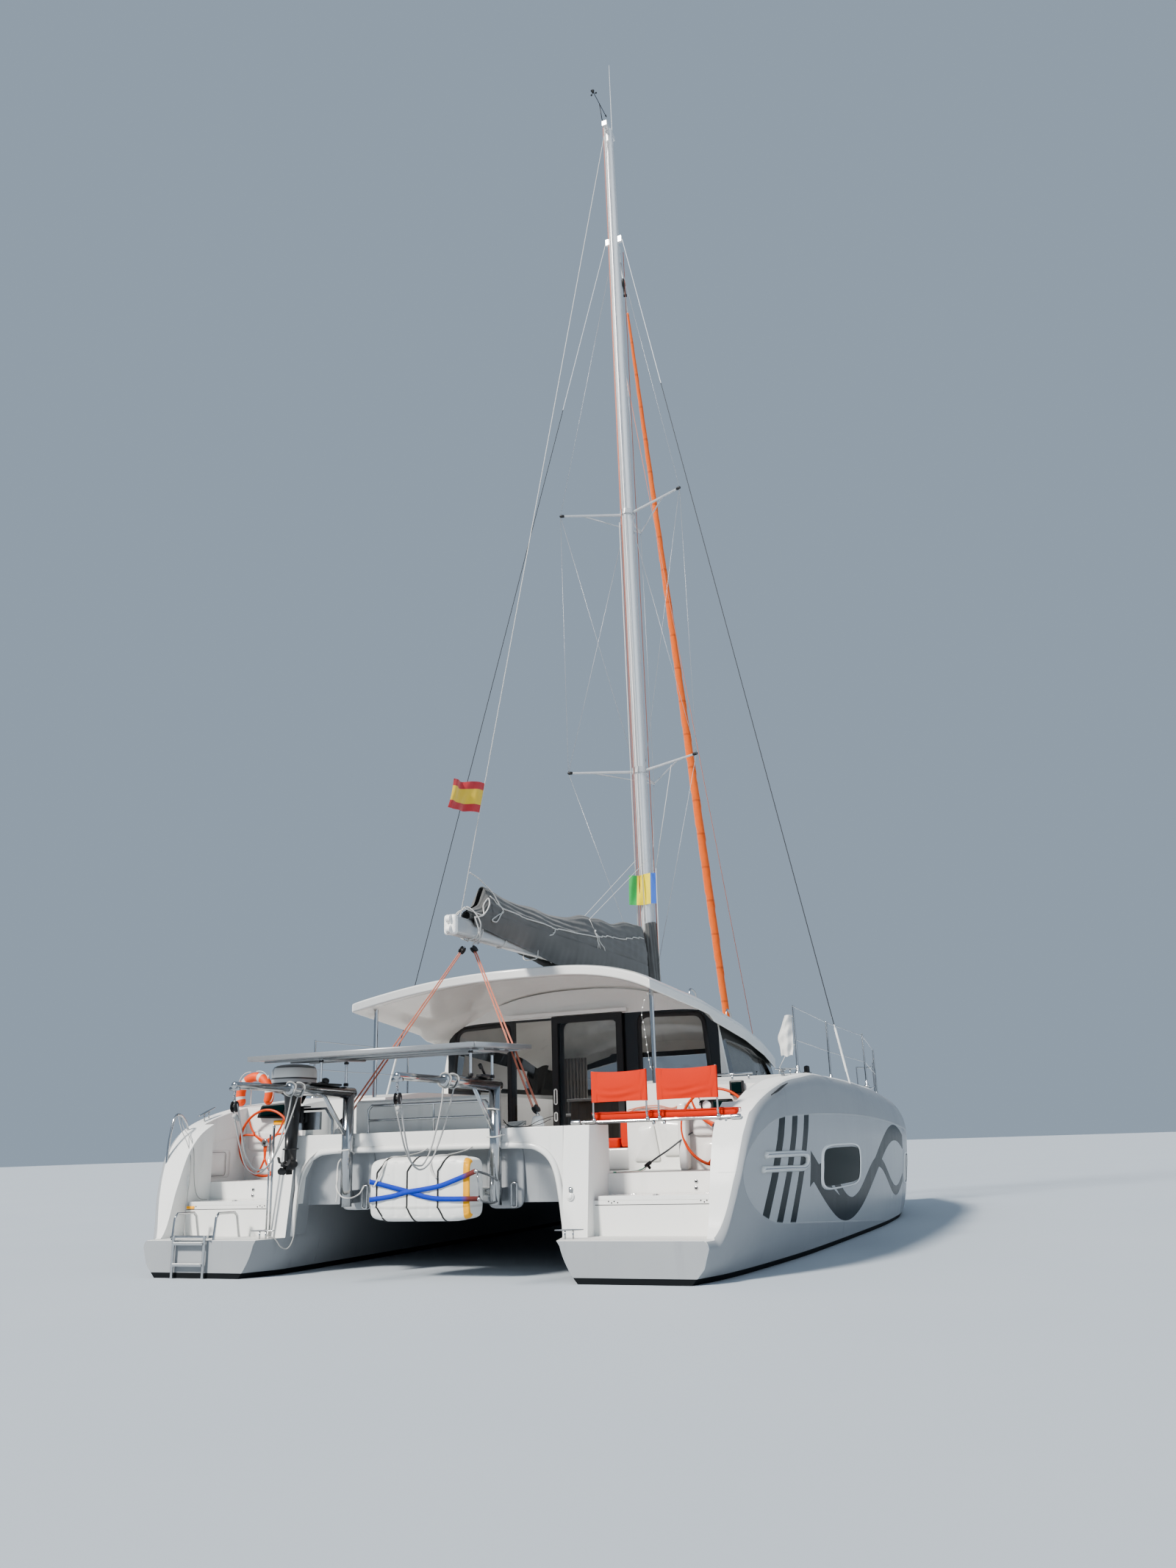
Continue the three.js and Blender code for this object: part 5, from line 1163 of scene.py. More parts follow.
last = int(np.searchsorted(share_up[0], .955))
order = [2 * len(half_turn) - 2 - k for k in range(last, -1, -1)] + list(range(last + 1))
mouth = ring[:mouth_row + 2][:, order]
mouth_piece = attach(mesh_piece("bag_mouth", mouth, grid_faces(*mouth.shape[:2]), canvas), "boom_and_bag")
SKIRT_HEM = np.array([[1.26, 3.388], [1.4, 3.374], [1.94, 3.330], [2.47, 3.293], [2.85, 3.262], [3.6, 3.20],
                      [4.6, 3.165], [6.78, 3.19]])
for side, word in SIDES:
    place = np.linspace(1.30, 6.72, 220)[:, None]
    down = np.linspace(0, 1, 18)[None]
    half_low = eased(place[:, 0], BAG[:, [0, 1]])[:, None] * .5
    start_z = bag_floor(place) + .075
    hem_z = eased(place[:, 0], SKIRT_HEM)[:, None]
    out = half_low + .004 + (.086 - half_low) * np.clip(down * 1.15, 0, 1) ** 1.6
    out = out + .006 * np.sin(place * 11 + 2 * down) * down + .003 * np.sin(place * 37) * down
    points = np.stack([side * out, place + 0 * down, start_z + (hem_z - start_z) * down], -1)
    skirt_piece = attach(mesh_piece("bag_skirt_" + word, points, grid_faces(220, 18), canvas),
                          "boom_and_bag")
PIPING = np.array([  # y, share of the bag's height
    [1.66, .74], [1.84, .46], [3.18, .40], [4.50, .42], [5.03, .54], [5.67, .58], [6.65, .70]])
lashings = []
for side in (1, -1):
    piping = [bag_surface(y, side, float(np.interp(y, PIPING[:, 0], PIPING[:, 1])))
              for y in np.linspace(1.66, 6.65, 150)]
    lashings.append(swept(piping, .008, 7))
TIES = [  # y at the crown, y low down, share of the height at which it starts, radius
    (3.18, 2.86, .40, .0080), (4.55, 4.60, .55, .0085), (4.56, 4.70, .55, .0070), (4.58, 4.98, .55, .0085)]
for start_y, end_y, top_share, radius in TIES:
    for side in (1, -1):
        shares = np.linspace(top_share, .06, 14)
        run = (top_share - shares) / top_share
        half = [bag_surface(start_y + (end_y - start_y) * t ** 1.6
                            + .07 * np.sin(np.pi * t) * (top_share < .5), side, up)
                for t, up in zip(run, shares)]
        half += [np.array([side * x, end_y, z])
                 for x, z in ((.098, 3.34), (.092, 3.24), (.06, 3.215), (0, 3.212))]
        lashings.append(swept(curve_through(half, 60), radius, 6, up=(0, 1, 0)))
BOOM_STRAPS = [(1.44, .008), (1.49, .007), (2.06, .009)]  # y, radius
for y, radius in BOOM_STRAPS:
    middle_z = 3.335 + (y - .95) * .0154
    ringed = [(.078 * np.cos(a), y + .015 * np.cos(2 * a), middle_z + .112 * np.sin(a))
              for a in np.linspace(0, 2 * np.pi, 40)]
    lashings.append(swept(ringed[:-1], radius, 7, up=(0, 1, 0), loop=True))
lazy_jacks = []
for side in (1, -1):
    knot_at = bag_surface(4.57, side, .56)
    jack_top, bag_top = np.array([side * .10, 6.90, 5.26]), bag_surface(4.57, side, .90)
    lazy_jacks.append(swept(jack_top + (bag_top - jack_top) * np.linspace(0, 1, 60)[:, None], .0042, 6))
    lashings += taut([bag_top, knot_at], .0042)
    lashings.append(domed(knot_at - [0, .02, .012], knot_at + [0, .02, .02], .013, 12))
TAILS = [
    [(-.10, 1.22, 3.47), (.02, 1.24, 3.57), (.10, 1.30, 3.50), (.14, 1.34, 3.38), (.10, 1.33, 3.27),
     (.0, 1.30, 3.22), (-.09, 1.27, 3.28), (-.11, 1.22, 3.40), (-.06, 1.18, 3.50), (.03, 1.22, 3.55)],
    [(.02, 1.22, 3.55), (.12, 1.40, 3.50), (.15, 1.52, 3.62), (.12, 1.56, 3.71), (.09, 1.50, 3.63),
     (.13, 1.42, 3.50), (.10, 1.30, 3.46)],
    [(.0, 1.36, 3.97), (.03, 1.50, 3.93), (.04, 1.62, 3.885), (.09, 1.72, 3.80), (.13, 1.80, 3.68),
     (.15, 1.86, 3.61), (.145, 1.74, 3.55), (.14, 1.60, 3.47), (.15, 1.66, 3.46), (.16, 1.82, 3.60)],
    [(.11, 1.26, 3.46), (.13, 1.33, 3.30), (.10, 1.37, 3.22), (.02, 1.38, 3.19)],
]
for tail in TAILS:
    lashings.append(swept(curve_through(tail, 70), .0075, 7, up=(.3, .5, 1)))
fitted("bag_lashings", lashings, white_rope, "boom_and_bag", weld=False)
jack_lines = gathered("lazy_jacks", lazy_jacks, white_rope)
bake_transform(jack_lines)
LIFT_LOW, LIFT_TOP = np.array([0, 1.125, 3.400]), np.array([0, 6.700, 19.232])
lift_foot = LIFT_LOW + (LIFT_TOP - LIFT_LOW) * .0026
topping = fitted("topping_lift_line", taut([lift_foot, LIFT_TOP], .0055, 8), white_rope,
                 "boom_and_bag", weld=False)
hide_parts("topping_lift")


# The bag's fore end: its two sides, of the same canvas, are laced round the front of the mast.
# It is fast to the mast and to the bag.
flap_turn, flap_up = np.meshgrid(np.radians(np.linspace(-78, 258, 120)), np.linspace(0, 1, 40))
FLAP_LOW, FLAP_HIGH = 3.16, 4.24
flap_z = FLAP_LOW + (FLAP_HIGH + .06 * np.cos(flap_turn) - FLAP_LOW) * flap_up
gather = .010 * np.sin(flap_turn * 7 + flap_up * 3) + .006 * np.sin(flap_turn * 17 + flap_up * 5)
reach = 1 + .30 * np.maximum(-np.sin(flap_turn), 0)
flap = np.stack([(.128 + gather + .03 * (1 - flap_up)) * np.cos(flap_turn),
                 mast_y(flap_z) + (.158 + gather + .02 * (1 - flap_up)) * np.sin(flap_turn) * reach, flap_z],
                -1)
mast_flap = mesh_piece("bag_mast_flap", flap, grid_faces(40, 120), canvas)
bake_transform(mast_flap)


# Mainsheet: a coral tackle a side from the boom's end to a pad eye on the aft beam, three parts each.
def block_parts(at, towards):
    """Cheeks, sheave and strap of a small block that hangs from a place and points another way."""
    size = .040
    at, towards = np.asarray(at, float), np.asarray(towards, float)
    run = (towards - at) / np.linalg.norm(towards - at)
    across = np.cross(run, (0, 1, .2))
    across /= np.linalg.norm(across)
    middle = at + run * size * 1.2
    cheeks = [spun([(0, size * .55), (.2, size * .95), (.8, size), (1, size * .6)],
                   middle + across * s * size * .18, middle + across * s * size * .62, 18) for s in (1, -1)]
    wheel = spun([(0, size * .8), (.5, size * .6), (1, size * .8)], middle - across * size * .18,
                 middle + across * size * .18, 18)
    return cheeks + [wheel], [bar(at, middle + run * size * .3, size * .13, 8)]


SHEETS = [((.065, 1.30, 3.155), (1.118, .60, 1.400)), ((-.015, 1.27, 3.155), (-1.20, .80, 1.36))]
STRANDS = (-.030, -.018, .018, .030)
for number, (up_end, low_end) in enumerate(SHEETS):
    up_end, low_end = np.array(up_end), np.array(low_end)
    apart = np.array([.90, .43, 0])
    share = np.linspace(.03, .97, 40)[:, None]
    parts = []
    for step in STRANDS:
        line = up_end + (low_end - up_end) * share + apart * step * (.4 + .6 * share)
        parts.append(swept(line, .0050, 6, up=(0, 1, 0)))
    tackle = gathered("mainsheet_" + ("starboard", "port")[number], parts, coral_rope)
    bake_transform(tackle)
    for body, at, towards in (("boom_and_bag", up_end, low_end), ("root", low_end, up_end)):
        cheeks, strap = block_parts(at, towards)
        fitted("sheet_block_%s_%d" % (body[:4], number), cheeks, black, body)
        fitted("sheet_strap_%s_%d" % (body[:4], number), strap, steel, body, weld=False)


# Flags: small flags of stitched nylon that curl in a light wind. One is tied to the topping lift and
# one to a thin line beside the mast.
def finish_flag(name, bands, across):
    """Dyed nylon in plain bands across or along the flag, by the sheet's own UV map."""
    cloth = Finish(name)
    u, v, _ = cloth.split(cloth.flat)
    key = v if across else u
    tone = cloth.mix(0.0, bands[0][1], bands[0][1])
    for start, colour in bands[1:]:
        tone = cloth.mix(key > start, tone, colour)
    ripple = cloth.noise(9.0, 4.0)
    weave = (u * 900.0).math("SINE") * (v * 900.0).math("SINE")
    return cloth.surface(cloth.mix(ripple * .15, tone, (.3, .3, .3)), bump=weave, depth=.0003,
                         Roughness=ripple * .1 + .62, Sheen_Weight=.3)


def with_uv(piece, rows, columns):
    """Gives a grid mesh its own UV map from its row and column numbers."""
    body = piece.data
    chart = body.uv_layers.new(name="UVMap")
    corner = np.empty(len(body.loops), int)
    body.loops.foreach_get("vertex_index", corner)
    chart.data.foreach_set("uv", np.stack([(corner % columns) / (columns - 1),
                                           1 - (corner // columns) / (rows - 1)], 1).ravel().astype(float))
    return piece


FLAGS = [  # name, upper and lower hoist corners, fly, body, bands by share, bands across the hoist
    ("flag_stern", (0, 1.717, 5.080), (0, 1.583, 4.700), (-.135, -.565, -.035), "boom_and_bag",
     [(0, (.62, .03, .035)), (.25, (.90, .62, .05)), (.75, (.62, .03, .035))], True),
    ("flag_mast", (.215, 6.90, 5.030), (.200, 6.90, 4.560), (-.44, -.06, .03), "root",
     [(0, (.02, .12, .55)), (.20, (.92, .74, .02)), (.72, (.01, .36, .06))], False),
]
for name, upper, lower, fly, body, bands, across in FLAGS:
    u, v = np.meshgrid(np.linspace(0, 1, 60), np.linspace(0, 1, 44))
    upper, lower, fly = np.array(upper), np.array(lower), np.array(fly)
    side_way = np.cross(fly, lower - upper)
    side_way /= np.linalg.norm(side_way)
    wave = .035 * u ** .7 * np.sin(u * 7.5 + v * 1.8) + .014 * u * np.sin(u * 17 - v * 3)
    droop = -.05 * u ** 2 * (1 - .3 * v) + .02 * u * np.sin(5 * u + 2)
    points = (upper + v[..., None] * (lower - upper) + (u * .93)[..., None] * fly + wave[..., None] * side_way
              + np.stack([0 * u, 0 * u, droop], -1))
    flag = with_uv(mesh_piece(name, points, grid_faces(44, 60), finish_flag(name + "_cloth", bands, across)),
                   44, 60)
    cut = (float(np.linalg.norm(fly)), float(np.linalg.norm(lower - upper)))
    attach(flag, body)
hoist = taut([(.2, 6.905, 3.0), (.222, 6.90, 5.10), (.60, 6.76, 6.66)], .0045)
fitted("flag_halyard", hoist, white_rope, weld=False)


# Headsail: rolled on its foil in an orange cover, with a drum below and a swivel above.
# The roll's edge winds round it as a helix, so the skin is a turned body with one long slanting ridge.
STAY_LOW, STAY_TOP = np.array([0, 11.492, 1.630]), np.array([0, 7.05 - .19 * 14.0 / 16.5 + .235, 16.80])
stay_run = (STAY_TOP - STAY_LOW) / np.linalg.norm(STAY_TOP - STAY_LOW)
stay_aside = np.array([1.0, 0, 0])
stay_over = np.cross(stay_run, stay_aside)
ROLL_SHAPE = np.array([[.050, .018], [.053, .040], [.060, .058], [.10, .064], [.3, .078], [.55, .062],
                       [.80, .040], [.915, .024], [.925, .018]])
share = np.linspace(.050, .925, 420)
around = full_turn(40)
girth = eased(share, ROLL_SHAPE)[:, None]
winding = (around[None] / (2 * np.pi) + share[:, None] * 26) % 1
ridge = 1 - .13 * winding + .02 * np.sin(share[:, None] * 410) * np.sin(around[None] * 2)
spoke = np.cos(around)[None, :, None] * stay_aside + np.sin(around)[None, :, None] * stay_over
skin_points = ((STAY_LOW + share[:, None] * (STAY_TOP - STAY_LOW))[:, None]
               + (girth * ridge)[..., None] * spoke)


def finish_sun_strip():
    """Orange acrylic strip of the rolled sail: faint sun fading, and at each wrap's edge a darker band of
    painted shade.
    """
    cloth = Finish("orange_sun_strip")
    x, y, z = cloth.split()
    fade = cloth.noise(2.0, 4.0, cloth.stretch((1.0, 1.0, .35)))
    weave = ((z + x) * 1300.0).math("SINE") * ((z - x) * 1300.0).math("SINE")
    clear_of_wrap_shade = abs((z * 1.72).math("FRACT") - .5) < .47
    tone = cloth.mix(fade, (.72, .115, .012), (.90, .20, .035))
    # Darker band at each wrap's edge: painted shade where one turn overlaps the next.
    tone = cloth.mix((1 - clear_of_wrap_shade) * .5, tone, (.45, .07, .01))
    return cloth.surface(tone, bump=weave * .2 + fade, depth=.0006, Roughness=fade * .1 + .72,
                         Sheen_Weight=.3)


roll = fitted("genoa_roll", [stacked(skin_points)], finish_sun_strip(), "genoa")


def on_stay(share_at):
    """A place at a share of the stay's length."""
    return STAY_LOW + (STAY_TOP - STAY_LOW) * share_at


drum = [spun([(0, .016), (.001, .055), (.05, .090), (.18, .093), (.24, .050), (.62, .046), (.70, .091),
              (.84, .093), (.95, .070), (1, .018)], on_stay(.0122), on_stay(.0290), 40),
        spun([(0, .018), (.02, .032), (.12, .034), (.18, .024), (.55, .024), (.6, .033), (.9, .033),
              (1, .016)], on_stay(.944), on_stay(.966), 28)]
foil = [bar(on_stay(.028), on_stay(.052), .017, 14), bar(on_stay(.922), on_stay(.985), .0155, 14)]
fitted("furler_drum", drum, black, "genoa")
fitted("furler_foil", foil, alloy, "genoa", weld=False)
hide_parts("furled_genoa")
lash = []
for turn_number in range(3):
    angle = np.linspace(0, 2 * np.pi, 26)
    at = .0585 + .0035 * turn_number
    circle = on_stay(at) + .062 * (
        np.cos(angle)[:, None] * stay_aside + np.sin(angle)[:, None] * stay_over)
    circle = circle + (angle / (2 * np.pi) * .03)[:, None] * stay_run
    lash.append(swept(circle, .007, 6, up=stay_run))
sheet_rope = finish_line("blue_white_braid", (.05, .12, .42), (.70, .72, .75), 260.0)
fitted("genoa_lashing", lash, sheet_rope, "genoa", weld=False)


# Shrouds: 10 mm stainless wire with a dark sleeve over its middle and a white cover over the turnbuckle.
# Each runs from the mast to a chainplate on the side deck.
def finish_shroud():
    """Bright wire aloft, sleeved in charcoal over the middle, white over the turnbuckle."""
    stay = Finish("sleeved_shroud")
    x, y, z = stay.split()
    twist = ((z + x * .7) * 420.0).math("SINE") * .5 + .5
    tone = stay.mix(z < 13.2, stay.mix(twist, (.55, .56, .57), (.80, .81, .82)), (.030, .032, .036))
    tone = stay.mix(z < 2.42, tone, (.74, .74, .72))
    return stay.surface(tone, bump=twist, depth=.0008, Roughness=twist * .1 + .42)


for name in ("shroud_port", "shroud_starboard"):
    softened(name, finish_shroud(), degrees=50.0, slot_name="stainless")


# Davits: polished stainless tubes. Each leg stands on two brackets and carries a straight arm with a
# thinner extension, whose domed end holds the fall's blocks; a folded handle sits beside each foot.
DAVIT_X, ARM_Z = .80, 1.668
for side, word in SIDES:
    x = side * DAVIT_X
    tubes = [domed((x, .355, .612), (x, .355, ARM_Z), .055, ends=(False, False)),
             domed((x, .414, 1.660), (x, -.625, 1.675), .0552, ends=(False, True)),
             domed((x, -.58, 1.675), (x, -1.378, 1.680), .032, 24, ends=(False, True)),
             bar((x - .048, -1.352, 1.652), (x + .048, -1.352, 1.652), .016, 16),
             bar((x, -.06, 1.63), (x, .355, 1.23), .019, 16),
             bar((x, .41, 1.66), (x, .4145, 1.66), .045, 28)]
    for low, high in ((1.17, 1.24), (.64, .76)):
        tubes.append(slab_piece((x - .040, .36, low), (x + .040, .4255 if low > 1 else .596, high), .012,
                                SOFT_LAYERS))
    for at_z in (1.600, 1.635):
        tubes.append(bar((x, -1.353, at_z + .03), (x, -1.353, at_z), .011, 12))
    davit = fitted("davit_%s_tube" % word, tubes, steel)
    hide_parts("davit_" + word)
handles = []
for x in (.895, -.70):
    loop = rounded_outline(oblong(x, .590, x + .055, .795), .020)
    handles.append(swept(np.insert(loop, 1, .480, axis=1), .0105, 10, up=(0, 1, 0), loop=True))
    handles += [bar((x + .0275, .480, at_z), (x + .0275, .56, at_z), .009) for at_z in (.592, .793)]
fitted("davit_handles", handles, steel, weld=False)
winches = [slab_piece((.765, .04, 1.722), (.835, .20, 1.750), .02, SOFT_LAYERS),
           bar((.80, .15, 1.75), (.80, .07, 1.835), .011),
           domed((.80, .09, 1.80), (.80, .05, 1.84), .019, 14),
           slab_piece((-.83, -.30, 1.722), (-.77, .20, 1.740), .02, SOFT_LAYERS),
           domed((-.80, -.05, 1.730), (-.80, -.05, 1.790), .040, 24)]
fitted("davit_winches", winches, black)


# Falls: one soft grey rope a davit, tied round the arm, down, up over the block's sheave and back.
# The boat they lift is away, so each fall hangs in two slack bights.
grey_rope = finish_line("grey_braid", (.33, .33, .32), (.58, .575, .56), 600.0)
FALL = [(.812, -.450, 1.612), (.812, -.50, 1.50), (.812, -.66, 1.22), (.812, -.86, 1.00), (.810, -.99, .955),
        (.810, -1.12, 1.00), (.812, -1.22, 1.16), (.818, -1.300, 1.38), (.824, -1.330, 1.470),
        (.822, -1.340, 1.504), (.812, -1.343, 1.528), (.796, -1.343, 1.535), (.780, -1.343, 1.526),
        (.770, -1.338, 1.502), (.768, -1.326, 1.465), (.774, -1.28, 1.34), (.782, -1.19, 1.12),
        (.784, -1.05, .995), (.785, -.95, .985), (.785, -.83, 1.06), (.785, -.70, 1.27),
        (.785, -.60, 1.52), (.785, -.584, 1.612)]
ROPE = .014
for side, word in SIDES:
    fall_line = curve_through(curve_through(np.array(FALL) * [side, 1, 1], 60), 420)
    rope_piece = fitted("fall_" + word, [swept(fall_line, ROPE / 2, 10, up=(.3, .2, 1))], grey_rope,
                        weld=False)
    x = side * DAVIT_X
    wraps = []
    for y in (-.452, -.586):
        ringed = [(x + .062 * np.cos(a), y + .012 * np.sin(3 * a), 1.6725 + .062 * np.sin(a))
                  for a in full_turn(28)]
        wraps.append(swept(ringed, .0075, 8, up=(0, 1, 0), loop=True))
    wraps.append(domed((x, -1.300, 1.415), (x, -1.352, 1.437), .021, 14))
    wraps += [domed((x + .012 * k, -1.315 - .01 * k, 1.43), (x + .02 * k, -1.305, 1.385), .010, 12)
              for k in (-1, 1)]
    fitted("fall_wraps_" + word, wraps, grey_rope, weld=False)
    body = [*(pillow((x + step, -1.343, 1.505), (.032, .046, .006), .9, 12, 28, 0)
              for step in (-.0195, .0195)),
            spun([(0, .020), (.5, .015), (1, .020)], (x - .012, -1.343, 1.505),
                 (x + .012, -1.343, 1.505), 20)]
    fitted("fall_block_" + word, body, black)
    links = []
    for number, at_z in enumerate((1.628, 1.604, 1.580, 1.558)):
        wide, high = oval(20, .011, .017).T
        links.append(swept(np.stack([x + wide * (number % 2), -1.350 + wide * (1 - number % 2), at_z + high],
                                    -1), .0035, 6, up=(1 - number % 2, number % 2, .1), loop=True))
    fitted("fall_shackles_" + word, links, steel, weld=False)


# Solar panel: dark cells under glass in an aluminium frame, with a pale backing below. Four struts carry
# it, clamped in black plastic to the davits' arms.
def finish_panel():
    """Blue-black cells with thin silver lines above, a pale backing below, bare metal on the struts."""
    cells = Finish("solar_cells")
    x, y, z = cells.split()
    nz = cells.split(Wire(cells, cells.node("ShaderNodeNewGeometry").outputs["Normal"]))[2]
    across = abs(((x + 1.58) / .1295).math("FRACT") - .5)
    along = abs(((y + .2) / .1295).math("FRACT") - .5)
    gap = ((across > .485) + (along > .485)).math("MINIMUM", 1.0)
    thread = abs((((x + 1.58) / .0432).math("FRACT") - .5)) < .02
    tone = cells.mix(cells.noise(8.0), (.008, .012, .030), (.014, .020, .045))
    tone = cells.mix(thread * .5, tone, (.30, .31, .33))
    tone = cells.mix(gap, tone, (.60, .61, .62))
    above = nz > .5
    metal = 1 - (z > 1.94)
    tone = cells.mix(above, (.36, .37, .38), tone)
    tone = cells.mix(metal, tone, (.72, .73, .74))
    return cells.surface(tone, Metallic=metal, Roughness=cells.noise(5.0) * .1 + .14, Coat_Weight=above * .8)


softened("solar_panel", finish_panel(), .004, slot_name="solar_cells")
LOW_Y, HIGH_Y, PANEL_X = -.2, .95, (-1.58, .88)


def panel_z(y, lift):
    """Height of a place a little off the panel's face, which rises forward."""
    return 2.015 + .045 * (y - LOW_Y) / (HIGH_Y - LOW_Y) + lift


def square_bar(start, end, half):
    """A straight bar of square section with eased corners."""
    corner = rounded_outline(oblong(-half, -half, half, half), half * .4, 4)
    return swept([start, end], 1.0, profile=corner)


edge_bars = []
for y in (LOW_Y + .004, HIGH_Y - .004):
    edge_bars.append(square_bar((PANEL_X[0], y, panel_z(y, -.019)), (PANEL_X[1], y, panel_z(y, -.019)),
                                .0235))
for x in (PANEL_X[0] + .004, -.352, PANEL_X[1] - .004):
    edge_bars.append(square_bar((x, LOW_Y, panel_z(LOW_Y, -.019)), (x, HIGH_Y, panel_z(HIGH_Y, -.019)),
                                .0235))
for y in (.02, .44, .76):
    edge_bars.append(square_bar((PANEL_X[0] + .02, y, panel_z(y, -.048)),
                                (PANEL_X[1] - .02, y, panel_z(y, -.048)), .011))
for x in (-.80, .80):
    edge_bars += [bar((x, LOW_Y + .06, panel_z(LOW_Y, -.062)), (x, .62, panel_z(.62, -.062)), .016, 14)]
fitted("panel_frame", edge_bars, finish_aluminium("panel_alloy", (.42, .43, .44)))
clamps = []
for x in (-.80, .80):
    for y in (-.12, .30):
        clamps += [spun([(0, .020), (.2, .024), (.8, .024), (1, .019)], (x, y, 1.722), (x, y, 1.752), 20),
                   spun([(0, .019), (.2, .023), (.8, .023), (1, .018)], (x, y, 1.930), (x, y, 1.952), 20)]
fitted("panel_clamps", clamps, black, weld=False)


# Liferaft: a white glass-fibre canister of two ribbed half shells with a taped seam and three black bands,
# held on two arms by crossed webbing straps, and lashed to the beam above it.
RAFT_MIDDLE, RAFT_HALF = np.array([.2475, .065, .775]), np.array([.5075, .155, .275])
RAFT_POWER = .34


def raft_place(x_share, turn, lift=0.0):
    """A place on the canister: share of the half length, angle round it, and height off the skin."""
    rim = (1 - np.minimum(np.abs(x_share), .9999) ** 7) ** (1 / 2.6)
    size = .80 + .20 * rim
    out_y, out_z = signed_power(np.cos(turn), RAFT_POWER), signed_power(np.sin(turn), RAFT_POWER)
    rib = .005 * np.cos(x_share * 13.5) ** 8 * (np.abs(out_y) > .93)
    step = .006 * (np.abs(x_share) > .72)
    seam = .007 * (np.abs(out_z + .55) < .035)
    reach = lift + seam - rib - step
    return np.stack([RAFT_MIDDLE[0] + RAFT_HALF[0] * x_share,
                     RAFT_MIDDLE[1] + (RAFT_HALF[1] * size + reach) * out_y,
                     RAFT_MIDDLE[2] + (RAFT_HALF[2] * size + reach) * out_z], -1)


shares = np.concatenate([-np.cos(np.linspace(0, .9, 22)), np.linspace(-.61, .61, 84),
                         np.cos(np.linspace(.9, 0, 22))])
angles = full_turn(140)
share_grid, angle_grid = np.meshgrid(shares, angles, indexing="ij")


def finish_canister():
    """Hard white gelcoat with sanded haze, grime along the seam and a few scuffs."""
    shell = Finish("canister_gelcoat")
    x, y, z = shell.split()
    haze = shell.noise(3.0, 5.0)
    scuff = shell.noise(40.0, 5.0, shell.stretch((.3, 1.0, 1.0))).ramp(.66, .76)
    near_seam = 1 - abs(z - .623).ramp(.004, .016)
    tone = shell.mix(haze, (.74, .74, .71), (.83, .83, .80))
    tone = shell.mix((scuff * .25 + near_seam * .35).math("MINIMUM", 1.0), tone, (.42, .41, .38))
    yellow = (x > .70) * (x < .755) * (y < .0)
    tone = shell.mix(yellow, tone, (.86, .42, .03))
    return shell.surface(tone, bump=haze + shell.noise(200.0, 2.0) * .03, depth=.0012,
                         Roughness=haze * .15 + .30)


canister = [stacked(raft_place(share_grid, angle_grid))]
arms = [slab_piece((x, .16, .69), (x + .08, .596, .76), .012, SOFT_LAYERS) for x in (-.14, .58)]
raft = fitted("liferaft_canister", canister + arms, finish_canister())
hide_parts("liferaft")
BANDS = [(-.18, .115), (.14, .095), (.455, .09)]  # x of each band, how far it slants
band_parts = []
for at_x, slant in BANDS:
    turn = full_turn(150)
    height = signed_power(np.sin(turn), RAFT_POWER)
    lean = slant * np.clip((height - .55) / .45, 0, 1) + slant * .75 * np.clip((-height - .55) / .45, 0, 1)
    line = raft_place((at_x + lean - RAFT_MIDDLE[0]) / RAFT_HALF[0], turn, .003)
    band_parts.append(swept(line, 1.0, up=(1, 0, 0), loop=True, profile=oblong(-.0018, -.007, .0018, .007)))
fitted("canister_bands", band_parts, black, weld=False)


def finish_webbing(name, tone, end_tone):
    """Flat woven strap with ribs along it, stained dark red where it goes round the bracket."""
    strap = Finish(name)
    x, y, z = strap.split()
    rib = ((z + y) * 1400.0).math("SINE")
    cross = (x * 2100.0).math("SINE")
    rub = strap.noise(18.0, 4.0)
    colour = strap.mix(x.ramp(.68, .76), strap.mix(rub, tone, tuple(1.5 * part for part in tone)), end_tone)
    return strap.surface(colour, bump=rib * .6 + cross * .4, depth=.0004, Roughness=rub * .1 + .70)


webbing = finish_webbing("blue_webbing", (.012, .040, .34), (.16, .035, .03))
FRONT_Y = -.101
STRAPS = [[(-.262, .10, .848), (-.266, -.02, .848), (-.24, FRONT_Y, .845), (-.02, FRONT_Y, .797),
           (.15, FRONT_Y, .758), (.33, FRONT_Y, .711), (.47, FRONT_Y, .692), (.62, FRONT_Y, .689),
           (.735, -.090, .688), (.835, -.035, .685)],
          [(-.262, .10, .690), (-.266, -.02, .690), (-.24, FRONT_Y, .692), (-.02, FRONT_Y, .717),
           (.15, FRONT_Y - .003, .752), (.33, FRONT_Y - .002, .775), (.47, FRONT_Y, .797),
           (.62, FRONT_Y, .842), (.735, -.090, .882), (.838, -.098, .918)]]
strap_parts = [swept(curve_through(line, 90), 1.0, profile=oblong(-.0015, -.021, .0015, .021))
               for line in STRAPS]
fitted("canister_straps", strap_parts, webbing, weld=False)
cradle = [swept(curve_through([(.62, .43, .725), (.80, .40, .78), (.845, .20, .86), (.842, -.02, .905),
                               (.84, -.10, .917)], 40), .010, 10),
          swept(curve_through([(.62, .43, .715), (.80, .40, .66), (.845, .20, .64), (.842, .02, .66),
                               (.838, -.04, .684)], 40), .010, 10),
          bar((.842, -.075, .900), (.840, -.035, .700), .006),
          bar((.842, .20, .862), (.842, .20, .638), .008)]
for at in ((.84, -.10, .917), (.838, -.04, .684)):
    cradle.append(domed(np.array(at) - [.018, 0, 0], np.array(at) + [.018, 0, 0], .016, 14))
fitted("canister_bracket", cradle, steel, weld=False)
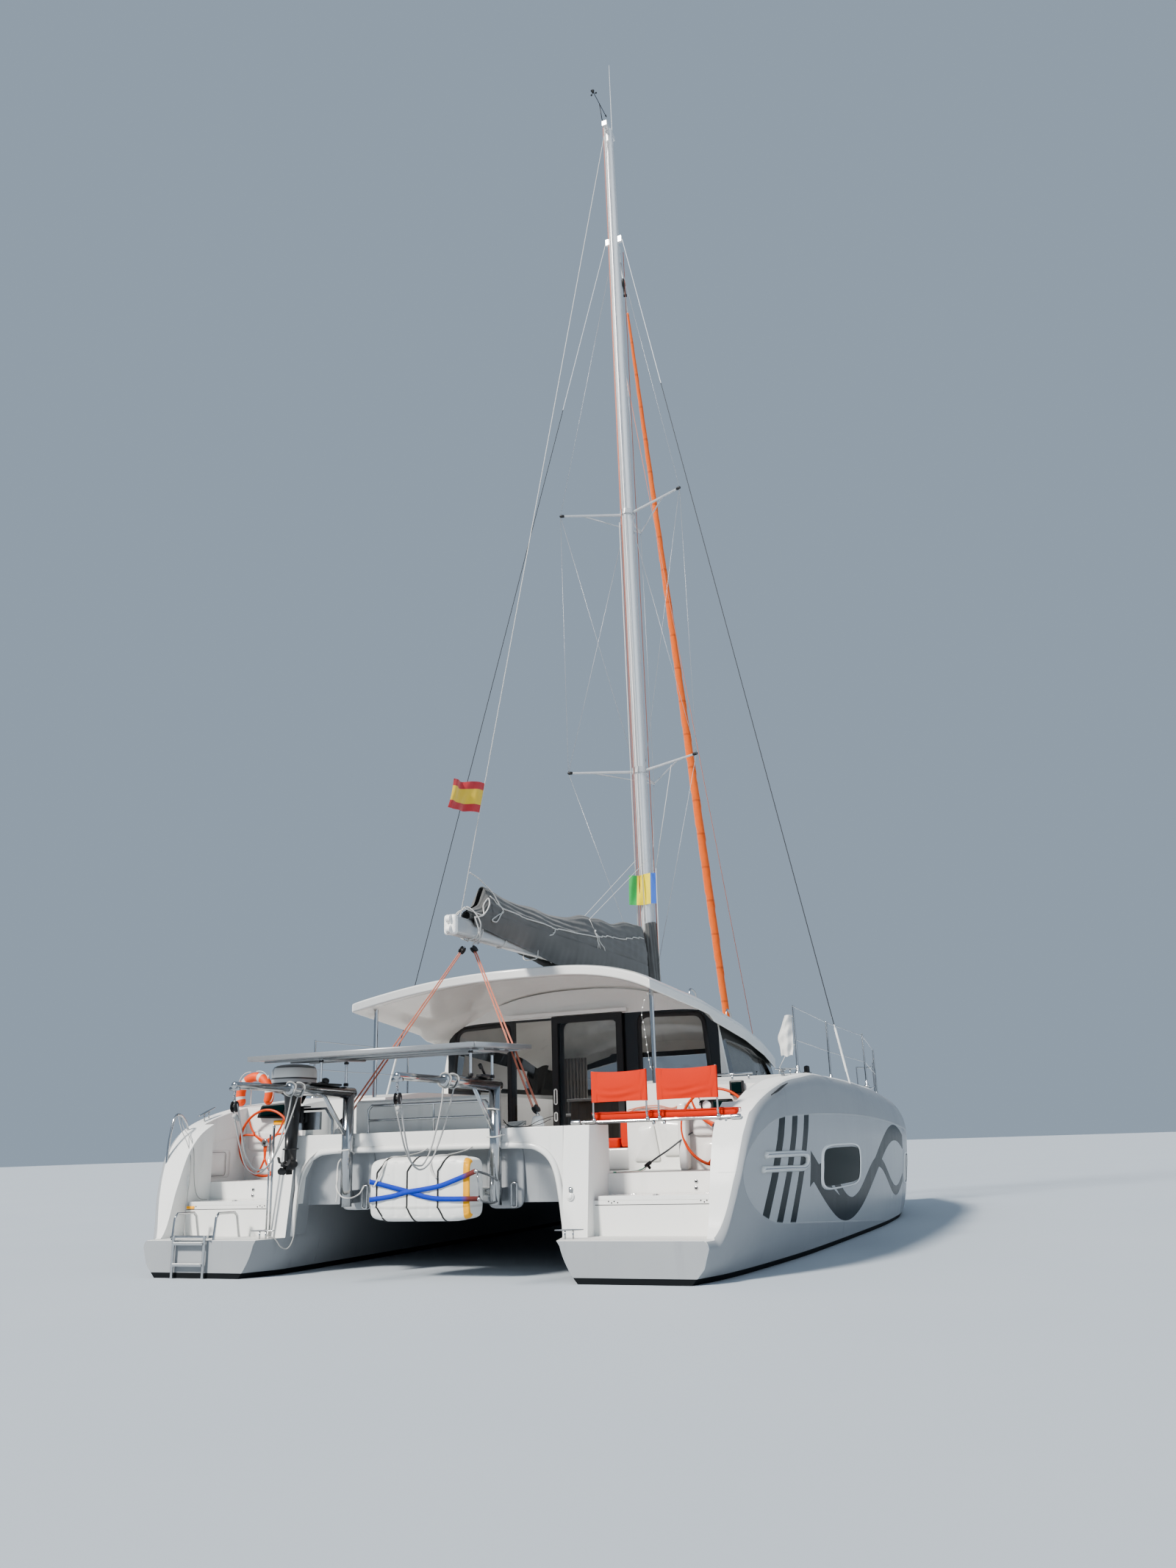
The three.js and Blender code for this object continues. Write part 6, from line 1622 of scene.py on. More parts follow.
LASHINGS = [[(.053, .428, 1.128), (.04, .33, 1.09), (-.03, .12, 1.055), (-.073, -.02, 1.042),
             (-.10, -.085, .985), (-.14, -.104, .90), (-.20, -.104, .80)],
            [(.532, .428, 1.128), (.50, .33, 1.09), (.42, .12, 1.055), (.385, -.02, 1.042),
             (.375, -.085, .985), (.39, -.104, .93), (.445, -.104, .86)]]
white_lash = []
for number, line in enumerate(LASHINGS):
    path = curve_through(line, 70)
    thick = .006 + .009 * np.exp(-((np.linspace(0, 1, 70) - .62) / .14) ** 4)
    white_lash.append(swept(path, thick, 10, up=(1, 0, 0)))
    white_lash.append(swept(path + [.012, -.004, .004], .0045, 8, up=(1, 0, 0)))
LEG_KNOTS = [[(-.86, .30, 1.12), (-.74, .29, 1.13), (-.735, .37, 1.10), (-.80, .42, 1.08), (-.865, .38, 1.06),
              (-.862, .30, 1.00), (-.868, .295, .90), (-.855, .288, .78), (-.79, .288, .70),
              (-.735, .32, .69), (-.70, .42, .72), (-.66, .46, .80)],
             [(-.862, .295, .95), (-.852, .287, .86), (-.868, .29, .80), (-.85, .286, .74),
              (-.865, .29, .66)],
             [(.87, .30, 1.44), (.80, .292, 1.45), (.733, .33, 1.455), (.733, .39, 1.45)],
             [(.735, .32, 1.205), (.80, .291, 1.20), (.868, .32, 1.21), (.868, .40, 1.22)]]
for line in LEG_KNOTS:
    white_lash.append(swept(curve_through(line, 60), .0065, 8, up=(1, .3, 0)))
for a in np.linspace(0, 9 * np.pi, 10)[:-1]:
    knot = [(.94 + .07 * np.cos(t + a) + .02 * np.sin(2 * t + a), .52 + .05 * np.sin(t * 1.3 + a),
             1.305 + .03 * np.sin(2 * t + a)) for t in np.linspace(0, 3.2, 20)]
    white_lash.append(swept(knot, .0055, 7))
fitted("raft_lashings", white_lash, white_rope, weld=False)
thin_lines = [[(.86, .40, 1.33), (.92, .46, 1.29), (1.05, .47, 1.283), (1.18, .48, 1.33), (1.30, .55, 1.37)],
              [(.86, .40, 1.35), (.90, .45, 1.288), (1.02, .455, 1.282), (1.20, .46, 1.30),
               (1.29, .52, 1.345)]]
fitted("leg_light_lines", [swept(curve_through(line, 40), .003, 6) for line in thin_lines], dark_rope,
       weld=False)


# Stern rails, the engine's bracket rail, guard rails, helm bench frame and swim ladder: bent stainless
# tube, polished and welded, on round feet screwed to the deck. The ladder's treads have white pads.
for name in ("aft_rail", "engine_rail", "ladder_rails", "guardrail_port", "guardrail_starboard",
             "helm_bench_frame", "swim_ladder"):
    softened(name, steel, degrees=50.0, slot_name="stainless")
treads = []
for z in (.31, .12, -.09, -.29, -.465):
    treads.append(slab_piece((-2.480, -.060, z + .0095), (-2.140, -.018, z + .016), .008, SOFT_LAYERS))
fitted("ladder_treads", treads, white_plastic, "ladder")
bases = []
for x, y in ((3.06, 2.95), (2.98, 5.05), (3.05, 7.10), (2.88, 8.90), (2.62, 10.35)):
    at_z = 1.762 if y < 6 else float(np.interp(y, [7.1, 8.9, 10.35], [1.757, 1.652, 1.556]))
    bases += both_sides(spun([(0, .038), (.12, .040), (.3, .024), (.9, .018), (1, .0145)],
                             (x, y, at_z - .006), (x, y, at_z + .085), 24))
    bases += both_sides(domed((x, y, at_z + .690), (x, y, at_z + .712), .0135, 14))
fitted("stanchion_feet", bases, steel, weld=False)


# Steering wheels: orange-coated rims with three flat forked spokes, a chrome boss with a black cap, on a
# shaft from the bulkhead. Each is carried by its own bearing.
orange_coat = finish_plastic("orange_powder_coat", (.46, .050, .008), .30)
WHEEL_Y, WHEEL_Z, WHEEL_R = 1.43, 1.235, .348
SPOKE_OVAL = oval(14, 1.0, .34)


def on_wheel(hub, radius, degrees):
    """A place in the wheel's plane, by its distance from the hub and its angle."""
    angle = np.radians(degrees)
    return hub + radius * np.array([np.cos(angle), 0, np.sin(angle)])


for side, word in SIDES:
    hub = np.array([side * 2.59, WHEEL_Y, WHEEL_Z])
    rim_path = [on_wheel(hub, WHEEL_R, a) for a in np.linspace(0, 360, 120, endpoint=False)]
    parts = [swept(rim_path, .0135, 14, up=(0, 1, 0), loop=True)]
    for angle in (30, 150, 270):
        knee = on_wheel(hub, WHEEL_R * .5, angle)
        blade = curve_through([on_wheel(hub, .02, angle), on_wheel(hub, .09, angle), knee], 20)
        wide = .030 - .016 * np.linspace(0, 1, 20) ** .6
        parts.append(swept(blade, wide, up=(0, 1, 0), profile=SPOKE_OVAL))
        for off in (-17, 17):
            prong = curve_through([knee - (knee - hub) * .03, on_wheel(hub, WHEEL_R * .78, angle + off * .62),
                                   on_wheel(hub, WHEEL_R, angle + off)], 16)
            parts.append(swept(prong, np.linspace(.0125, .0095, 16), up=(0, 1, 0),
                               profile=SPOKE_OVAL * [1, 2.0]))
        parts.append(domed(knee - [0, .006, 0], knee + [0, .006, 0], .016, 14))
    wheel = fitted("wheel_rim_" + word, parts, orange_coat, "wheel_" + word, weld=False)
    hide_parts("helm_wheel_" + word)
    boss = [spun([(0, .030), (.06, .040), (.35, .043), (.5, .040), (.8, .030), (1, .024)],
                 hub - [0, .022, 0], hub + [0, .030, 0], 32),
            spun([(0, .024), (1, .024)], hub + [0, .02, 0], (hub[0], 1.5525, WHEEL_Z), 20)]
    fitted("wheel_boss_" + word, boss, steel, "wheel_" + word, weld=False)
    cap = [spun([(0, .006), (.3, .018), (1, .022)], hub - [0, .030, 0], hub - [0, .020, 0], 24)]
    fitted("wheel_cap_" + word, cap, black, "wheel_" + word, weld=False)


# Helm consoles: mouldings on the well's fore wall, with a black instrument hood, dials, a throttle and
# an amber-lit switch panel.
amber = finish_plastic("amber_panel", (.80, .36, .015), .30)
dial_white = finish_plastic("dial_face", (.75, .75, .73), .25)
WALL_Y = 1.556
hoods, screens, faces, lights, mouldings, levers = [], [], [], [], [], []


def wall_plate(corners, radius, back, front, crown=.0):
    """A raised plate with rounded corners on an upright wall across the boat."""
    outline = rounded_outline(corners, radius, 5)
    middle = outline.mean(0)
    rings = [np.insert(middle + (outline - middle) * size, 1, at, axis=1)
             for size, at in ((1, back), (1, front + .004), (.985, front), (.7, front - crown),
                              (.02, front - crown * 1.2))]
    return stacked(rings)


hoods.append(wall_plate([(-2.783, 1.505), (-2.407, 1.485), (-2.352, 1.655), (-2.720, 1.640)], .02, WALL_Y,
                        WALL_Y - .055))
hoods.append(wall_plate(oblong(2.715, 1.515, 2.850, 1.652), .012, WALL_Y, WALL_Y - .045))
hoods.append(wall_plate(oblong(2.415, 1.382, 2.725, 1.488), .014, WALL_Y, WALL_Y - .030))
faces.append(spun([(0, .042), (.5, .045), (1, .036)], (2.475, WALL_Y - .024, 1.432),
                  (2.475, WALL_Y - .040, 1.432), 32))
screens.append(wall_plate(oblong(2.54, 1.395, 2.70, 1.472), .006, WALL_Y - .028, WALL_Y - .034))
screens.append(wall_plate(oblong(2.735, 1.535, 2.832, 1.636), .006, WALL_Y - .040, WALL_Y - .050))
screens.append(wall_plate([(-2.74, 1.52), (-2.44, 1.505), (-2.39, 1.638), (-2.70, 1.626)], .01, WALL_Y - .050,
                          WALL_Y - .060))
lights.append(wall_plate(oblong(-2.585, 1.426, -2.384, 1.470), .004, WALL_Y, WALL_Y - .006))
lights.append(wall_plate(oblong(2.393, 1.222, 2.520, 1.286), .004, WALL_Y, WALL_Y - .006))
for side in (1, -1):
    mouldings.append(wall_plate([(side * 2.30, 1.16), (side * 2.92, 1.16), (side * 2.90, 1.36),
                                 (side * 2.34, 1.36)][::side], .07, WALL_Y, WALL_Y - .020, .006))
    mouldings.append(wall_plate([(side * 2.38, .90), (side * 2.86, .90), (side * 2.84, 1.10),
                                 (side * 2.42, 1.10)][::side], .05, WALL_Y, WALL_Y - .012, .004))
mouldings.append(slab_piece((2.20, 1.42, .852), (2.29, 1.554, 1.47), .035, SOFT_LAYERS))
mouldings.append(slab_piece((2.34, 1.49, 1.374), (2.80, 1.553, 1.380), .02))
levers.append(bar((2.415, 1.53, 1.46), (2.405, 1.46, 1.55), .007))
levers.append(domed((2.405, 1.46, 1.545), (2.402, 1.445, 1.575), .014, 14))
levers.append(spun([(0, .03), (1, .026)], (2.42, 1.552, 1.455), (2.42, 1.53, 1.455)))
for name, parts, material, slot_name in (
        ("helm_hoods", hoods, black, "black"), ("helm_dials", faces, dial_white, "white_plastic"),
        ("helm_screens", screens, acrylic, "black"), ("helm_switch_lights", lights, amber, "orange_rim"),
        ("helm_mouldings", mouldings, white_gel, "gelcoat"), ("helm_throttle", levers, steel, "stainless")):
    fitted(name, parts, material)


# Helm bench: a padded seat along a steel frame across the stern well, behind two slung backrests.
# The seat is foam in coated cloth: cloth simulation fills its cover, then piping is sewn round its edges.
def stuffed(piece, voxel, cap):
    """Fills a closed cover by cloth simulation, with a limit on how far any point moves."""
    count, force = 20, 4.0
    scene = bpy.context.scene
    even = piece.modifiers.new("even", "REMESH")
    even.mode = "VOXEL"
    even.voxel_size = voxel
    piece.data = bpy.data.meshes.new_from_object(piece.evaluated_get(bpy.context.evaluated_depsgraph_get()))
    piece.modifiers.clear()
    size = len(piece.data.vertices) * 3
    before, after = np.empty(size), np.empty(size)
    piece.data.vertices.foreach_get("co", before)
    cloth = piece.modifiers.new("fill", "CLOTH")
    cloth.settings.use_pressure = True
    cloth.settings.uniform_pressure_force = force
    cloth.settings.effector_weights.gravity = 0.0
    cloth.settings.quality = 5
    for number in range(1, count + 1):
        scene.frame_set(number)
    filled = piece.evaluated_get(bpy.context.evaluated_depsgraph_get())
    filled.data.vertices.foreach_get("co", after)
    move = (after - before).reshape(-1, 3)
    far = np.linalg.norm(move, axis=1, keepdims=True)
    piece.modifiers.clear()
    kept = before.reshape(-1, 3) + move * np.minimum(1, cap / np.maximum(far, 1e-9))
    piece.data.vertices.foreach_set("co", kept.ravel())
    scene.frame_set(1)
    finer = piece.modifiers.new("finer", "SUBSURF")
    finer.levels = 1
    piece.data = bpy.data.meshes.new_from_object(piece.evaluated_get(bpy.context.evaluated_depsgraph_get()))
    piece.modifiers.clear()
    piece.data.polygons.foreach_set("use_smooth", [True] * len(piece.data.polygons))
    return piece


orange_cloth = finish_weave("coral_canvas", (.60, .030, .006), (.72, .048, .012), 1400.0, .02, .0003)
SEAT_LOW, SEAT_HIGH, SEAT_AFT, SEAT_FORE = 1.3225, 1.383, .632, .928
SEAT_LAYERS = ((0, .93), (.10, .985), (.30, 1), (.70, 1), (.90, .985), (1, .93))
PAD_CORNER, PAD_DRAW_IN = .035, .09
welts = []
seat_foam = slab_piece((1.645, SEAT_AFT, SEAT_LOW + .003), (3.025, SEAT_FORE, SEAT_HIGH - .003), PAD_CORNER,
                       SEAT_LAYERS, PAD_DRAW_IN)
cushion = gathered("helm_seat_pad", [seat_foam], orange_cloth)
stuffed(cushion, .0075, .007)
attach(cushion, "root")
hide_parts("helm_cushion")
for height in (SEAT_LOW + .004, SEAT_HIGH - .001):
    edge = rounded_outline(oblong(1.640, SEAT_AFT - .004, 3.029, SEAT_FORE + .004), PAD_CORNER, 12)
    welts.append(swept(np.insert(edge, 2, height, axis=1), .0035, 8, loop=True))
for x in (1.712, 2.21, 2.315, 2.868):
    seam = [(x, SEAT_AFT - .005, SEAT_LOW + .006), (x, SEAT_AFT - .006, SEAT_HIGH - .004),
            (x, SEAT_AFT + .01, SEAT_HIGH + .004), (x, (SEAT_AFT + SEAT_FORE) / 2, SEAT_HIGH + .0065),
            (x, SEAT_FORE - .01, SEAT_HIGH + .004), (x, SEAT_FORE + .006, SEAT_HIGH - .004)]
    welts.append(swept(curve_through(seam, 40), .0028, 6, up=(1, 0, 0)))
fitted("helm_seat_piping", welts,
       finish_weave("coral_piping", (.48, .022, .005), (.56, .03, .008), 1400.0, .02),
       weld=False)
BACKS = [("helm_back_inner", 1.692, 2.208, .0), ("helm_back_outer", 2.322, 2.868, .5)]
POST_Y, POST_R, HEM = .570, .0135, .045
for name, x0, x1, phase in BACKS:
    left_turn = np.linspace(-np.pi * .5, -np.pi * 1.5, 12)
    right_turn = np.linspace(-np.pi * .5, np.pi * .5, 12)
    wrap_left = np.stack([x0 + POST_R * np.cos(left_turn), POST_Y + POST_R * np.sin(left_turn)], 1)
    flat_part = np.stack([np.linspace(x0 + .002, x1 - .002, 110), np.full(110, POST_Y - POST_R)], 1)
    wrap_right = np.stack([x1 + POST_R * np.cos(right_turn), POST_Y + POST_R * np.sin(right_turn)], 1)
    back_left = np.stack([np.linspace(x0 + HEM, x0, 12)[:-1], np.full(11, POST_Y + POST_R)], 1)
    back_right = np.stack([np.linspace(x1, x1 - HEM, 12)[1:], np.full(11, POST_Y + POST_R)], 1)
    section = np.concatenate([back_left, wrap_left[::-1][:-1], flat_part, wrap_right[1:], back_right])
    up = np.linspace(0, 1, 60)
    share = (section[:, 0] - x0) / (x1 - x0)
    inside = np.clip(np.sin(np.pi * np.clip(share, 0, 1)), 0, 1)
    free = (np.arange(len(section)) > 22) & (np.arange(len(section)) < len(section) - 23)
    sag = .010 * np.sin(np.pi * np.clip(share, 0, 1)) ** .8
    top = 1.748 - 1.4 * sag
    low = 1.472 + .25 * sag
    up = up[:, None]
    share = share[None]
    z_grid = low[None] + (top - low)[None] * up
    wrinkle = (.0045 * np.sin(up * 23 + 2.6 * np.sin(share * 4 + phase) + phase * 5)
               * np.exp(-((up - .22) / .20) ** 2))
    ripple = (.0022 * np.sin(share * 60 + up * 6) * np.exp(-share * 9)
              + .002 * np.sin((1 - share) * 55 + up * 9) * np.exp(-(1 - share) * 10))
    belly = .016 * inside[None] * np.sin(np.pi * up)
    shift = (belly + wrinkle * inside[None] + ripple) * free[None]
    points = np.stack([np.broadcast_to(section[:, 0], shift.shape), section[:, 1][None] - shift * .7, z_grid],
                      -1)
    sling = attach(mesh_piece(name + "_sling", points, grid_faces(60, len(section)), orange_cloth), "root")
    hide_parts(name)
stitches = []
for name, x0, x1, phase in BACKS:
    for x in (x0 + .044, x1 - .044):
        stitches.append(bar((x, .5545, 1.478), (x, .5545, 1.738), .0012, 5))
fitted("sling_stitching", stitches, finish_weave("coral_thread", (.42, .05, .02), (.5, .07, .03)),
       weld=False)
fittings = []
for x in (1.692, 2.208, 2.322, 2.868):
    fittings += [domed((x, .5675, 1.742), (x, .5675, 1.7535), .0098, 12),
                 spun([(0, .016), (.5, .019), (1, .016)], (x, .585, 1.300), (x, .585, 1.335), 16),
                 bar((x, .572, 1.36), (x, .572, 1.376), .0125, 14)]
for x in (2.26, 2.36):
    fittings.append(spun([(0, .010), (.3, .016), (.8, .016), (1, .008)], (x, .60, 1.262), (x, .60, 1.292),
                         16))
for x in (1.50, 3.02):
    fittings.append(domed((x - .05, .60, 1.305), (x + .05, .60, 1.305), .022, 18))
fitted("bench_fittings", fittings, steel, weld=False)


# Outboard engine, stored on its bracket rail: a black lower unit with fins, and a grey and white cowl
# over a black tray. It is unmarked.
def finish_cowl():
    """Black tray, silver-grey cowl above with a white side panel."""
    cowl = Finish("engine_cowl")
    x, y, z = cowl.split()
    speck = cowl.noise(50.0, 4.0)
    dark = cowl.mix(speck, (.012, .012, .013), (.024, .024, .026))
    grey = cowl.mix(speck, (.34, .34, .345), (.40, .40, .405))
    white = (z > 1.83) * (z < 1.925) * (x > -1.52)
    tone = cowl.mix((z > 1.782) * (x > -1.565), dark, grey)
    tone = cowl.mix(white, tone, (.74, .73, .71))
    tone = cowl.mix((z > 1.815) * (z < 1.83) + (z > 1.925) * (z < 1.933), tone, (.05, .05, .055))
    return cowl.surface(tone, Roughness=speck * .12 + .26, Coat_Weight=.4)


def loft_stack(levels, centre, power=.62):
    """A soft-cornered stack of ovals. Columns: z, half x, half y, shift of y."""
    around = 44
    wide, long = signed_power(oval(around), power).T
    return stacked([np.stack([centre[0] + half_x * wide, centre[1] + shift + half_y * long,
                              np.full(around, z)], -1) for z, half_x, half_y, shift in levels])


ENGINE_X, COWL_Y = -1.43, .33
COWL_LEVELS = [(1.682, .06, .10, 0), (1.684, .118, .165, 0), (1.696, .150, .198, 0), (1.72, .166, .218, 0),
               (1.755, .172, .226, 0), (1.772, .173, .227, 0), (1.776, .166, .220, 0), (1.782, .166, .220, 0),
               (1.790, .1735, .228, 0), (1.84, .174, .230, 0), (1.90, .172, .226, 0),
               (1.930, .162, .212, .004), (1.948, .142, .186, .008), (1.958, .10, .14, .012),
               (1.960, .05, .08, .014)]
LEG_LEVELS = [(.958, .012, .060, 0), (.965, .020, .078, 0), (1.06, .030, .082, 0), (1.145, .034, .080, 0),
              (1.150, .055, .100, 0), (1.158, .055, .100, 0), (1.164, .040, .075, 0),
              (1.30, .050, .074, .004), (1.50, .062, .078, .006), (1.66, .070, .10, .006),
              (1.684, .10, .13, 0)]
engine_parts = [loft_stack(COWL_LEVELS, (ENGINE_X, COWL_Y)),
                loft_stack(LEG_LEVELS, (ENGINE_X, .315), power=.8)]
fins = [spun([(0, .006), (.12, .030), (.4, .048), (.75, .052), (1, .036)], (ENGINE_X, .42, 1.01),
             (ENGINE_X, .236, 1.01), 24),
        slab_piece((ENGINE_X - .006, .25, .916), (ENGINE_X + .006, .36, .975), .005,
                   ((0, .8), (1, 1))),
        slab_piece((ENGINE_X - .050, .40, 1.40), (ENGINE_X + .050, .448, 1.555), .015, SOFT_LAYERS),
        slab_piece((ENGINE_X - .075, .40, 1.548), (ENGINE_X + .075, .525, 1.562), .01, SOFT_LAYERS),
        *(bar((ENGINE_X + step, .40, 1.46), (ENGINE_X + step, .452, 1.44), .016) for step in (-.03, .03)),
        bar((ENGINE_X, .46, 1.60), (ENGINE_X - .02, .552, 1.68), .018, 14),
        domed((ENGINE_X - .02, .54, 1.67), (ENGINE_X - .03, .548, 1.74), .022, 14)]
for blade in range(3):
    base_angle = blade * 2 * np.pi / 3 + .35
    span, chord = np.meshgrid(np.linspace(0, 1, 12), np.linspace(-1, 1, 12), indexing="ij")
    radius = .030 + .064 * span
    sweep_angle = base_angle + chord * (.20 + .50 * np.sin(np.pi * np.clip(span * .85 + .1, 0, 1))) * .75
    depth = .208 + chord * .030 * (1 - .3 * span)
    front = np.stack([ENGINE_X + radius * np.cos(sweep_angle), depth - .003,
                      1.01 + radius * np.sin(sweep_angle)], -1)
    fins.append(closed_sheet(front, front + [0, .006, 0]))
fins.append(spun([(0, .010), (.2, .022), (1, .030)], (ENGINE_X, .182, 1.01), (ENGINE_X, .240, 1.01), 24))
engine = fitted("engine_cowl_and_leg", engine_parts, finish_cowl())
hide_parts("outboard_engine")
fitted("engine_lower_unit", fins, black)
plate = [slab_piece((-1.392, .492, 1.25), (-1.300, .502, 1.50), .003)]
for at_z in (1.28, 1.36, 1.44):
    plate.append(spun([(0, .008), (1, .006)], (-1.345, .492, at_z), (-1.345, .486, at_z), 12))
fitted("engine_bracket_plate", plate, white_plastic)


# Lifebuoy: a foam horseshoe in a sewn orange cover, with grey-white bands and a grab line round it.
# It hangs in a bracket of bent steel rod on the port guard rail.
BUOY_MIDDLE, BUOY_R, BUOY_FAT = np.array([-2.92, 1.63, 1.765]), .200, .055


def finish_buoy():
    """Orange coated cloth with reflecting bands at even angles round the horseshoe."""
    cover = Finish("buoy_cover")
    x, y, z = cover.split()
    angle = (z - BUOY_MIDDLE[2]).math("ARCTAN2", x - BUOY_MIDDLE[0])
    band = 1 - (abs(((angle + .35) / 1.05).math("FRACT") - .5) > .09)
    wear = cover.noise(30.0, 4.0)
    tone = cover.mix(wear, (.78, .07, .012), (.90, .13, .03))
    tone = cover.mix(band, tone, (.62, .62, .60))
    weave = ((x + y) * 1500.0).math("SINE") * ((z - y) * 1500.0).math("SINE")
    return cover.surface(tone, bump=weave * .3 + wear, depth=.0005, Roughness=wear * .1 + .5)


turn = np.radians(np.linspace(-34, 214, 150))
buoy_line = BUOY_MIDDLE + BUOY_R * np.stack([np.cos(turn), 0 * turn, np.sin(turn)], -1)
near_end = np.minimum(np.linspace(0, 1, 150), np.linspace(1, 0, 150)) * np.radians(248) * BUOY_R
plump = BUOY_FAT * np.sqrt(1 - np.clip(1 - near_end / BUOY_FAT, 0, .98) ** 2)
plump *= 1 - .022 * np.exp(-((np.mod(np.degrees(turn) + 20, 60) - 30) / 3.0) ** 2)
horseshoe = swept(buoy_line, plump, up=(0, 1, 0), profile=oval(32, .92, 1.0))
buoy = fitted("lifebuoy_cover", [horseshoe], finish_buoy())
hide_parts("lifebuoy")
grab = []
for first in (-20, 40, 100, 160):
    arc = np.radians(np.linspace(first, first + 44, 24))
    out = (BUOY_R + .058 + .018 * np.sin(np.linspace(0, np.pi, 24)))[:, None]
    grab.append(swept(BUOY_MIDDLE - [0, .03, 0] + out * np.stack([np.cos(arc), 0 * arc, np.sin(arc)], -1),
                      .004, 8, up=(0, 1, 0)))
grab += [bar((x, 1.70, 1.60), (x, 1.70, 1.98), .008) for x in (-3.03, -2.80)]
grab.append(bar((-3.03, 1.70, 1.93), (-2.80, 1.70, 1.93), .006))
fitted("lifebuoy_grab_line", grab, white_rope, weld=False)


# Trampolines: knotless white netting between the hulls, laced with cord to the beam and the deck edges.
# Each is cut to its opening and has a webbing tape stitched round it.
def finish_net():
    """Diamond netting: two sets of flat cords with open gaps between them."""
    net = Finish("trampoline_net")
    x, y, z = net.split()
    strands = [abs((way / .045).math("FRACT") - .5) > .34 for way in (x + y, x - y + 40.0)]
    tone = net.mix(net.noise(2.5, 4.0), (.60, .60, .58), (.76, .76, .74))
    return net.surface(tone, Alpha=(strands[0] + strands[1]).math("MINIMUM", 1.0), Roughness=.8)


net_finish = finish_net()
for word in ("starboard", "port"):
    cut = bmesh.new()
    cut.from_mesh(NODES["trampoline_" + word].data)
    bmesh.ops.remove_doubles(cut, verts=cut.verts, dist=2e-4)
    cut.normal_update()
    bmesh.ops.delete(cut, geom=[face for face in cut.faces if face.normal.z < .5], context="FACES")
    cut.verts.index_update()
    places = [tuple(corner.co) for corner in cut.verts]
    cells = [[corner.index for corner in face.verts] for face in cut.faces]
    follows = {}
    for face in cut.faces:
        for loop in face.loops:
            if loop.edge.is_boundary:
                follows[loop.vert.index] = loop.link_loop_next.vert.index
    rim = [next(iter(follows))]
    while follows[rim[-1]] != rim[0] and len(rim) <= len(follows):
        rim.append(follows[rim[-1]])
    cut.free()
    net_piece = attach(mesh_piece("trampoline_net_" + word, places, cells, net_finish), "root")
    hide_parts("trampoline_" + word)
    low, high = np.min(places, 0), np.max(places, 0)
    wide, long = float(high[0] - low[0]), float(high[1] - low[1])
    rim_line = np.array([places[i] for i in rim + rim[:1]])
    way = way_along(rim_line)
    even = np.linspace(0, way[-1], 260, endpoint=False)
    edge = np.stack([np.interp(even, way, rim_line[:, i]) for i in range(3)], 1)
    run = np.roll(edge, -1, 0) - np.roll(edge, 1, 0)
    outward = np.cross(run, (0, 0, 1.0))
    outward /= np.linalg.norm(outward, axis=1, keepdims=True)
    tape = swept(edge - outward * .012, 1.0, up=(0, 0, 1), loop=True, profile=np.array([
        (-.022, .0005), (-.022, .004), (.022, .004), (.022, .0005)]))
    fitted("trampoline_tape_" + word, [tape],
           finish_weave("net_tape_" + word, (.50, .50, .48), (.66, .66, .63)), weld=False)
    zigzag = edge + outward * np.where(np.arange(260) % 4 < 2, -.014, .020)[:, None] + [0, 0, .007]
    fitted("trampoline_lacing_" + word, [swept(zigzag, .003, 6, loop=True)], white_rope, weld=False)


# Beams: anodised tubes, the forward one across the bows and the centre one down the middle of the net.
# Stainless end straps hold them, and the bow roller for the anchor chain hangs under the centre beam.
for name in ("crossbeam", "centre_beam"):
    softened(name, spar, degrees=40.0, slot_name="aluminium")


def hoop(centre, radius, thick, axis, count):
    """A round ring of thin bar, square to one axis."""
    line = np.insert(radius * oval(count), axis, 0.0, axis=1) + np.asarray(centre)
    return swept(line, thick, 8, up=np.eye(3)[axis], loop=True)


BEAM_Y, BEAM_Z = 11.45, 1.33
beam_fittings = [hoop((x, BEAM_Y, BEAM_Z), .0885, .007, 0, 40) for x in (-2.02, -1.90, 1.90, 2.02, -.10, .10)]
for side in (1, -1):
    beam_fittings += [spun([(0, .016), (.3, .020), (.7, .020), (1, .012)],
                           (side * (1.9 - t), 11.45, 1.39 + t * .0947),
                           (side * (1.78 - t), 11.45, 1.4014 + t * .0947), 16) for t in (0, .14)]
beam_fittings += [slab_piece((x - .003, 11.05, 1.13), (x + .003, 11.36, 1.24), .001) for x in (-.052, .052)]
beam_fittings.append(bar((-.062, 11.2, 1.2), (.062, 11.2, 1.2), .010))
fitted("beam_straps", beam_fittings, steel)


# Under water: keels and rudders in dull dark antifouling, grey sail-drive legs and bronze propellers.
# None of it shows in the picture; each keeps the form that its part has in the frame.
def finish_antifouling(name, tone, worn):
    """Matt antifouling: roller marks and worn edges."""
    paint = Finish(name)
    rolled = paint.noise(14.0, 3.0, paint.stretch((1.0, .35, 1.6)))
    rubbed = paint.noise(3.2, 6.0).ramp(.58, .78)
    mixed = paint.mix(rolled, tone, tuple(1.5 * part + .004 for part in tone))
    mixed = paint.mix(rubbed * .45, mixed, worn)
    return paint.surface(mixed, bump=rolled * .6 + paint.noise(60.0, 2.0) * .4, depth=.0008,
                         Roughness=rubbed * .1 + .68)


def finish_bronze():
    """Cast bronze with a brown patina, brighter where the blades are rubbed."""
    cast = Finish("cast_bronze")
    age = cast.noise(9.0, 5.0)
    tone = cast.mix(age, (.46, .27, .11), (.24, .17, .09))
    return cast.surface(tone, bump=cast.noise(120.0, 2.0), depth=.0003, Metallic=.9, Roughness=age * .3 + .22)


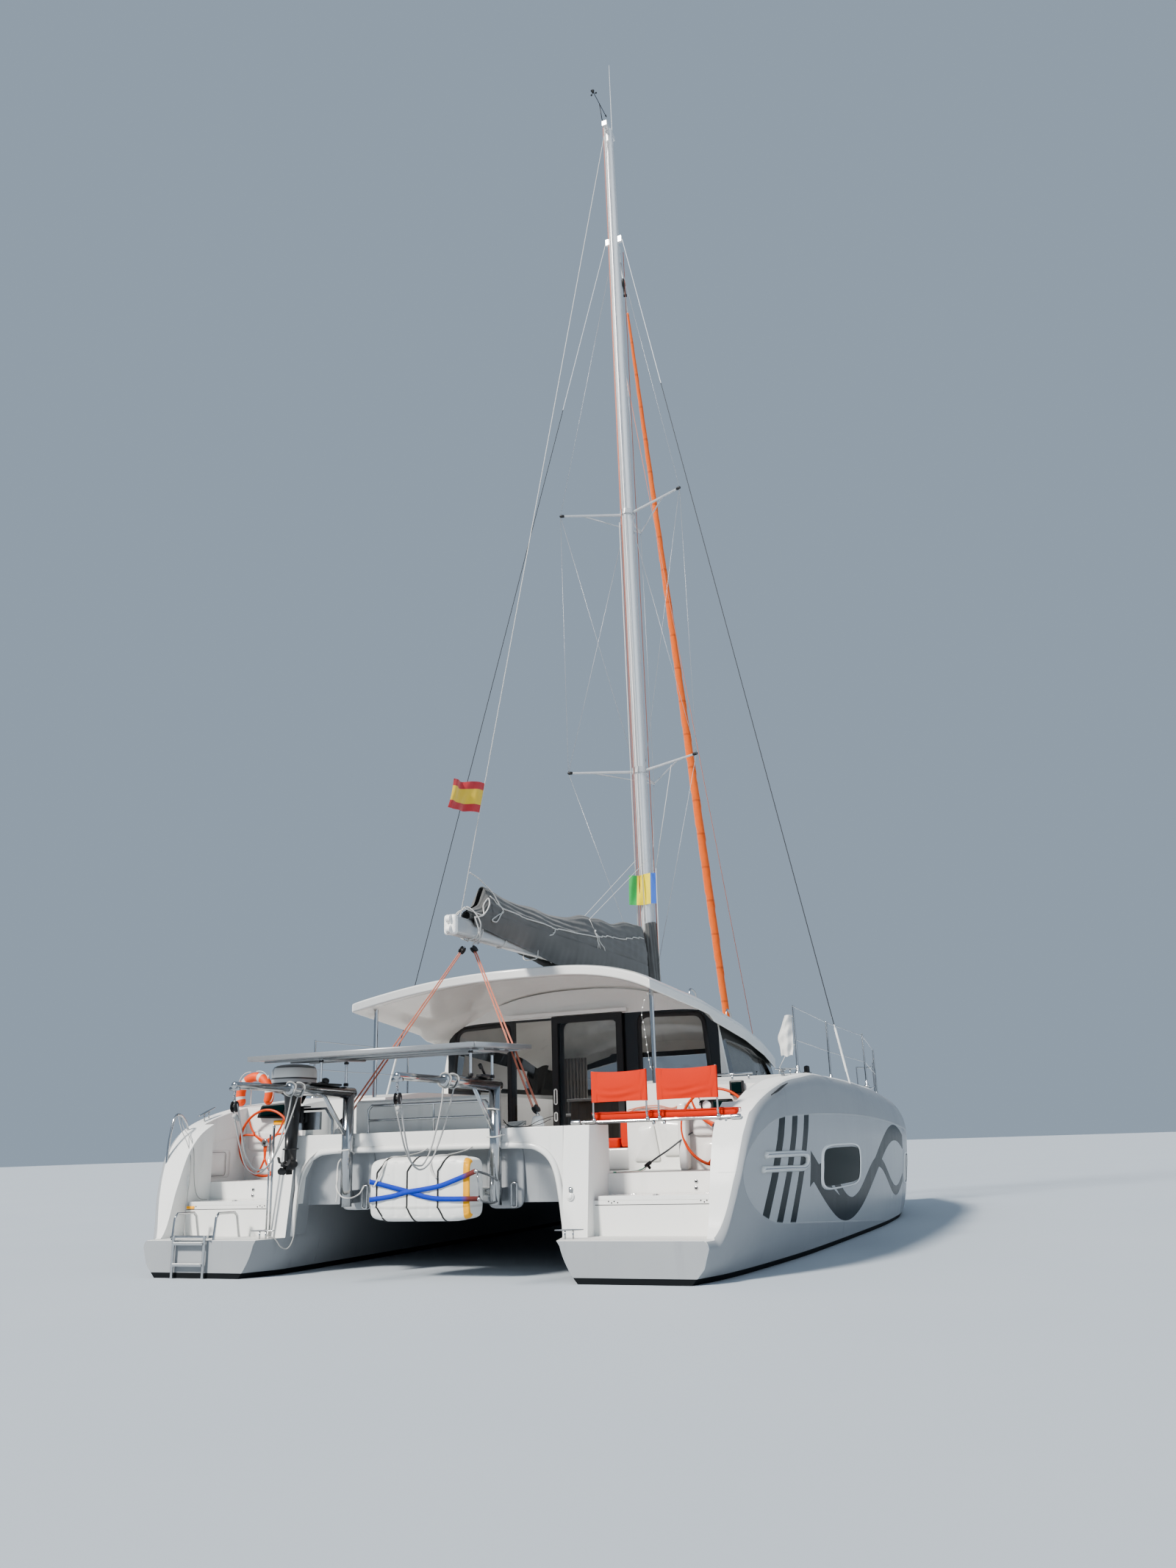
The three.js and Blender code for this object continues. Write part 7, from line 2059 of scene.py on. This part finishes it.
keel_paint = finish_antifouling("keel_antifouling", (.020, .024, .028), (.060, .050, .040))
leg_paint = finish_antifouling("saildrive_paint", (.16, .17, .18), (.09, .09, .085))
bronze = finish_bronze()
zinc = finish_aluminium("zinc_anode", (.42, .43, .44), .55)
LEG_X, SHAFT_Z = 2.29, -.786
for side, word in SIDES:
    x = side * LEG_X
    softened("keel_" + word, keel_paint, degrees=40.0, slot_name="antifouling")
    softened("rudder_" + word, keel_paint, degrees=40.0, slot_name="antifouling")
    softened("saildrive_" + word, leg_paint, degrees=40.0, slot_name="antifouling")
    softened("propeller_" + word, bronze, degrees=40.0, slot_name="bronze")
    cone = domed((x, 1.868, SHAFT_Z), (x, 1.815, SHAFT_Z), .026, 24, ends=(False, True))
    fitted("propeller_anode_" + word, [cone], zinc, "propeller_%s_body" % word, weld=False)
    ring = spun([(0, .058), (.2, .066), (.8, .066), (1, .060)], (x, 2.020, SHAFT_Z), (x, 2.045, SHAFT_Z), 32)
    fitted("saildrive_anode_" + word, [ring], zinc, weld=False)


# Stern steps: hinged locker lids of white gelcoat with a flush lift ring and two hinges each.
# Under their aft edge runs a moulded line with small studs, and amber courtesy lights at the ends.
STUDS = [(1.844, .624), (1.872, .612), (1.897, .624), (1.929, .614), (2.694, .624), (2.724, .612),
         (2.748, .624), (2.782, .614)]
grooves, studs, step_lights, drain_rings, drain_cores = [], [], [], [], []
for side, word in SIDES:
    softened("step_lid_" + word, white_gel, .005, slot_name="gelcoat")
    latch = [spun([(0, .030), (.6, .031), (1, .028)], (side * 2.265, .56, .669), (side * 2.265, .56, .6735),
                  28)]
    latch.append(hoop((side * 2.265, .56, .6755), .019, .0028, 2, 24))
    for x in (1.95, 2.66):
        latch.append(slab_piece((side * x - .035, .800, .6695), (side * x + .035, .836, .6725), .008))
    fitted("lid_latch_" + word, latch, steel, "lid_" + word)
    grooves.append(bar((side * 1.715, .4895, .5955), (side * 2.825, .4895, .5955), .0026, 8))
    studs += [spun([(0, .0065), (.6, .006), (1, .003)], (side * x, .4905, z), (side * x, .4865, z), 12)
              for x, z in STUDS]
    for x, z in (((2.545, .766), (2.542, .709)) if side > 0 else
                 ((-2.273, .765), (-2.277, .707), (-1.882, .759), (-1.886, .705))):
        drain_rings.append(spun([(0, .017), (.5, .0175), (1, .013)], (x, .8555, z), (x, .8475, z), 24))
        drain_cores.append(spun([(0, .0095), (1, .009)], (x, .8500, z), (x, .8465, z), 20))
step_lights += [wall_plate(oblong(2.792, .606, 2.826, .628), .004, .4905, .4855),
                wall_plate(oblong(-2.820, .602, -2.712, .629), .006, .4905, .4855)]
for name, parts, material, slot_name in (
        ("step_grooves", grooves, black, "black"), ("step_studs", studs, black, "black"),
        ("step_lights", step_lights, amber, "orange_rim"), ("well_drains", drain_rings, steel, "stainless"),
        ("well_drain_cores", drain_cores, black, "black")):
    fitted(name, parts, material)


# Port well: a locker hatch moulded into the outer wall, with a raised rib aft of it.
# Both wells are the same moulding, so the starboard wall has the hatch too.
def side_plate(corners, radius, wall_x, proud, side, crown=.0):
    """A plate with rounded corners on a fore-and-aft wall that faces the middle of the boat."""
    points, plate_faces = wall_plate(corners, radius, wall_x, wall_x - proud, crown)
    return points[..., [1, 0, 2]] * [side, 1, 1], plate_faces


well_parts, well_lines = [], []
for side in (1, -1):
    well_parts.append(side_plate(oblong(.885, .885, 1.300, 1.172), .045, 2.961, .010, side))
    well_parts.append(side_plate(oblong(.935, .915, 1.215, 1.140), .035, 2.951, .009, side, .004))
    ringed = [(side * 2.9505, y, z) for y, z in rounded_outline(oblong(.925, .905, 1.225, 1.150), .04, 6)]
    well_lines.append(swept(ringed, .0022, 6, up=(1, 0, 0), loop=True))
    well_parts.append(domed((side * 2.832, .507, .765), (side * 2.832, .507, .925), .018, 20))
fitted("well_hatches", well_parts, white_gel)
fitted("well_hatch_lines", well_lines, black, weld=False)
facets = [wall_plate([(1.52, .93), (1.80, .93), (1.74, 1.30), (1.58, 1.26)], .03, 2.051, 2.030, .018),
          wall_plate([(1.84, .98), (2.16, .98), (2.14, 1.30), (1.78, 1.34)], .03, 2.051, 2.026, .020),
          slab_piece((1.46, 2.00, 1.368), (2.18, 2.049, 1.392), .02, SOFT_LAYERS)]
fitted("passage_mouldings", facets, white_gel)


# Shore-water hose in the starboard well: a dark hose hangs from the console's socket to a black joiner,
# from which a green and a white tube lie on the sole.
def laid_cord(name, points, thick, material, count):
    """A round cord along a smooth curve through a few places."""
    line = curve_through(curve_through(points, 80), count)
    piece = fitted(name, [swept(line, thick / 2, 10, up=(.31, .22, 1))], material, weld=False)


HOSE = [(2.311, 1.548, 1.190), (2.296, 1.500, 1.176), (2.242, 1.430, 1.131), (2.130, 1.345, 1.040),
        (2.030, 1.270, .968), (1.985, 1.225, .930)]
joiner_parts = [domed((1.990, 1.231, .936), (1.945, 1.180, .896), .017, 20),
                domed((1.958, 1.228, .905), (1.992, 1.188, .880), .013, 16)]
joiner = fitted("hose_joiner", joiner_parts, black)
hose_rubber = finish_plastic("grey_hose", (.07, .075, .08), .42)
laid_cord("water_hose", HOSE, .016, hose_rubber, 120)
laid_cord("green_tube", [(1.948, 1.184, .893), (1.925, 1.150, .874), (1.890, 1.080, .8605),
                         (1.840, 1.000, .8585), (1.775, .940, .8585), (1.730, .915, .8585)], .010,
          finish_plastic("green_tube", (.020, .20, .12), .40), 90)
laid_cord("white_tube", [(1.962, 1.176, .892), (1.955, 1.130, .870), (1.930, 1.050, .8590),
                         (1.895, .960, .8585), (1.830, .895, .8585), (1.775, .880, .8585)], .010,
          finish_plastic("white_tube", (.55, .50, .46), .40), 90)


# Port quarter: a bent tube loop on the gunwale with two grey lines hanging into the well, and fold-down
# cleats. On the platform a thin pole stands at the beam, with a mooring rope over the edge.
QUARTER_LOOP = [(-3.08, .454, 1.05), (-3.08, .462, 1.22), (-3.08, .491, 1.40), (-3.08, .538, 1.522),
                (-3.08, .578, 1.546), (-3.08, .625, 1.532), (-3.08, .70, 1.468), (-3.08, .75, 1.37)]
quarter_parts = [swept(curve_through(QUARTER_LOOP, 60), .013, 12, up=(1, 0, 0))]
quarter_parts += [bar((-1.615, .285, .342), (-1.615, .285, 1.36), .011, 12),
                  bar((-1.655, .285, .342), (-1.655, .285, 1.30), .009, 12)]
quarter_parts.append(domed((-1.615, .285, 1.355), (-1.615, .285, 1.385), .013, 14))


def fold_cleat(middle, turn, tilt):
    """A folding cleat: an oval horn plate on two posts over a base, turned about the upright axis."""
    ahead_way = np.array([np.cos(turn), np.sin(turn), tilt])
    base = np.array(middle, float)
    horn = base + [0, 0, .062]
    posts = [bar(base + ahead_way * k - [0, 0, .02], horn + ahead_way * k, .008) for k in (-.035, .035)]
    plate = swept([horn + ahead_way * k for k in np.linspace(-.125, .125, 25)],
                  .012 + .010 * np.cos(np.linspace(-1.45, 1.45, 25)), profile=oval(14, 1.0, .38))
    return [*posts, plate]


CLEATS = [  # place of the base, turn, tilt
    ((-3.06, 1.00, 1.515), np.pi / 2, .38), ((3.02, 2.42, 1.712), np.pi / 2, .08),
    ((-1.600, .165, .352), .06, 0), ((1.600, .165, .352), .3, 0), ((3.05, 2.50, 1.728), .5, 0),
    ((2.36, 11.2, 1.492), np.pi / 2, 0), ((-2.36, 11.2, 1.492), np.pi / 2, 0)]
for foot, turned, tilted in CLEATS:
    quarter_parts += fold_cleat(foot, turned, tilted)
fitted("quarter_cleats", quarter_parts, steel)
laid_cord("quarter_line_long", [(-3.062, .590, 1.538), (-3.035, .588, 1.47), (-2.99, .585, 1.39),
                                (-2.90, .575, 1.30), (-2.825, .555, 1.18), (-2.800, .545, 1.02),
                                (-2.795, .560, .86), (-2.792, .600, .74), (-2.785, .660, .690),
                                (-2.770, .740, .6785)], .008, grey_rope, 180)
laid_cord("quarter_line_short",
          [(-3.062, .560, 1.538), (-3.035, .556, 1.46), (-2.99, .550, 1.37), (-2.90, .535, 1.25),
           (-2.822, .512, 1.10), (-2.797, .490, .92), (-2.790, .462, .72), (-2.780, .440, .55),
           (-2.755, .410, .42), (-2.715, .380, .3455)], .008, grey_rope, 180)
laid_cord("platform_rope", [(-1.585, .165, .425), (-1.560, .168, .385), (-1.530, .175, .357),
                            (-1.500, .190, .352), (-1.468, .210, .318), (-1.440, .240, .262),
                            (-1.415, .285, .240), (-1.398, .335, .275), (-1.392, .375, .38),
                            (-1.388, .382, .56), (-1.372, .384, .76), (-1.338, .384, .93),
                            (-1.262, .388, 1.045), (-1.18, .412, 1.120)], .013, grey_rope, 240)


# Starboard quarter: the shower's round cap on the beam's face with a small latch over it.
# A white boss stands on the beam under the mainsheet, with a coil of white rope beside the davit.
cap_parts = [spun([(0, .036), (.5, .038), (.8, .034), (1, .030)], (1.534, .372, .672),
                  (1.534, .352, .674), 32),
             spun([(0, .022), (1, .018)], (1.534, .352, .674), (1.534, .345, .675), 24)]
BOSS = [(0, .068), (.35, .060), (.75, .052), (.93, .044), (1, .030)]
for x, y, foot_z in ((1.118, .600, 1.270), (-1.20, .80, 1.230)):
    cap_parts.append(spun(BOSS, (x, y, foot_z), (x, y, foot_z + .108), 32))
fitted("beam_bosses", cap_parts, white_gel)
latch_parts = [slab_piece((1.522, .352, .712), (1.548, .372, .754), .004),
               bar((1.528, .355, .72), (1.528, .345, .75), .004)]
for at in ((1.118, .600, 1.378), (-1.20, .80, 1.338)):
    arch = [np.array(at) + [.016 * np.cos(a), 0, .024 * np.sin(a)] for a in np.linspace(0, np.pi, 14)]
    latch_parts.append(swept(arch, .0045, 8, up=(0, 1, 0)))
fitted("beam_latches", latch_parts, steel)
coil_turn = np.linspace(0, 2 * np.pi * 4.2, 260)
coil_size = .088 - .0022 * coil_turn / 2 + .006 * np.sin(coil_turn * .7)
coil_line = np.stack([.735 + coil_size * 1.15 * np.cos(coil_turn), .905 + coil_size * .8 * np.sin(coil_turn),
                      1.2875 + .0021 * coil_turn], 1)
tail_line = np.array([[.95, .70, 1.2865], [.90, .76, 1.2865], [.865, .83, 1.2870]])
coil_path = [tuple(place) for place in np.concatenate([tail_line, coil_line[4:]])]
laid_cord("beam_coil", coil_path, .011, white_rope, 420)


# Cockpit settees beside the passage: a white moulded base a side, bonded to the floor. On it lie a seat
# and a back cushion, foam in a sewn cover of coral canvas.
SETTEE_AFT, SETTEE_FORE = 2.18, 3.70
PAD_LAYERS = ((0, .93), (.12, .985), (.32, 1), (.68, 1), (.88, .985), (1, .93))
base_parts = [slab_piece((start, SETTEE_AFT - .02, .852), (end, SETTEE_FORE + .02, 1.065), .05, SOFT_LAYERS)
              for start, end in ((1.00, 1.44), (-1.44, -1.00))]
fitted("settee_bases", base_parts, white_gel)
for name, near, far, low, high in (("settee_seat", 1.005, 1.300, 1.071, 1.159),
                                   ("settee_back", 1.315, 1.435, 1.072, 1.372)):
    foam = slab_piece((near, SETTEE_AFT, low), (far, SETTEE_FORE, high), PAD_CORNER, PAD_LAYERS, PAD_DRAW_IN)
    pad = gathered(name + "_starboard", [foam], orange_cloth)
    stuffed(pad, .0095, .008)
    places = np.empty(len(pad.data.vertices) * 3)
    pad.data.vertices.foreach_get("co", places)
    faces_back = [list(face.vertices)[::-1] for face in pad.data.polygons]
    twin = mesh_piece(name + "_port", places.reshape(-1, 3) * [-1, 1, 1], faces_back, orange_cloth)
    for piece in (pad, twin):
        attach(piece, "root")


# Side deck: a chrome grab rail aft of the deckhouse, two lashing rings under each side window, black chocks
# on the gunwale, a vent slit in its outer shoulder as a black sliver of painted shade, and a white cover tied
# to a stanchion.
deck_steel, deck_black_and_shade = [bar((2.40, 2.00, 1.738), (2.82, 2.00, 1.738), .012, 12)], []
deck_steel += [bar((x, 2.00, 1.66), (x, 2.00, 1.738), .010, 12) for x in (2.44, 2.61, 2.78)]
for side in (1, -1):
    for y in (5.455, 5.788):
        deck_steel += [hoop((side * 1.962, y, 1.905), .030, .0048, 0, 30),
                       domed((side * 1.945, y, 1.935), (side * 1.972, y, 1.935), .010, 12)]
    deck_black_and_shade += [domed((side * 3.10, 3.20, 1.760), (side * 3.10, 3.20, 1.852), .030, 24),
                   slab_piece((side * 3.10 - .035, 3.12, 1.756), (side * 3.10 + .035, 3.28, 1.782), .02,
                              SOFT_LAYERS)]
# The vent slit: a black sliver laid on the topside, painted shade of the opening.
slit = np.array([(1.08, 1.489), (1.22, 1.520), (1.37, 1.553), (1.53, 1.585), (1.68, 1.612)])
for side in (1, -1):
    line = curve_through([(side * 3.2, y, z) for y, z in slit], 30)
    line[:, 0] = side * (np.minimum(topside(line[:, 1], line[:, 2]), 3.24) + .001)
    deck_black_and_shade.append(swept(line, np.clip(.012 * np.sin(np.linspace(.15, 3.0, 30)), .004, 1), 10,
                            up=(1, 0, 0)))
fitted("deck_rails_and_rings", deck_steel, steel)
fitted("deck_chocks_and_slit_shade", deck_black_and_shade, black)
down, over = np.meshgrid(np.linspace(0, 1, 46), np.linspace(0, 1, 30), indexing="ij")
left = eased(down[:, 0], np.array([[0, 2.965], [.1, 2.945], [.24, 2.925], [.55, 2.872], [.8, 2.888],
                                   [1, 2.898]]))[:, None]
right = eased(down[:, 0], np.array([[0, 3.040], [.3, 3.036], [.7, 3.034], [1, 3.022]]))[:, None]
cover_x = left + (right - left) * over
cover_y = (2.945 - .050 * np.sin(over * np.pi) * (1 - .3 * down) + .012 * np.sin(over * 13 + down * 4) * down
           + .006 * np.sin(down * 19 + over * 5))
cover_z = 2.370 - .425 * down + .010 * np.sin(over * 9) * down
rail_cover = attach(mesh_piece(
    "stanchion_cover", np.stack([cover_x, cover_y, cover_z], -1), grid_faces(46, 30),
    finish_weave("white_cover_cloth", (.66, .66, .64), (.80, .80, .78), 1100.0)), "root")
ties = (taut([(3.032, 2.944, 2.36), (3.062, 2.952, 2.35)], .003)
        + taut([(3.026, 2.944, 2.06), (3.062, 2.952, 2.055)], .003))
ties += taut([(2.940, 2.93, 1.945), (2.87, 2.95, 1.84), (2.852, 2.96, 1.765)], .003)
fitted("cover_ties", ties, white_rope, weld=False)


# String of lights on the starboard roof post: a thin wire taped to the post, with small clear bulbs.
# It starts under the roof and ends loose above the seat.
LIGHT_STRING = [(1.700, 2.196, 2.660), (1.640, 2.205, 2.560), (1.600, 2.215, 2.400), (1.622, 2.212, 2.287),
                (1.640, 2.214, 2.111), (1.652, 2.216, 2.009), (1.672, 2.200, 1.890), (1.700, 2.188, 1.830)]
bulb_at = curve_through(LIGHT_STRING, 100)[4::9]
bulbs = [domed(place + [0, -.003, .003], place + [.004, -.011, -.013], .0068, 12) for place in bulb_at]
bulb_piece = fitted("string_bulbs", bulbs, dial_white, weld=False)
laid_cord("string_wire", LIGHT_STRING, .0035, finish_plastic("clear_wire", (.30, .31, .30), .35), 160)


# Roof slot: a handhold let into the roof's shoulder on each side, with a bar across it; its hollow is painted
# shade.
# The deck hatches are smoked acrylic in low aluminium frames, flush with the foredecks.
slot_shade, slot_bar = [], []
for side in (1, -1):
    slot_line = curve_through([(side * 1.752, 2.70, 2.722), (side * 1.760, 2.95, 2.723),
                               (side * 1.752, 3.20, 2.716)], 30)
    # A black tube along the slot: painted shade of the hollow handhold.
    slot_shade.append(swept(slot_line, .020, 14, up=(side, 0, 1.2)))
    slot_bar.append(swept(slot_line + np.array([side * .012, 0, .016]), .006, 10, up=(1, 0, 0)))
fitted("roof_slot_shade", slot_shade, black)
fitted("roof_slot_bars", slot_bar, steel)
HATCHES = [  # x, y, half width, half length
    (2.34, 7.75, .24, .24), (2.32, 9.35, .21, .21), (2.30, 10.55, .16, .12)]


def deck_plate(x, y, half_x, half_y, layers):
    """A rounded plate that follows the deck's slope: a size and a height above it for every layer."""
    corners = np.array(oblong(x - half_x, y - half_y, x + half_x, y + half_y))
    rings = []
    for size, lift in layers:
        outline = rounded_outline(np.array([x, y]) + (corners - [x, y]) * size, .07)
        deck_z = np.minimum(eased(outline[:, 1], STATIONS[:, [0, 6]]), eased(outline[:, 1], CREST))
        rings.append(np.insert(outline, 2, deck_z + lift, axis=1))
    return stacked(rings)


hatch_frames, hatch_panes = [], []
for x, y, half_x, half_y in HATCHES:
    hatch_frames += both_sides(deck_plate(
        x, y, half_x, half_y, ((1, -.01), (1, .010), (.98, .016), (.90, .016), (.89, .004))))
    hatch_panes += both_sides(deck_plate(
        x, y, half_x, half_y, ((.91, .002), (.91, .012), (.885, .0155), (.4, .018), (.02, .018))))
fitted("hatch_frames", hatch_frames, alloy)
fitted("hatch_panes", hatch_panes, acrylic)


# Running rigging forward and at the helm: a coral halyard from high on the mast to the forward beam, and
# coral control lines that lie along the moulding inside the passage.
coral_lines = taut([(-.05, 6.985, 15.0), (.55, 11.40, 1.42)], .0055)
for lift, drop in ((0, 0), (.022, .016), (-.018, .03)):
    coral_lines.append(swept(curve_through([(1.47, 2.032, 1.412 + lift), (1.60, 2.030, 1.452 - drop + lift),
                                            (1.78, 2.030, 1.448 + lift), (1.95, 2.032, 1.432 - drop + lift),
                                            (2.08, 2.034, 1.470 + lift)], 60), .0055, 8))
fitted("coral_lines", coral_lines, coral_rope, weld=False)
